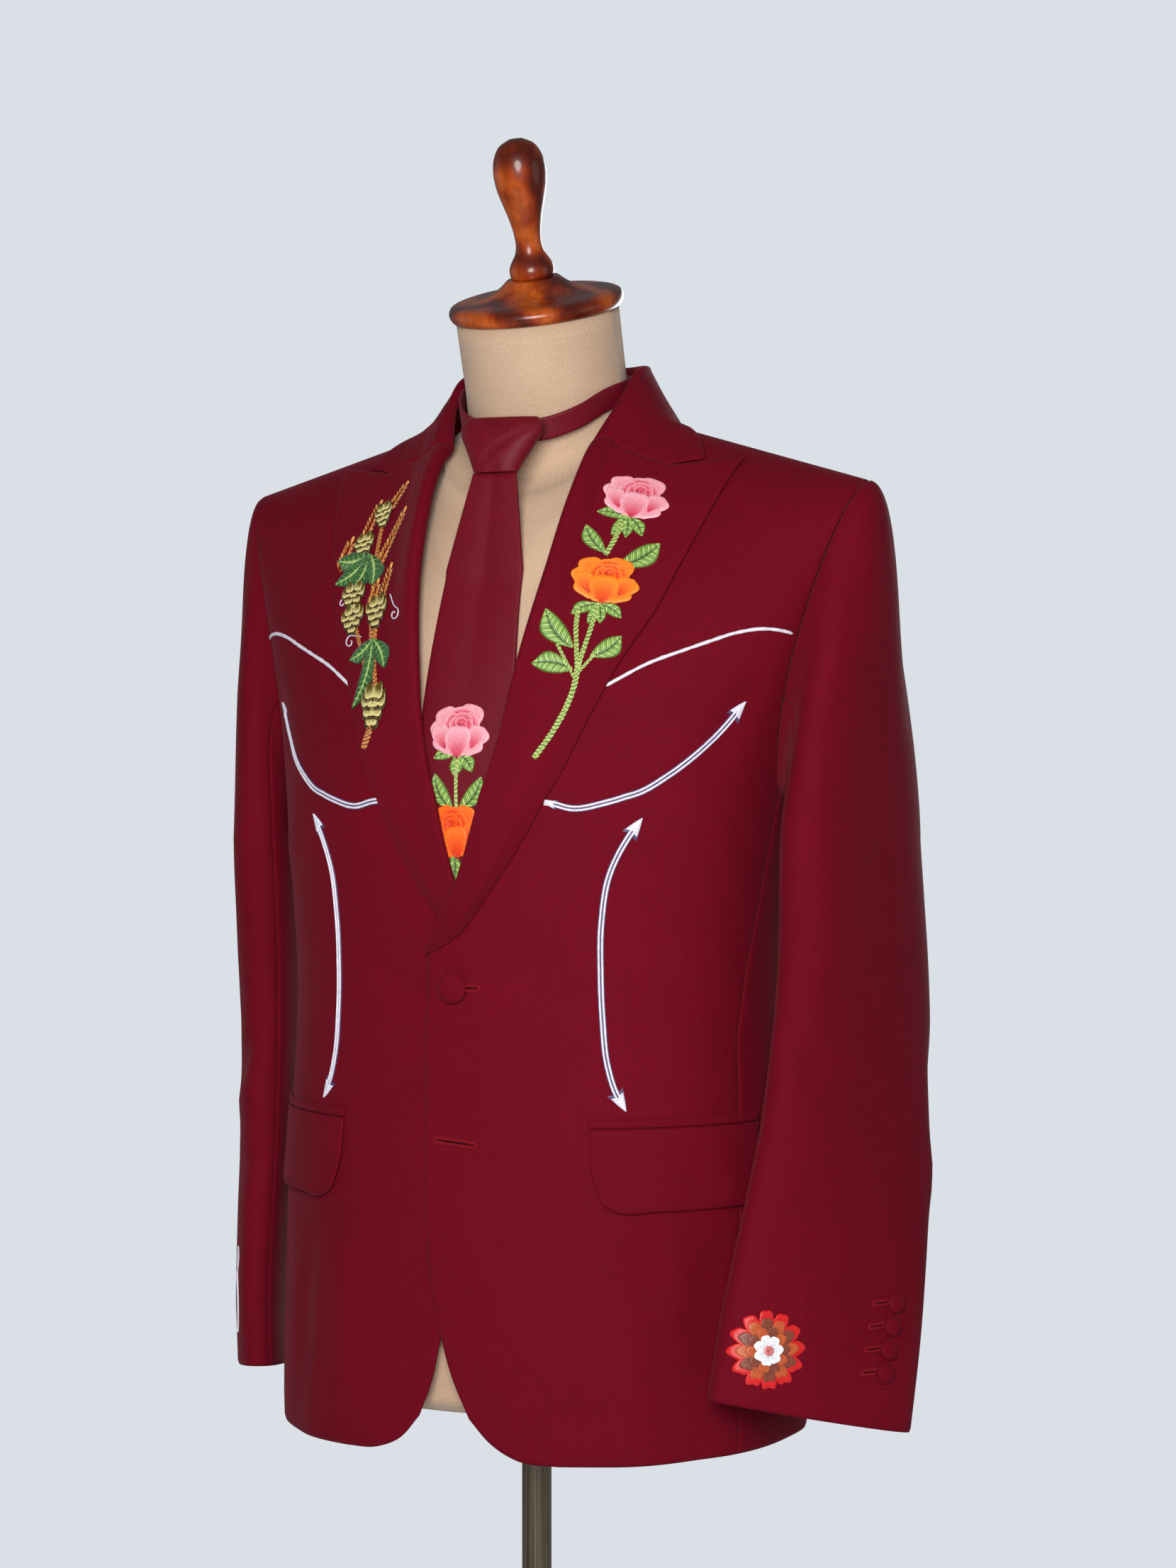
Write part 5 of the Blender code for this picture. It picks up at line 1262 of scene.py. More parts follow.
def threads(name, roughness, sheen, gloss):
    """Embroidery thread in the colours of its stitches, with a satin gloss and fine filaments."""
    made, tree, shader = blank(name)
    colour = node(tree, "ShaderNodeVertexColor", layer_name="Thread").outputs["Color"]
    hair = noise(tree, solid_place(tree), 900.0, 3.0)
    shade = shaded(tree, colour, (hair, 0.3, 0.7, 0.82, 1.14))
    limits = (roughness - 0.08, roughness + 0.08)
    values = {"Specular_IOR_Level": gloss, "Sheen_Weight": sheen, "Sheen_Roughness": 0.3}
    joined_look(tree, shader, shade, hair, limits, hair, WEAVE_DEPTH, **values)
    return made


def jersey():
    """Cream cotton jersey, stretched over the form: fine knit wales, slight staining."""
    made, tree, shader = blank("jersey_look")
    place = woven_place(tree)
    wales = bands(tree, place, "X", 260.0, 2.0)
    fleck = noise(tree, place, 520.0, 3.0)
    stain = noise(tree, place, 11.0, 4.0)
    shade = ramp(tree, stain, [(0.3, linear(188, 157, 131)), (0.7, linear(202, 172, 145))])
    shade = shaded(tree, shade, (fleck, 0.3, 0.7, 0.90, 1.08))
    relief = summed(tree, (wales, 0.7), (fleck, 0.5))
    values = {"Specular_IOR_Level": 0.25, "Sheen_Weight": 0.15, "Sheen_Roughness": 0.5}
    joined_look(tree, shader, shade, fleck, (0.78, 0.92), relief, WEAVE_DEPTH, **values)
    return made


def wood():
    """Varnished hardwood: orange brown with dark swirling heartwood under a glossy coat."""
    made, tree, shader = blank("wood_look")
    place = solid_place(tree)
    swirl = bands(tree, place, "DIAGONAL", 9.0, 9.0, 3.0, 1.6)
    grain = noise(tree, place, 300.0, 4.0, (1.0, 1.0, 0.08))
    heart = noise(tree, place, 26.0, 3.0, (1.0, 1.0, 0.55))
    shade = ramp(tree, summed(tree, (swirl, 0.55), (heart, 0.45)), WOOD_COLOURS)
    shade = shaded(tree, shade, (grain, 0.35, 0.62, 0.76, 1.08))
    values = {"Specular_IOR_Level": 0.22, "Coat_Weight": 0.32, "Coat_Roughness": 0.10}
    joined_look(tree, shader, shade, grain, (0.42, 0.28), grain, GRAIN_DEPTH, **values)
    return made


def steel():
    """Brushed steel: long fine streaks along its length, smudged and dulled with use."""
    made, tree, shader = blank("steel_look")
    place = solid_place(tree)
    streak = noise(tree, place, 520.0, 3.0, (1.0, 1.0, 0.012))
    smudge = noise(tree, place, 16.0, 4.0, (1.0, 1.0, 0.5))
    shade = ramp(tree, streak, [(0.30, linear(126, 108, 90)), (0.70, linear(180, 162, 140))])
    shade = shaded(tree, shade, (smudge, 0.35, 0.65, 0.74, 1.05))
    joined_look(tree, shader, shade, smudge, (0.40, 0.24), streak, BRUSH_DEPTH, Metallic=1.0)
    return made


SUITING, TIE_CLOTH_LOOK = suiting("suiting_look", 0.78, 0.08), suiting("tie_look", 0.52, 0.20)
JERSEY, WOOD, STEEL = jersey(), wood(), steel()
THREADS, TRIM = threads("thread_look", 0.42, 0.25, 0.45), threads("trim_look", 0.50, 0.30, 0.40)
TAILOR = threads("tailor_look", 0.70, 0.05, 0.10)


def grid_faces(rows, columns, start=0, around=False):
    """Faces of a grid of points numbered row by row. around joins the last column to the first."""
    row = np.arange(rows - 1)[:, None] * columns + start
    column = np.arange(columns if around else columns - 1)[None]
    here, beside = row + column, row + (column + 1) % columns
    return np.stack([here, here + columns, beside + columns, beside], axis=-1).reshape(-1, 4).tolist()


def rim_faces(rows, columns):
    """Faces that join the edges of two grids, the second numbered after the first."""
    count = rows * columns
    edge = [i * columns for i in range(rows)]
    edge += [(rows - 1) * columns + j for j in range(1, columns)]
    edge += [i * columns + columns - 1 for i in range(rows - 2, -1, -1)]
    edge += list(range(columns - 2, 0, -1))
    return [(a, b, b + count, a + count) for a, b in zip(edge, edge[1:] + edge[:1])]


def new_piece(name, points, faces, finish, uv=None, colours=None):
    """Smooth piece that rides with the part, with cloth coordinates or thread colours where given."""
    mesh = bpy.data.meshes.new(name)
    mesh.from_pydata(np.asarray(points, float).reshape(-1, 3).tolist(), [], faces)
    work = bmesh.new()
    work.from_mesh(mesh)
    bmesh.ops.recalc_face_normals(work, faces=work.faces)
    work.to_mesh(mesh)
    work.free()
    if uv is not None:
        corners = np.empty(len(mesh.loops), int)
        mesh.loops.foreach_get("vertex_index", corners)
        layer = mesh.uv_layers.new(name="Cloth")
        layer.data.foreach_set("uv", np.asarray(uv, float).reshape(-1, 2)[corners].ravel())
    if colours is not None:
        layer = mesh.color_attributes.new(name="Thread", type="FLOAT_COLOR", domain="POINT")
        layer.data.foreach_set("color", np.column_stack([colours, np.ones(len(colours))]).ravel())
    mesh.materials.append(finish)
    mesh.shade_smooth()
    made = bpy.data.objects.new(name, mesh)
    bpy.context.scene.collection.objects.link(made)
    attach(made, "root")
    return made


def with_edge_rows(grid):
    """The same grid with one more row close to each of its four edges."""
    for axis in (0, 1):
        grid = np.moveaxis(grid, axis, 0)
        first = grid[:1] * (1 - EDGE_ROW) + grid[1:2] * EDGE_ROW
        last = grid[-1:] * (1 - EDGE_ROW) + grid[-2:-1] * EDGE_ROW
        grid = np.concatenate([grid[:1], first, grid[1:-1], last, grid[-1:]])
        grid = np.moveaxis(grid, 0, axis)
    return grid


def cloth(node_name, outer, inner, uv):
    """Shell of cloth between two grids, with its edges rounded, in place of the node."""
    finish = TIE_CLOTH_LOOK if node_name.startswith("tie") else SUITING
    outer, inner, uv = (with_edge_rows(np.asarray(grid)) for grid in (outer, inner, uv))
    rows, columns = outer.shape[:2]
    pull = np.zeros((rows, columns, 1))
    pull[[0, -1]] = EDGE_ROUNDING
    pull[:, [0, -1]] = EDGE_ROUNDING
    faces = grid_faces(rows, columns) + grid_faces(rows, columns, rows * columns) + rim_faces(rows, columns)
    points = np.concatenate([outer * (1 - pull) + inner * pull, inner * (1 - pull) + outer * pull])
    uv = np.concatenate([uv, uv])
    made = new_piece(node_name + "_cloth", points, faces, finish, uv=uv)
    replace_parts(made, node_name)
    return made


def declare(made):
    """Give back the piece as it is."""
    return made


def refine(values, steps):
    """The values with evenly spaced ones added between each two."""
    count = len(values)
    return np.interp(np.linspace(0, count - 1, (count - 1) * steps + 1), np.arange(count), values)


def inset_seams(grid, first, last):
    """Leave room for the seam at the start of a panel, at its end, or at both."""
    grid[0, :, 0] += SEAM_INSET * first
    grid[-1, :, 0] -= SEAM_INSET * last
    return grid


def panel(name, side, grid, lifted=False):
    """Body panel on a chart grid."""
    phi, v = on_side(side, grid)
    lift = lift_over(side, phi, v) if lifted else 0.0
    outer, inner = body(phi, v, lift), body(phi, v, lift - CLOTH)
    return declare(cloth(side_name(name, side), outer, inner, chart_metres(phi, v)))


def front_outline(side):
    """Chart paths of the front's round corner, hem, edge up to the placket, and placket."""
    left, right = (LEFT_CORNER, LEFT_EDGE, LEFT_PLACKET), (RIGHT_CORNER, RIGHT_EDGE, RIGHT_PLACKET)
    corner, edge, placket = (charted(points) for points in (left if side > 0 else right))
    hem = np.concatenate([corner[-1:], seam((FRONT_HEM_MIDDLE, SIDE_SEAM[0]))])
    return corner, hem, edge, placket


def front_panel(side):
    """Front, from its edge and the roll line to the side seam."""
    corner, hem, edge, placket = front_outline(side)
    roll, ring, shoulder = charted(ROLL_LINE), seam(FRONT_RING, False), seam(FRONT_SHOULDER, False)
    grid = coons(
        joined((corner, EDGE_STEPS * FINE), (hem, (SIDE_STEPS - EDGE_STEPS) * FINE)),
        joined((np.concatenate([roll[-1:], ring]), 2 * FINE), (shoulder, (SIDE_STEPS - 2) * FINE)),
        joined((edge, EDGE_STEPS * FINE), (placket, EDGE_STEPS * FINE), (roll, LAPEL_ROWS * FINE)),
        joined((seam(SIDE_SEAM), SIDE_STEPS * FINE), (seam(FRONT_ARMHOLE, False), FRONT_ARM_STEPS * FINE)),
    )
    return panel("front", side, inset_seams(grid, False, True), lifted=True)


def side_panel(side):
    """Side body, under the armhole."""
    front, back = seam(SIDE_SEAM), seam(BACK_SEAM)
    grid = coons(
        smooth_path(np.concatenate([front[:1], seam((SIDE_HEM_MIDDLE,)), back[:1]]), UNDER_STEPS * FINE),
        smooth_path(seam(UNDER_ARMHOLE, False), UNDER_STEPS * FINE),
        smooth_path(front, SIDE_STEPS * FINE),
        smooth_path(back, SIDE_STEPS * FINE),
    )
    return panel("side", side, inset_seams(grid, True, True))


def back_panel(side):
    """Back, from the side body to the centre back seam."""
    nape_steps = BACK_STEPS - BACK_SHOULDER_STEPS
    shoulder, nape = seam(BACK_SHOULDER, False), seam(NAPE_EDGE, False)
    centre = seam(((180, level(BACK_HEM_Z)), (180, 1.0), (180, SHOULDER_V)), False)
    grid = coons(
        smooth_path(seam((BACK_SEAM[0], BACK_HEM_MIDDLE, (180, BACK_HEM_Z))), BACK_STEPS * FINE),
        joined((shoulder, BACK_SHOULDER_STEPS * FINE), (nape, nape_steps * FINE)),
        joined((seam(BACK_SEAM), SIDE_STEPS * FINE), (seam(BACK_ARMHOLE, False), BACK_ARM_STEPS * FINE)),
        smooth_path(centre, (SIDE_STEPS + BACK_ARM_STEPS) * FINE),
    )
    return panel("back", side, inset_seams(grid, True, True))


def lapel_flat():
    """Chart grid of the lapel laid flat: across from the roll line to the edge, and up to the peak."""
    rows = LAPEL_ROWS * FINE
    roll, edge = smooth_path(charted(ROLL_LINE), rows), smooth_path(charted(LAPEL_EDGE), rows)
    top = joined((charted(GORGE), 3 * FINE), (charted(PEAK_TOP), 3 * FINE))
    return coons(np.linspace(roll[0], edge[0], len(top)), top, roll, edge), roll


def lapel_surface(side, flat, roll, extra):
    """Lapel laid back on the front at chart points, extra above its underside."""
    radius = roll_frame(side, roll)[3]
    phi, v = on_side(side, flat)
    rest = lapel_rest(np.linspace(0, 1, len(flat))[:, None], radius[None])
    return body(phi, v, rest + lift_over(side, phi, v) + extra)


def lapel(side):
    """Lapel, from under its fold along the roll line to its edge."""
    flat, roll = lapel_flat()
    start, normal, inward, radius = roll_frame(side, roll)
    fold_lift = front_lift(side, side * roll[:, 0], start[:, 2])
    turns = np.radians(np.linspace(-90, 90, 4 * FINE + 1))

    def layer(extra):
        folded = []
        for angle in turns:
            out = fold_lift + radius + (radius + extra) * math.sin(angle)
            reach = (radius + extra) * math.cos(angle)
            folded.append(start + inward * reach[:, None] + normal * out[:, None])
        return np.array(folded + list(lapel_surface(side, flat, roll, extra)[1:]))

    under, over = np.linspace(LAPEL_FOLD, 0, len(turns)), np.linspace(0, LAPEL_WIDTH, len(flat))
    across = np.concatenate([-under, over[1:]])
    uv = pairs_of(across, np.linspace(0, LAPEL_LENGTH, len(roll)))
    return declare(cloth(side_name("lapel", side), layer(CLOTH), layer(0.0), uv))


def collar_grid():
    """Half of the collar's middle layer: stations from the gorge to the nape, columns from foot to edge."""
    stations = COLLAR_STATIONS * FINE
    roll = smooth_path(charted(ROLL_LINE), LAPEL_ROWS)
    start, normal, inward, radius = (part[-1] for part in roll_frame(1, roll))
    shift = unit(bare_body(*roll[-1]) - bare_body(*roll[-2])) * COLLAR_GAP
    first = start + normal * radius + shift
    fold = half_path([first, *COLLAR_FOLD], stations)
    share = np.linspace(0, 1, stations + 1)
    bend = mix(COLLAR_RADIUS, radius + CLOTH / 2, 1 - smooth_step(0, 0.3, share))[..., 0]
    up = unit(mix(inward, (0.0, 0.0, 1.0), smooth_step(0, 0.42, share)))
    run = unit(np.gradient(fold, axis=0))
    run[-1] = (-1.0, 0.0, 0.0)
    out = unit(mix(normal, unit(np.cross(run, up)), smooth_step(0, 0.15, share)))
    up = unit(np.cross(out, run))
    corner = charted(COLLAR_CORNER)
    gorge = smooth_path(charted(GORGE), 3 * FINE)[1:]
    last = gorge[-1] + (corner[0] - gorge[-1]) * np.linspace(0, 1, FINE + 1)[1:, None]
    widths = np.concatenate([np.linspace(0, 0.5, 3 * FINE + 1)[1:], np.linspace(0.5, 0.745, FINE + 1)[1:]])
    gorge = np.concatenate([gorge, last])
    notch = body(gorge[:, 0], gorge[:, 1], lapel_rest(widths, radius) + CLOTH / 2) + shift
    leaf = np.concatenate([notch[-1:], body(corner[1:, 0], corner[1:, 1], 2.2 * MM), np.array(COLLAR_LEAF)])
    leaf = half_path(leaf, stations)
    columns = [half_path([first - normal * (radius + CLOTH / 2), *COLLAR_FOOT], stations)]
    for step in np.linspace(0, 1, 4 * FINE + 1):
        low = -90 + 30 * (1 - smooth_step(0, 0.15, share))
        angle = np.radians(low + (90 - low) * step)[:, None]
        columns.append(fold + bend[:, None] * (out * np.sin(angle) + up * np.cos(angle)))
    from_fold = columns[-1]
    fade = (1 - smooth_step(0, 0.35, share))[:, None]
    for place, part in zip(notch, np.linspace(0, 1, 4 * FINE + 1)[1:]):
        straight = from_fold * (1 - part) + leaf * part
        bulge = out * (5 * MM * part * (1 - part))
        drift = place - (from_fold[0] * (1 - part) + leaf[0] * part)
        columns.append(straight + bulge * (1 - fade) + drift * fade)
    return np.array(columns).swapaxes(0, 1)


def collar():
    """Collar, with its middle layer and normals for the stitching."""
    middle = mirrored(collar_grid())
    normal = unit(np.cross(np.gradient(middle, axis=1), np.gradient(middle, axis=0)))
    width, height, _ = CUTS["collar"]
    uv = pairs_of(np.linspace(0, width, len(middle)), np.linspace(0, height, middle.shape[1]))
    declare(cloth("collar", middle + normal * CLOTH / 2, middle - normal * CLOTH / 2, uv))
    return middle, normal


def flap_grid():
    """Chart grid of the pocket flap, and its top edge."""
    low_back, high_back = seam([(FLAP_BACK_DEGREES, z) for z in FLAP_BACK_Z])
    bottom = smooth_path(np.concatenate([charted(FLAP_BOTTOM), [low_back]]), FLAP_WIDE * FINE)
    top = smooth_path(np.concatenate([charted(FLAP_TOP), [high_back]]), FLAP_WIDE * FINE)
    front = smooth_path(charted(FLAP_FRONT), FLAP_HIGH * FINE)
    return coons(bottom, top, front, np.linspace(low_back, high_back, FLAP_HIGH * FINE + 1)), top


def flap(side):
    """Pocket flap with the jet over it."""
    grid, top = flap_grid()
    phi, v = on_side(side, grid)
    out = LAYER_GAP + FLAP_HANG * np.linspace(1, 0, FLAP_HIGH * FINE + 1)[None, :] + 0 * phi
    name, uv = side_name("flap", side), chart_metres(phi, v)
    made = cloth(name, body(phi, v, out + FLAP_CLOTH), body(phi, v, out), uv)
    share = np.linspace(0, 1, FINE + 1)
    low, high = level(HEM_Z + 1 * MM), level(HEM_Z + JET_HEIGHT)
    phi, v = on_side(side, top[:, None] + np.stack([0 * share, low + high * share], axis=-1))
    outer = body(phi, v, LAYER_GAP + JET_CLOTH + JET_SWELL * np.sin(math.pi * share)[None, :])
    uv = chart_metres(phi, v) + (0, 0.3)
    jet = cloth(side_name("jet", side), outer, body(phi, v, LAYER_GAP), uv)
    return declare(made)


def sleeve_piece(name, side, turns, vent):
    """Top or under sleeve between two of its turns."""
    w = np.concatenate([refine(CAP_STEPS, FINE), 1 + np.linspace(0, 1, CUFF_STEPS * FINE + 1)[1:]])
    turn, w = np.meshgrid(refine(turns, FINE), w, indexing="ij")
    lift = 0 * turn
    if vent:
        z = sleeve_point(side, turn, w)[..., 2]
        lift = VENT_LIFT * smooth_step(BACK_SLEEVE_SEAM - VENT_WIDTH, BACK_SLEEVE_SEAM, turn)
        lift = lift * (1 - smooth_step(VENT_TOP - 0.01, VENT_TOP + 0.02, z))
    uv = np.stack([turn * SLEEVE_ROUND, -w * SLEEVE_DOWN], axis=-1)
    outer, inner = (sleeve_outer(side, turn, w, out) for out in (lift, lift - CLOTH))
    return declare(cloth(side_name(name, side), outer, inner, uv))


def sleeve(side):
    """Both pieces of a sleeve, of which the top one is given back."""
    front, back = (np.array(edge)[:, 0] / 2 for edge in ARMHOLE)
    corners = np.concatenate([front, 1 - back[-2:0:-1]])
    first, last = (np.abs(corners - turn).argmin() for turn in (FRONT_SLEEVE_SEAM, BACK_SLEEVE_SEAM))
    top = corners[first : last + 1].copy()
    under = np.concatenate([corners[last:], 1 + corners[: first + 1]])
    for turns in (top, under):
        turns[0] += SLEEVE_SEAM_TURN
        turns[-1] -= SLEEVE_SEAM_TURN
    made = sleeve_piece("sleeve_top", side, top, True)
    sleeve_piece("sleeve_under", side, under, False)
    return made


def turned(node_name, profile, origin, axis, steps, finish, sharp=None):
    """Solid of revolution from (height, radius) pairs along an axis, in place of the node."""
    axis = unit(np.array(axis, float))
    first = unit(np.cross(axis, (0.0, 1.0, 0.0) if abs(axis[1]) < 0.9 else (0.0, 0.0, 1.0)))
    second = np.cross(axis, first)
    turn = np.linspace(0, 2 * math.pi, steps, endpoint=False)[:, None]
    circle = first * np.cos(turn) + second * np.sin(turn)
    rings = np.array([np.array(origin) + axis * h + circle * r for h, r in profile])
    points = np.concatenate([rings.reshape(-1, 3), [rings[0].mean(axis=0), rings[-1].mean(axis=0)]])
    faces = grid_faces(len(profile), steps, around=True)
    low, top = len(points) - 2, (len(profile) - 1) * steps
    for k in range(steps):
        faces += [(low, (k + 1) % steps, k), (low + 1, top + k, top + (k + 1) % steps)]
    spread = points - np.array(origin)
    uv = np.stack([spread @ first, spread @ second], axis=-1)
    made = new_piece(node_name + "_turned", points, faces, finish, uv=uv)
    if sharp:
        made.data.set_sharp_from_angle(angle=math.radians(sharp))
    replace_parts(made, node_name)
    return made


def smooth_profile(profile, steps):
    """Profile with points added on a smooth curve through the given ones, by length."""
    points = np.array(profile)
    return resample(points, np.linspace(0, 1, (len(points) - 1) * steps + 1), np.ones(2))


def cloth_button(name, profile, spot, axis, steps):
    """Covered button in place of a node."""
    turned(name, smooth_profile(profile, FINE), spot, axis, steps, SUITING)


def cuff_spots(side, turn, gap):
    """Place and normal at each button's level of the cuff, at a turn of the sleeve and a gap over it."""
    rows = LEFT_SLEEVE if side > 0 else RIGHT_SLEEVE
    low, high = rows[0][0], rows[-1][0]
    spots = []
    for z in CUFF_BUTTON_Z:
        wide, drop = columns_at(rows, z)[[2, 5]]
        w = 1 + (high - z - 0.65 * drop * wide) / (high - low)
        spots.append((sleeve_outer(side, turn, w, gap), sleeve_normal(side, turn, w)))
    return spots


def buttons():
    """Front button and the rows on both cuffs."""
    phi, v = chart(FRONT_BUTTON_X, FRONT_BUTTON_Z)
    spot = body(phi, v, front_lift(1, phi, FRONT_BUTTON_Z) + BUTTON_GAP)
    cloth_button("button_front", FRONT_BUTTON, spot, body_normal(phi, v), FRONT_BUTTON_SIDES)
    for side in (1, -1):
        for number, (spot, axis) in enumerate(cuff_spots(side, CUFF_BUTTON_TURN, BUTTON_GAP), 1):
            name = side_name("cuff_button", side) + f"_{number}"
            cloth_button(name, CUFF_BUTTON, spot, axis, CUFF_BUTTON_SIDES)


def tie_blade():
    """Blade of the tie: behind the fronts to the chest, and from there up to the knot."""
    shares = np.linspace(-1, 1, 6 * FINE + 1)
    drape = TIE_DRAPE * hill(shares, TIE_DRAPE_SPREAD)
    outer, inner = [], []
    for z in np.linspace(TIE_ROWS[0][0], TIE_ROWS[-1][0], 12 * FINE + 1):
        spots = chart(shares * spline(TIE_ROWS, z), np.full(len(shares), z))
        for rows, out in ((outer, -TIE_BEHIND), (inner, -TIE_BEHIND - TIE_CLOTH)):
            rows.append(body(spots[:, 0], spots[:, 1], out - drape * smooth_step(*TIE_DRAPE_Z, z)))
    start_y = outer[-1][len(shares) // 2, 1]
    edge_fall = outer[-1][:, 1] - start_y
    low, high = TIE_TOP_ROWS[0], TIE_TOP_ROWS[-1]
    for z in np.linspace(low[0], high[0], 4 * FINE + 1)[1:]:
        y = start_y + (high[2] - start_y) * (z - low[0]) / (high[0] - low[0])
        half = spline(TIE_TOP_ROWS, z)[0]
        row = np.stack([shares * half, y + edge_fall * half / low[1], 0 * shares + z], axis=-1)
        outer.append(row)
        inner.append(row + (0, TIE_CLOTH, 0))
    outer = np.array(outer)
    return declare(cloth("tie_blade", outer, np.array(inner), outer[..., [0, 2]]))


def tie_knot():
    """Cloth wrapped round the knot, joined behind, with the folds of its turns."""
    turn = np.linspace(0.004, 2 * math.pi - 0.004, 64) + math.pi
    rows = np.linspace(KNOT_ROWS[0][0], KNOT_ROWS[-1][0], 33)
    layers = [], []
    for z in rows:
        half, thick, y = spline(KNOT_ROWS, z)
        share = (z - rows[0]) / (rows[-1] - rows[0])
        sideways = np.sign(np.sin(turn)) * np.abs(np.sin(turn)) ** 0.8
        across, front = half * sideways, np.clip(np.cos(turn), 0, 1)
        fold = KNOT_FOLD * hill(across / half + 0.75 - 1.9 * share, 0.22) * front
        dimple = KNOT_DIMPLE * hill(across, 7 * MM) * (1 - smooth_step(0, 0.4, share)) * front
        for layer, wall in zip(layers, (0.0, TIE_CLOTH / 2)):
            behind = y - (thick - wall - (fold + dimple)) * np.cos(turn)
            layer.append(np.stack([across * (1 - wall / half), behind, 0 * turn + z], axis=-1))
    uv = pairs_of(rows, turn * 0.02)
    return declare(cloth("tie_knot", *map(np.array, layers), uv))


def tie_band():
    """Band of the tie round the neck, under the collar."""
    path = mirrored(half_path(BAND_PATH, 15 * FINE))
    axis = np.array((0.0, -math.sin(NECK_TILT), math.cos(NECK_TILT)))
    across = unit(np.cross(np.gradient(path, axis=0), axis)) * BAND_CLOTH / 2
    heights = np.linspace(-0.5, 0.5, 2 * FINE + 1) * BAND_WIDTH
    middle = path[:, None] + axis * heights[None, :, None]
    uv = pairs_of(np.linspace(0, CUTS["tie_band"][0], len(path)), heights)
    return declare(cloth("tie_band", middle + across[:, None], middle - across[:, None], uv))


def form_columns():
    """Angles of the form's columns, which meet in pairs on the shoulder."""
    share = np.linspace(0, 1, FORM_SHOULDER_STEPS * FINE + 1)
    fine = np.linspace(NECK_FRONT, ARM_FRONT, 400), np.linspace(NECK_BACK, ARM_BACK, 400)
    front, back = (np.interp(share, along_shoulder(angles), angles) for angles in fine)
    throat = np.linspace(0, NECK_FRONT, 3 * FINE + 1)[:-1]
    side = np.linspace(ARM_FRONT, ARM_BACK, 4 * FINE + 1)[1:-1]
    half = np.concatenate([throat, front, side, back[::-1], math.pi - throat[::-1]])
    return np.concatenate([half, -half[-2:0:-1]])


def form_grid(columns):
    """Rows of the form's torso from its foot up, inside the jacket, with their chart heights."""
    rows = []
    angle = np.abs(columns)
    front = 1 - smooth_step(math.radians(28), math.radians(50), angle)
    arm = smooth_step(math.radians(55), ARM_FRONT, angle)
    arm = arm * (1 - smooth_step(ARM_BACK, math.radians(125), angle))
    heights = refine([row[0] for row in FORM_ROWS], FINE)
    for v in heights:
        inset_front, inset = spline(FORM_ROWS, v)
        depth = inset + (inset_front - inset) * front + FORM_ARM_INSET * arm * smooth_step(1.4, 1.8, v)
        out = body_normal(columns, min(v, SHOULDER_V))
        out = unit(out + np.array((0.0, 0.0, 1.5)) * (arm * smooth_step(1.5, 1.9, v))[:, None])
        rows.append(bare_body(columns, v) - out * depth[:, None])
    return rows, heights


def close_shoulders(columns, top):
    """Bring the front and back columns of the top row together on the shoulders."""
    count = len(columns)
    front = [k for k, a in enumerate(columns) if NECK_FRONT - TINY <= a <= ARM_FRONT + TINY]
    back = [k for k, a in enumerate(columns) if ARM_BACK - TINY <= a <= NECK_BACK + TINY][::-1]
    for k, m in zip(front, back):
        middle = (top[k] + top[m]) / 2
        for n in (k, m):
            top[n], top[(count - n) % count] = middle, middle * (-1, 1, 1)
    for k, a in enumerate(columns):
        if ARM_FRONT < abs(a) < ARM_BACK:
            top[k] = top[front[-1]] * (np.sign(a), 1, 1)


def form_cover():
    """Jersey of the limbless form: torso, closed shoulders and leaning neck."""
    columns = form_columns()
    rows, heights = form_grid(columns)
    close_shoulders(columns, rows[-1])
    count = len(columns)
    points, faces = list(np.array(rows).reshape(-1, 3)), [tuple(range(count))]
    faces += grid_faces(len(rows), count, around=True)
    uv = [(a * METRES_ROUND, v * METRES_UP) for v in heights for a in columns]
    ring = np.flatnonzero((np.abs(columns) <= NECK_FRONT + TINY) | (np.abs(columns) >= NECK_BACK - TINY))
    below = [(len(rows) - 1) * count + k for k in ring]
    table = np.array(NECK_ROWS)
    neck = np.column_stack([refine(table[:, c], 2) for c in range(4)])
    for number, row in enumerate(neck):
        above = list(range(len(points), len(points) + len(ring)))
        points += list(neck_ring(row, columns[ring]))
        uv += [(a * 0.06, 0.9 + 0.014 * number) for a in columns[ring] * 3]
        sides = zip(below, below[1:] + below[:1], above, above[1:] + above[:1])
        faces += [(a, b, d, c) for a, b, c, d in sides]
        below = above
    faces.append(tuple(below))
    made = new_piece("form_cover", points, faces, JERSEY, uv=uv)
    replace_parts(made, "form_torso")
    return made


def stand():
    """Turned wooden cap and knob on the neck, steel pole and round base."""
    axis = (0.0, -math.sin(NECK_TILT), math.cos(NECK_TILT))
    for name, profile, steps in (("neck_cap", CAP_PROFILE, 96), ("neck_knob", KNOB_PROFILE, 64)):
        turned(name, smooth_profile(profile, FINE), NECK_TOP, axis, steps, WOOD)
    pole = ((POLE_FOOT, POLE_RADIUS), (POLE_HEAD, POLE_RADIUS))
    for name, profile, steps in (("base", BASE_PROFILE, 128), ("pole", pole, 64)):
        turned(name, profile, (0, 0, 0), (0, 0, 1), steps, STEEL, SHARP_DEGREES)


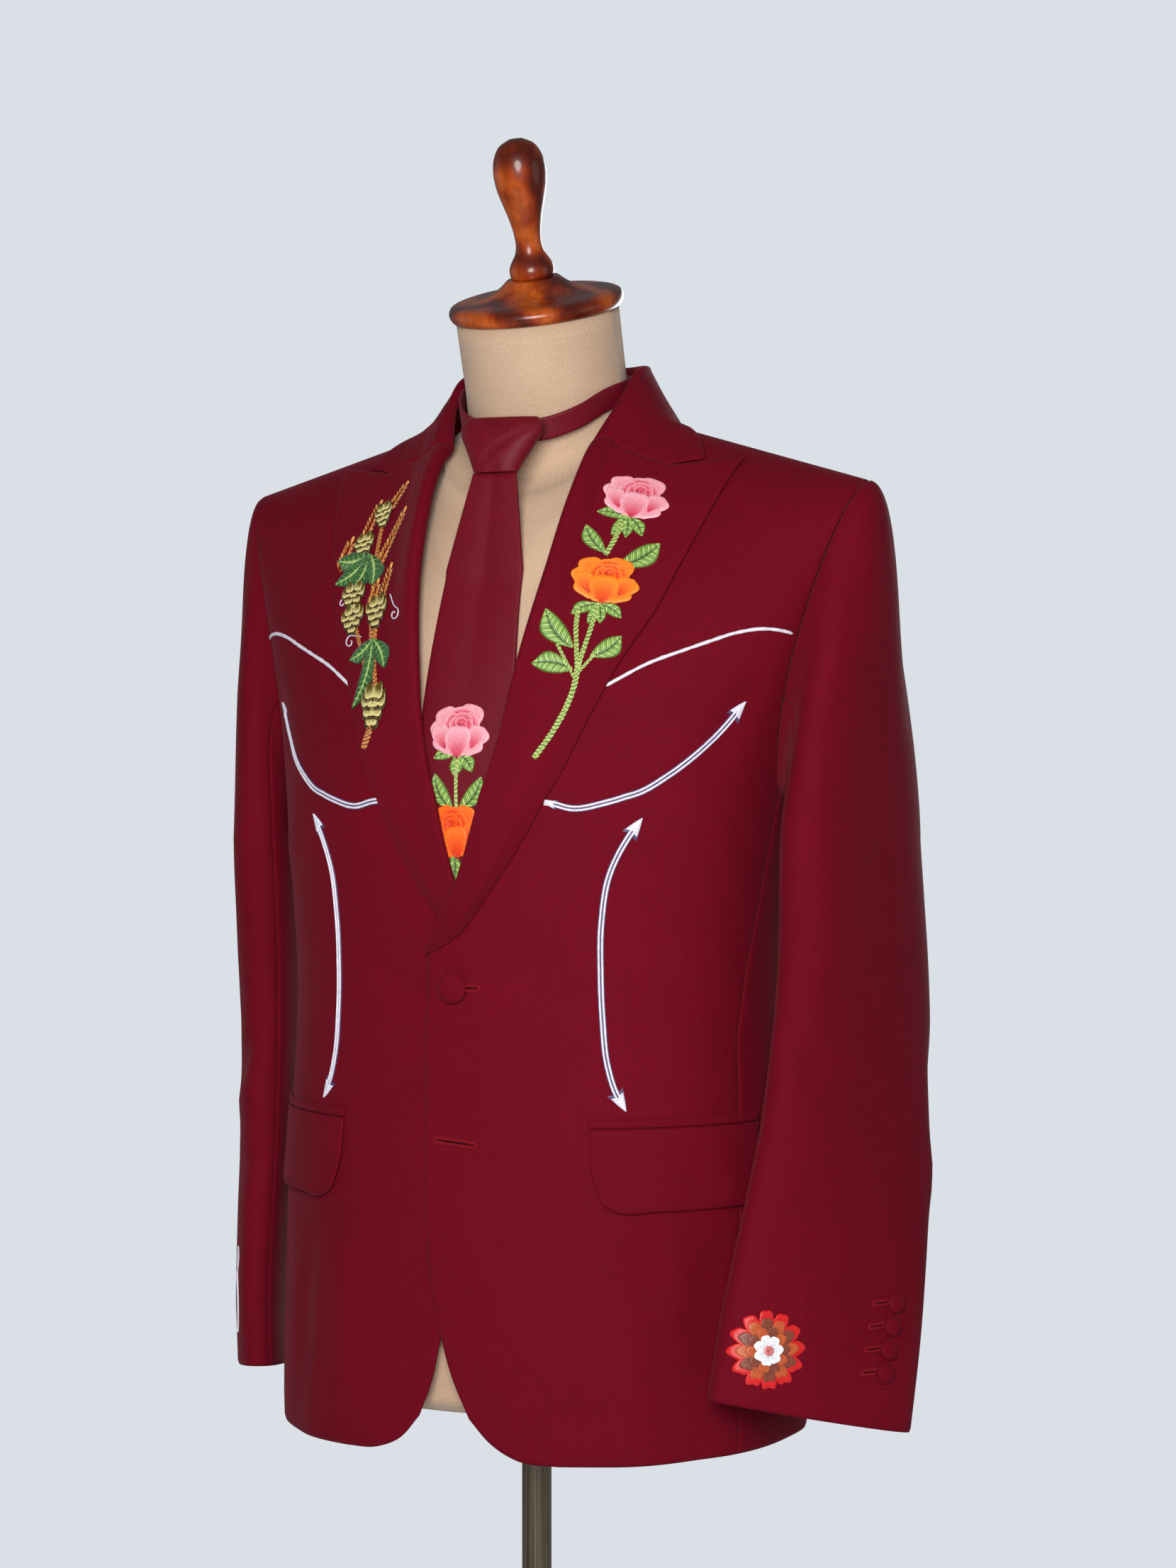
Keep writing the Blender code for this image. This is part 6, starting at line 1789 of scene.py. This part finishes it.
class Needlework:
    """Many small raised stitches and cords, gathered into one piece."""

    def __init__(self):
        self.points, self.colours, self.faces, self.count = [], [], [], 0

    def add(self, grid, colours, around=False):
        """Add a grid of points in one colour or in a colour for each."""
        rows, columns = grid.shape[:2]
        self.faces += grid_faces(rows, columns, self.count, around)
        self.points.append(grid.reshape(-1, 3))
        self.colours.append(np.broadcast_to(colours, grid.shape).reshape(-1, 3))
        self.count += rows * columns

    def make(self, name, finish, slot):
        """One piece of all that was added."""
        points, colours = np.concatenate(self.points), np.clip(np.concatenate(self.colours), 0, 1)
        return new_piece(name, points, self.faces, finish, colours=colours)


def tree_of(piece):
    """Tree of a piece's faces, for finding the cloth under a stitch."""
    points = [vertex.co.copy() for vertex in piece.data.vertices]
    return BVHTree.FromPolygons(points, [list(face.vertices) for face in piece.data.polygons])


def landed(tree, start, into, reach):
    """Where a line from start meets the cloth, and its normal there, or the place nearest to its end."""
    spot, normal, _, _ = tree.ray_cast(Vector(start), Vector(into))
    if spot is None:
        spot, normal, _, _ = tree.find_nearest(Vector(start) + Vector(into) * reach)
    spot, normal = np.array(spot), np.array(normal)
    return spot, normal if normal @ into < 0 else -normal


def from_front(tree, x, z):
    """Point and normal of the cloth seen from the front."""
    return landed(tree, (x, -0.40, z), np.array((0.0, 1.0, 0.0)), 0.28)


class Board:
    """Drawing board held flat against the cloth, on which a motif is laid out in metres."""

    def __init__(self, tree, spot, out, turn=0.0):
        self.tree, self.spot, self.out = tree, spot, out
        up = unit(np.array((0.0, 0.0, 1.0)) - out * out[2])
        right = np.cross(up, out)
        lean = math.radians(turn)
        self.right = right * math.cos(lean) + up * math.sin(lean)
        self.up = up * math.cos(lean) - right * math.sin(lean)

    def flat(self, x, z):
        """Board coordinates of the point that is seen at x and z from the front."""
        return self.across(from_front(self.tree, x, z)[0])

    def across(self, spot):
        """Board coordinates of a point."""
        return np.array(((spot - self.spot) @ self.right, (spot - self.spot) @ self.up))

    def lay(self, flat, lift):
        """Points over the cloth at board coordinates, lifted off it."""
        lift = np.broadcast_to(lift, flat.shape[:-1])
        laid = np.empty((*flat.shape[:-1], 3))
        for index in np.ndindex(*flat.shape[:-1]):
            over = self.spot + self.right * flat[index][0] + self.up * flat[index][1] + self.out * 0.03
            spot, normal = landed(self.tree, over, -self.out, 0.03)
            laid[index] = spot + normal * lift[index]
        return laid


def ridges(count):
    """1 on each thread and -1 between threads."""
    return np.where(np.arange(2 * count + 1) % 2 == 1, 1.0, -1.0)[:, None]


def petal(work, board, centre, size, degrees, spread, inner, reach, lift, shades, fade=(-0.05, 1.05)):
    """Fan of raised satin stitches from inner to a rounded rim, dark at their foot and pale at the rim."""
    turn, spread = math.radians(degrees), math.radians(spread)
    count = max(5, int(2 * spread * reach * max(size) / THREAD))
    t, s = np.meshgrid(np.linspace(-1, 1, 2 * count + 1), PETAL_STEPS, indexing="ij")
    wave = 1 + 0.04 * np.sin(3.3 * t + turn) + 0.03 * np.cos(7.1 * t + 2 * turn)
    rim = inner + (reach - inner) * np.sqrt(np.clip(1 - np.abs(t) ** 2.6, 0, 1)) * wave
    radius, angle = inner + (rim - inner) * s, turn + spread * t
    across, up = radius * np.cos(angle) * size[0], radius * np.sin(angle) * size[1]
    flat = np.stack([centre[0] + across, centre[1] + up], axis=-1)
    ridge = ridges(count)
    high = lift + (0.30 * np.sin(math.pi * (0.15 + 0.7 * s)) + 0.40 * s**4 + 0.11 * ridge) * MM
    high = np.where((s < 1) & (np.abs(t) < 1), high, 0.55 * lift)
    deep, pale = (np.array(shade) for shade in shades)
    # Painted shade: darker between threads and towards the petal's sides where neighbours meet, lighter on
    # each thread's crown; strands give each thread a random tone
    strands = np.sin(np.arange(2 * count + 1) * 1.7 + 5 * turn)[:, None]
    depth = smooth_step(*fade, s - 0.20 * strands - 0.12 * np.abs(t) ** 3)
    shade = mix(deep, pale, depth) * (1 + 0.09 * ridge + 0.05 * strands)[..., None]
    work.add(board.lay(flat, high), shade)


def rose(work, board, size, hand, shades):
    """Full rose seen a little from the side: outer petals, a swirling heart and one tall petal in front."""
    deep, pale = (np.array(shade) for shade in shades)
    for x, y, degrees, spread, inner, reach, layer, depth in ROSE_PETALS:
        centre = (hand * x * size[0], y * size[1])
        degrees = degrees if hand > 0 else 180 - degrees
        rim = pale * (1 - depth) + deep * depth
        lift = (0.3 + 0.4 * layer) * MM
        petal(work, board, centre, size, degrees, spread, inner, reach, lift, (deep, rim), ROSE_FADE)


def aim(root, tip):
    """Start, way, way to its left and length of a line on the board."""
    root, tip = np.array(root, float), np.array(tip, float)
    length = np.linalg.norm(tip - root)
    axis = (tip - root) / length
    return root, axis, np.array((-axis[1], axis[0])), length


def heading(axis):
    """Degrees of a way on the board."""
    return math.degrees(math.atan2(axis[1], axis[0]))


def leaf(work, board, root, tip, width, shades, bend=0.10, tooth=0.18, lift=0.0):
    """Leaf of slanted stitches on both sides of its midrib. shades: painted shade for the gaps, stitches,
    their crowns with a painted highlight, veins.
    """
    root, axis, side, length = aim(root, tip)
    count = max(4, int(length / STITCH))
    rows = np.arange(4 * count + 1)
    s, a = np.meshgrid(rows / rows[-1], LEAF_STEPS, indexing="ij")
    crown = np.array((-1.0, 0.5, 1.0, 0.3))[rows % 4][:, None]
    half = width / 2 * np.sin(math.pi * s**0.85) ** 0.8
    reach = half * (1 + tooth * crown) * a
    forward = 0.62 * half * a * (1 - s**4)
    gap, low, light, vein = (np.array(shade) for shade in shades)
    stitch = rows // 4
    branch = ((rows % 4 == 0) & (stitch % 3 == 1))[:, None]
    glow = 0.5 + 0.5 * np.sin(stitch * 2.3 + 40 * length)[:, None]
    for hand in (1, -1):
        along = (s * length + forward)[..., None] * axis
        sideways = (length * bend * np.sin(math.pi * s) + hand * reach)[..., None] * side
        high = lift + (0.38 + 0.34 * np.sin(math.pi * a) + 0.14 * crown - 0.12 * branch) * MM
        high = np.where(a >= 1, 0.0, np.where(a <= 0, lift + 0.28 * MM, high))
        # Painted highlight: each stitch is lighter towards its raised middle, by a random amount for each
        # stitch; painted shade darkens its sides and the gaps between stitches, and the leaf's edge is
        # darker
        shine = np.clip(0.15 + glow * np.sin(math.pi * a**0.8) - 0.45 * (crown < 0.4), 0, 1)
        shade = np.where((crown < 0)[..., None], mix(gap, low, 0.10 + 0.25 * a), mix(low, light, shine))
        shade = np.where(((a <= 0) | (branch & (a < 0.8)))[..., None], vein, shade)
        shade = np.where((a >= 0.92)[..., None], mix(gap, low, 0.55 + 0 * a), shade)
        work.add(board.lay(root + along + sideways, high), shade)


def cord(work, path, normal, radius, shades, pitch, strands=2, around=8, flat=1.0, rough=0.0, taper=1.0):
    """Cord laid along a path: twisted strands, or with no strands a row of links like chain stitch."""
    path = np.asarray(path, float)
    across = unit(np.cross(normal, unit(np.gradient(path, axis=0))))
    turn = np.linspace(0, 2 * math.pi, around, endpoint=False)[None]
    along = lengths_along(path)[:, None]
    ripple = np.cos(strands * turn - 2 * math.pi * along / pitch)
    ends = np.clip(np.minimum(along, along[-1] - along) / (taper * radius), 0, 1)
    thick = 1 + rough * (np.sin(along / 3.1e-3) * np.cos(along / 7.3e-3) + 0.6 * np.sin(along / 1.3e-3))
    size = radius * thick * (1 + 0.16 * ripple) * np.sqrt(ends * (2 - ends))
    sideways = across[:, None] * (size * np.cos(turn))[..., None]
    rings = path[:, None] + sideways + normal[:, None] * (flat * size * np.sin(turn))[..., None]
    # Painted shade and highlight: the cord is darker in the grooves between strands or links and lighter on
    # their crowns, in step with its thickness
    dark, light = shades
    work.add(rings, mix(dark, light, 0.5 + 0.5 * ripple), around=True)


def board_cord(work, board, path, radius, shades, pitch, **settings):
    """Cord on the board along a path in space."""
    cord(work, path, np.tile(board.out, (len(path), 1)), radius, shades, pitch, **settings)


def spaced(path, step):
    """The path with points a step apart on a smooth curve."""
    length = lengths_along(path)[-1]
    return resample(path, np.linspace(0, 1, max(4, int(length / step))), np.ones(3))


def spaced_straight(path, step):
    """Points a step apart on the straight lines through the given ones."""
    lengths = lengths_along(path)
    return at_lengths(np.linspace(0, lengths[-1], max(4, int(lengths[-1] / step))), lengths, path)


def front_path(tree, pairs, step=0.6 * MM):
    """Path on the cloth through points seen from the front, with the cloth's normals."""
    flat = resample(np.array(pairs), np.linspace(0, 1, 6 * len(pairs)), np.ones(2))
    path = spaced(np.array([from_front(tree, x, z)[0] for x, z in flat]), step)
    return path, np.array([from_front(tree, x, z)[1] for x, _, z in path])


def stem(work, tree, pairs, width, shades):
    """Stem of three rows of chain stitch side by side, tapered to its ends."""
    path, normal = front_path(tree, pairs)
    across = unit(np.cross(normal, np.gradient(path, axis=0)))
    for number in (-1, 1, 0):
        shifted = path + across * number * 0.31 * width + normal * (0.25 + 0.15 * (number == 0)) * MM
        pitch = (3.0 + 0.35 * number) * MM
        cord(work, shifted, normal, 0.21 * width, shades, pitch, strands=1, around=7, rough=0.14, taper=3.0)


def outlined(work, board, spot, size, degrees, spread, lift, outline, shades, **fade):
    """Petal over a larger dark one. outline: size of the dark one, height over it, its colour."""
    grow, extra, gap = outline
    for share, more, pair in ((grow, 0.0, (gap, gap)), (1.0, extra, shades)):
        fan = (size * share, size * share)
        petal(work, board, spot, fan, degrees, spread, 0.0, 1.0, (lift + more) * MM, pair, **fade)


def ear(work, board, root, tips, grains, width):
    """Ear of wheat: pairs of plump grains up to a single one at the tip, on a dark ground."""
    root, axis, side, length = aim(root, tips[0])
    degrees, grain = heading(axis), 0.66 * width
    for number in range(grains - 1, -1, -1):
        foot = root + axis * (length - grain) * number / grains
        reach = grain * (1 - 0.25 * number / grains)
        for hand in (1, -1):
            spot = foot + side * hand * 0.06 * width + axis * 0.22 * grain * (hand > 0)
            shades = GOLD if (number + (hand > 0)) % 3 == 0 else WHEAT
            lift = 0.3 + 0.05 * (grains - number)
            outlined(work, board, spot, reach, degrees + hand * 30, 14, lift, EAR_OUTLINE, shades)
    petal(work, board, tips[0] - axis * grain, (grain, grain), degrees, 15, 0.0, 1.0, 0.6 * MM, GOLD)


def hop(work, board, top, tips, width):
    """Hop cone: overlapping scales in rows, from the tip up to the stalk, each on a dark outline."""
    top, axis, side, length = aim(top, tips[0])
    for row, (place, wide, scales) in enumerate(HOP_ROWS):
        for offset in np.linspace(-wide, wide, scales) if scales > 1 else (0.0,):
            centre = top + axis * place * length + side * offset * width / 2
            lift = 0.9 + 0.30 * row + 0.05 * (offset > 0)
            size, lean = HOP_SCALE * length, heading(axis) - 30 * offset
            outlined(work, board, centre, size, lean, 40, lift, HOP_OUTLINE, HOPS, fade=HOP_FADE)


def lobed_leaf(work, board, root, tips, width):
    """Leaf of pointed lobes that fan out from one foot."""
    for tip in tips:
        share = min(1.0, np.linalg.norm(np.subtract(tip, root)) / LOBE_LENGTH)
        leaf(work, board, root, tip, width * share, DARK_GREEN, lift=1.1 * MM)


def curl(centre, radius, start, turns, tail):
    """Tendril seen from the front: from the end of its tail into a spiral."""
    share = np.linspace(0, 1, 14)
    angle = np.radians(start) + 2 * math.pi * turns * share
    size = radius * (1 - 0.85 * share)
    spiral = np.stack([centre[0] + size * np.cos(angle), centre[1] + size * np.sin(angle)], axis=-1)
    return np.concatenate([[tail], spiral])


def disc(work, board, radius, lift, shades):
    """Round of satin stitches that run out from the middle of the board."""
    count = int(2 * math.pi * radius / THREAD) * 2
    turn, s = np.meshgrid(np.arange(count) * 2 * math.pi / count, DISC_STEPS, indexing="ij")
    ridge = np.where(np.arange(count) % 2 == 1, 1.0, -1.0)[:, None]
    reach = radius * DISC_EDGE * s
    flat = np.stack([reach * np.cos(turn), reach * np.sin(turn)], axis=-1)
    high = np.where((s > 0) & (s < 1), lift + 0.12 * MM * ridge, 0.0)
    steps = np.arange(count)
    uneven = (1 + 0.8 * np.sin(steps * 2.4 + 0.7) * np.cos(steps * 1.1))[:, None]
    # Painted shade between threads and painted highlight on their crowns, stronger on some threads than
    # others
    shade = mix(*shades, 0.25 + 0.75 * s) * (1 + 0.08 * ridge * uneven)[..., None]
    grid, shade = board.lay(flat, high), np.broadcast_to(shade, (*flat.shape[:-1], 3))
    work.add(np.swapaxes(grid, 0, 1), np.swapaxes(shade, 0, 1), around=True)


def buttonhole(work, board, start, end, width):
    """Worked buttonhole: close stitches all round a dark slit of painted shadow."""
    start, axis, side, _ = aim(start, end)
    turn = np.linspace(-math.pi / 2, math.pi / 2, 9)[:, None]
    round_end = width / 2 * (axis * np.cos(turn) + side * np.sin(turn))
    caps = [end + round_end, start - round_end]
    laid = board.lay(np.concatenate([*caps, caps[0][:1]]), 0.25 * MM)
    path = spaced_straight(laid, 0.25 * MM)
    board_cord(work, board, path, 0.42 * width, HOLE_SHADES, 0.8 * MM, strands=0, around=6)
    # The slit is a thin strip in the colour of painted shadow
    leaf(work, board, start, end, 0.35 * width, (SLIT_SHADOW, SLIT_SHADOW, SLIT_SHADOW, SLIT_SHADOW), 0, 0)


def dashes(work, path, normal):
    """Row of short pick stitches that sink into the cloth at their ends."""
    lengths = lengths_along(path)
    rows = np.hstack([path, normal, unit(np.gradient(path, axis=0))])
    along, wide = np.meshgrid((-1.0, -0.5, 0.0, 0.5, 1.0), (-1.0, -0.4, 0.4, 1.0), indexing="ij")
    high = 0.30 * MM * (1 - along**2) * (1 - wide**2) - 0.05 * MM
    for row in at_lengths(np.arange(DASH_SPACING / 2, lengths[-1], DASH_SPACING), lengths, rows):
        spot, out, run = row.reshape(3, 3)
        grid = spot + along[..., None] * run * 0.9 * MM + wide[..., None] * np.cross(out, run) * 0.35 * MM
        work.add(grid + high[..., None] * out, PICK)


def inset(path, distance):
    """Chart path moved sideways, towards its left hand where distance is positive."""
    metres = np.array((METRES_ROUND, METRES_UP))
    run = unit(np.gradient(path * metres, axis=0))
    return path + np.stack([-run[:, 1], run[:, 0]], axis=-1) * distance / metres


def chart_dashes(work, side, path, lift):
    """Pick stitches along a chart path on the body."""
    phi, v = on_side(side, path)
    dashes(work, body(phi, v, lift + lift_over(side, phi, v)), body_normal(phi, v))


def pick_stitching(side, work):
    """Pick stitches along the lapel, the front edge and hem, and the flap."""
    flat, roll = lapel_flat()
    radius = roll_frame(side, roll)[3]
    for path, sink in ((flat[-1], radius), (flat[3 * FINE :, -1][::-1], radius[-1])):
        chart_dashes(work, side, inset(path, EDGE_INSET), lapel_rest(0.96, sink) + CLOTH)
    corner, hem, edge, placket = front_outline(side)
    outline = joined((placket[::-1], 30), (edge[::-1], 30), (corner, 20), (hem, 60))
    chart_dashes(work, side, inset(outline, EDGE_INSET), 0.0)
    grid, _ = flap_grid()
    fall = np.linspace(1, 0, FLAP_HIGH * FINE + 1)
    rim = np.concatenate([grid[1, ::-1][3:-1], grid[1:-1, 1]])
    hang = np.concatenate([fall[::-1][3:-1], np.ones(FLAP_WIDE * FINE - 1)])
    phi, v = on_side(side, rim)
    dashes(work, body(phi, v, LAYER_GAP + FLAP_HANG * hang + FLAP_CLOTH), body_normal(phi, v))


def trim_path(side, points):
    """Evenly spaced path on the bare front, with normals and the way across it."""
    dense = smooth_path(charted(points), 60)
    lengths = lengths_along(bare_body(*on_side(side, dense)))
    places = np.linspace(0, lengths[-1], int(lengths[-1] / TRIM_STEP))
    phi, v = on_side(side, at_lengths(places, lengths, dense))
    normal, foot = body_normal(phi, v), body(phi, v)
    return foot, normal, unit(np.cross(normal, np.gradient(foot, axis=0)))


def strip(work, foot, normal, across):
    """Flat felt strip under a pair of cords."""
    shares, heights = np.array((-1.0, -0.9, 0.9, 1.0)), np.array((0.0, 0.55, 0.55, 0.0)) * MM
    grid = foot[:, None] + across[:, None] * (shares * STRIP_WIDTH / 2)[:, None]
    work.add(grid + normal[:, None] * heights[:, None], NAVY)


def arrow_head(work, tree, tip, back, normal, size=1.0):
    """Raised satin arrowhead on a dark felt rim: tip and middle of its back edge as points on the cloth."""
    board = Board(tree, tip, normal)
    axis = unit(-board.across(back))
    side = np.array((-axis[1], axis[0]))
    s, t = np.meshgrid(np.linspace(0, 1, 2 * HEAD_THREADS + 1), np.linspace(-1, 1, 7), indexing="ij")
    ridge = ridges(HEAD_THREADS)
    for grow, lift, shades in ((1.14, 0.35 * MM, (NAVY, NAVY)), (0.94, 0.95 * MM, TRIM_SHADES)):
        half = HEAD_WIDTH * size / 2 * grow * (1 - s) ** 0.9
        along = size * HEAD_LENGTH * (s - 1) * grow - size * 2.2 * MM * np.abs(t) * (1 - s) ** 2
        along = along + 0.5 * MM * (grow - 1)
        flat = along[..., None] * axis + (half * t)[..., None] * side
        high = lift + 0.45 * MM * (1 - np.abs(t)) * (grow < 1) + 0.10 * MM * ridge
        high = np.where((np.abs(t) < 1) & (s > 0) & (s < 1), high, 0.0)
        # The satin is white on its threads and the trim's painted shadow colour between them; the felt rim
        # is one colour
        work.add(board.lay(flat, high), mix(*shades, 0.5 + 0.5 * np.broadcast_to(ridge, t.shape)))


def make_trim(work, name):
    """Trim in place of the node of that name."""
    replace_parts(work.make(name + "_cord", TRIM, "white_trim"), name)


def trims(side, front):
    """White corded lines and arrows on one front."""
    tree = tree_of(front)
    work = Needlework()
    foot, normal, _ = trim_path(side, (YOKE_START, *YOKE_LINE, YOKE_END))
    high = foot + normal * 0.5 * MM
    cord(work, high, normal, 1.2 * MM, TRIM_SHADES, 0.9 * MM, strands=1, flat=0.7, rough=0.10, taper=4.0)
    make_trim(work, side_name("yoke_line", side))
    smile = (SMILE_START, *SMILE_ARROW)
    for name, points, both in (("smile_arrow", smile, False), ("long_arrow", LONG_ARROW, True)):
        work = Needlework()
        foot, normal, across = trim_path(side, points)
        head = int(len(foot) * HEAD_LAP * HEAD_LENGTH / lengths_along(foot)[-1])
        shaft = slice(head if both else 0, len(foot) - head)
        strip(work, foot[shaft], normal[shaft], across[shaft])
        for hand in (1, -1):
            middle = (foot + across * hand * 1.20 * MM + normal * 0.80 * MM)[shaft]
            cord(work, middle, normal[shaft], 0.76 * MM, TRIM_SHADES, 1.2 * MM, rough=0.05)
        step = int(head / HEAD_LAP)
        arrow_head(work, tree, foot[-1], foot[-1 - step], normal[-1])
        if both or side > 0:
            arrow_head(work, tree, foot[0], foot[step], normal[0], 1.0 if both else SMALL_HEAD)
        make_trim(work, side_name(name, side))


def embroidery(work, name):
    """Finished embroidery."""
    work.make(name, THREADS, "white_trim")


def rose_stems(name, piece, stems, spot, leaves, roses):
    """Stems, leaves and roses on a piece of cloth. The leaves share a board at the spot."""
    tree, work = tree_of(piece), Needlework()
    for pairs, width in stems:
        stem(work, tree, pairs, width, STEM_GREEN)
    board = Board(tree, *from_front(tree, *spot))
    for root, tip, width, bend in leaves:
        leaf(work, board, board.flat(*root), board.flat(*tip), width, GREEN, bend)
    for centre, size, lean, hand, shades in roses:
        rose(work, Board(tree, *from_front(tree, *centre), lean), size, hand, shades)
    embroidery(work, name)


def lapel_sheaf(lapel_piece):
    """Wheat ears, hop cones, lobed leaves and tendrils on the right lapel."""
    tree, work = tree_of(lapel_piece), Needlework()
    for pairs, width in SHEAF_STEMS:
        stem(work, tree, pairs, width, STRAW)
    for tendril in TENDRILS:
        path, normal = front_path(tree, curl(*tendril), 0.5 * MM)
        cord(work, path + normal * 0.3 * MM, normal, 0.5 * MM, TENDRIL_SHADES, 1.2 * MM, taper=6)
    for draw, rows in ((ear, EARS), (lobed_leaf, LOBED_LEAVES), (hop, HOP_CONES)):
        for root, tips, *sizes in rows:
            board = Board(tree, *from_front(tree, *root))
            draw(work, board, board.flat(*root), [board.flat(*tip) for tip in tips], *sizes)
    embroidery(work, "lapel_sheaf")


def cuff_medallion(top_sleeve):
    """Plain round rosette in rust, white and red."""
    work, tree = Needlework(), tree_of(top_sleeve)
    board = Board(tree, *landed(tree, MEDALLION_SPOT, np.array(MEDALLION_VIEW), ACROSS_SLEEVE))
    for petals, radius, lift, looks in MEDALLION_RINGS:
        for number in range(petals):
            degrees, shades = 360 * number / petals, looks[number % len(looks)]
            high = lift + 0.12 * MM * (number % 2)
            petal(work, board, (0.0, 0.0), (radius, radius), degrees, 260 / petals, 0.0, 1.0, high, shades)
    disc(work, board, 3.6 * MM, 2.5 * MM, ROSY)
    embroidery(work, "cuff_medallion")


def sleeve_spindle(top_sleeve):
    """Slender dark spindle with a white outline above the right cuff."""
    work, tree = Needlework(), tree_of(top_sleeve)
    board = Board(tree, *landed(tree, SPINDLE_SPOT, np.array(SPINDLE_VIEW), ACROSS_SLEEVE))
    leaf(work, board, (0.0, -0.029), (0.0, 0.012), 7.5 * MM, DARK_SILK, 0, 0)
    leaf(work, board, (0.0, 0.013), (0.0, 0.032), 6.0 * MM, PALE_SILK, 0, 0)
    s = np.linspace(0, 1, 40)
    for hand in (1, -1):
        outline = np.stack([hand * 4.6 * MM * np.sin(math.pi * s**0.85) ** 0.8, -0.031 + 0.045 * s], axis=-1)
        path = spaced_straight(board.lay(outline, 0.35 * MM), 0.5 * MM)
        board_cord(work, board, path, 0.65 * MM, TRIM_SHADES, 1.3 * MM)
    embroidery(work, "sleeve_spindle")


def worked_buttonholes(left_front, sleeves, work):
    """Buttonholes of the front and the cuffs."""
    tree = tree_of(left_front)
    for spot, start, end in FRONT_HOLES:
        buttonhole(work, Board(tree, *from_front(tree, *spot)), start, end, 3.4 * MM)
    for side, top_sleeve in sleeves.items():
        tree = tree_of(top_sleeve)
        for spot, normal in cuff_spots(side, CUFF_HOLE_TURN, 0.0):
            buttonhole(work, Board(tree, spot, normal), (-5.5 * MM, 0.0), (5.5 * MM, 0.0), 2.6 * MM)


def floor():
    """Pale round floor that fades out into the backdrop's colour."""
    made, tree, shader = blank("floor_look")
    set_shader(shader, Base_Color=(*BACKDROP, 1), Roughness=0.9, Specular_IOR_Level=0.2)
    place = solid_place(tree)
    distance = node(tree, "ShaderNodeVectorMath", [(0, place)], operation="LENGTH").outputs["Value"]
    near, far = FLOOR_FADE
    limits = [("Value", distance), ("From Min", near), ("From Max", far)]
    fade = node(tree, "ShaderNodeMapRange", limits, interpolation_type="SMOOTHSTEP").outputs[0]
    clear = node(tree, "ShaderNodeBsdfTransparent").outputs[0]
    mixed = node(tree, "ShaderNodeMixShader", [(0, fade), (1, shader.outputs[0]), (2, clear)])
    tree.links.new(mixed.outputs[0], tree.nodes["Material Output"].inputs["Surface"])
    turn = np.linspace(0, 2 * math.pi, FLOOR_CORNERS, endpoint=False)
    points = [(FLOOR_RADIUS * math.cos(a), FLOOR_RADIUS * math.sin(a), FLOOR_Z) for a in turn]
    mesh = bpy.data.meshes.new("floor")
    mesh.from_pydata(points, [], [tuple(range(FLOOR_CORNERS))])
    mesh.materials.append(made)
    made = bpy.data.objects.new("floor", mesh)
    bpy.context.scene.collection.objects.link(made)


def light(name, spot, height, size, power, colour):
    """Round lamp that faces the pole's axis at a height."""
    lamp = bpy.data.lights.new(name, "AREA")
    lamp.shape, lamp.size, lamp.energy, lamp.color = "DISK", size, power, colour
    made = bpy.data.objects.new(name, lamp)
    made.location = spot
    made.rotation_euler = (Vector((0, 0, height)) - Vector(spot)).to_track_quat("-Z", "Y").to_euler()
    bpy.context.scene.collection.objects.link(made)


def studio():
    """Even backdrop all round with a weak glow, a soft key beside the camera, and three fills."""
    world = bpy.data.worlds.new("studio")
    world.use_nodes = True
    tree = world.node_tree
    seen = tree.nodes["Background"]
    seen.inputs["Color"].default_value = (*BACKDROP, 1)
    ambient = node(tree, "ShaderNodeBackground", [("Color", (*BACKDROP, 1)), ("Strength", AMBIENT)])
    ray = node(tree, "ShaderNodeLightPath").outputs["Is Camera Ray"]
    mixed = node(tree, "ShaderNodeMixShader", [(0, ray), (1, ambient.outputs[0]), (2, seen.outputs[0])])
    tree.links.new(mixed.outputs[0], tree.nodes["World Output"].inputs["Surface"])
    bpy.context.scene.world = world
    bpy.context.scene.view_settings.view_transform = "Standard"
    for lamp in LAMPS:
        light(*lamp)


def camera():
    """The photograph's view: level with the chest, a little to the wearer's left."""
    lens = bpy.data.cameras.new("camera")
    lens.sensor_fit, lens.sensor_height = "VERTICAL", SENSOR_HEIGHT
    lens.lens = SENSOR_HEIGHT * FOCAL_PIXELS / PICTURE_HEIGHT
    made = bpy.data.objects.new("camera", lens)
    made.location = (VIEW_DISTANCE * math.sin(VIEW_TURN), -VIEW_DISTANCE * math.cos(VIEW_TURN), VIEW_HEIGHT)
    down = math.atan((PICTURE_HEIGHT / 2 - HORIZON_PIXEL) / FOCAL_PIXELS)
    aside = math.atan((PICTURE_WIDTH / 2 - AXIS_PIXEL) / FOCAL_PIXELS)
    made.rotation_euler = (math.pi / 2 - down, 0, VIEW_TURN - aside)
    bpy.context.scene.collection.objects.link(made)
    bpy.context.scene.camera = made


def main():
    """Build the studio, then the form and its stand, then the jacket with its tie and needlework."""
    camera()
    studio()
    floor()
    form_cover()
    stand()
    buttons()
    stitches = Needlework()
    middle, normal = collar()
    dashes(stitches, middle[:, -2] + normal[:, -2] * CLOTH / 2, normal[:, -2])
    blade = tie_blade()
    tie_knot()
    tie_band()
    fronts, lapels, sleeves = {}, {}, {}
    for side in (1, -1):
        fronts[side] = front_panel(side)
        side_panel(side)
        back_panel(side)
        lapels[side] = lapel(side)
        flap(side)
        sleeves[side] = sleeve(side)
        trims(side, fronts[side])
        pick_stitching(side, stitches)
    worked_buttonholes(fronts[1], sleeves, stitches)
    stitches.make("tailor_stitches", TAILOR, "burgundy_suiting")
    rose_stems("lapel_roses", lapels[1], LEFT_STEMS, LEFT_BOARD, LEFT_LEAVES, LEFT_ROSES)
    lapel_sheaf(lapels[-1])
    rose_stems("tie_roses", blade, TIE_STEMS, TIE_BOARD, TIE_LEAVES, TIE_ROSES)
    cuff_medallion(sleeves[1])
    sleeve_spindle(sleeves[-1])


main()
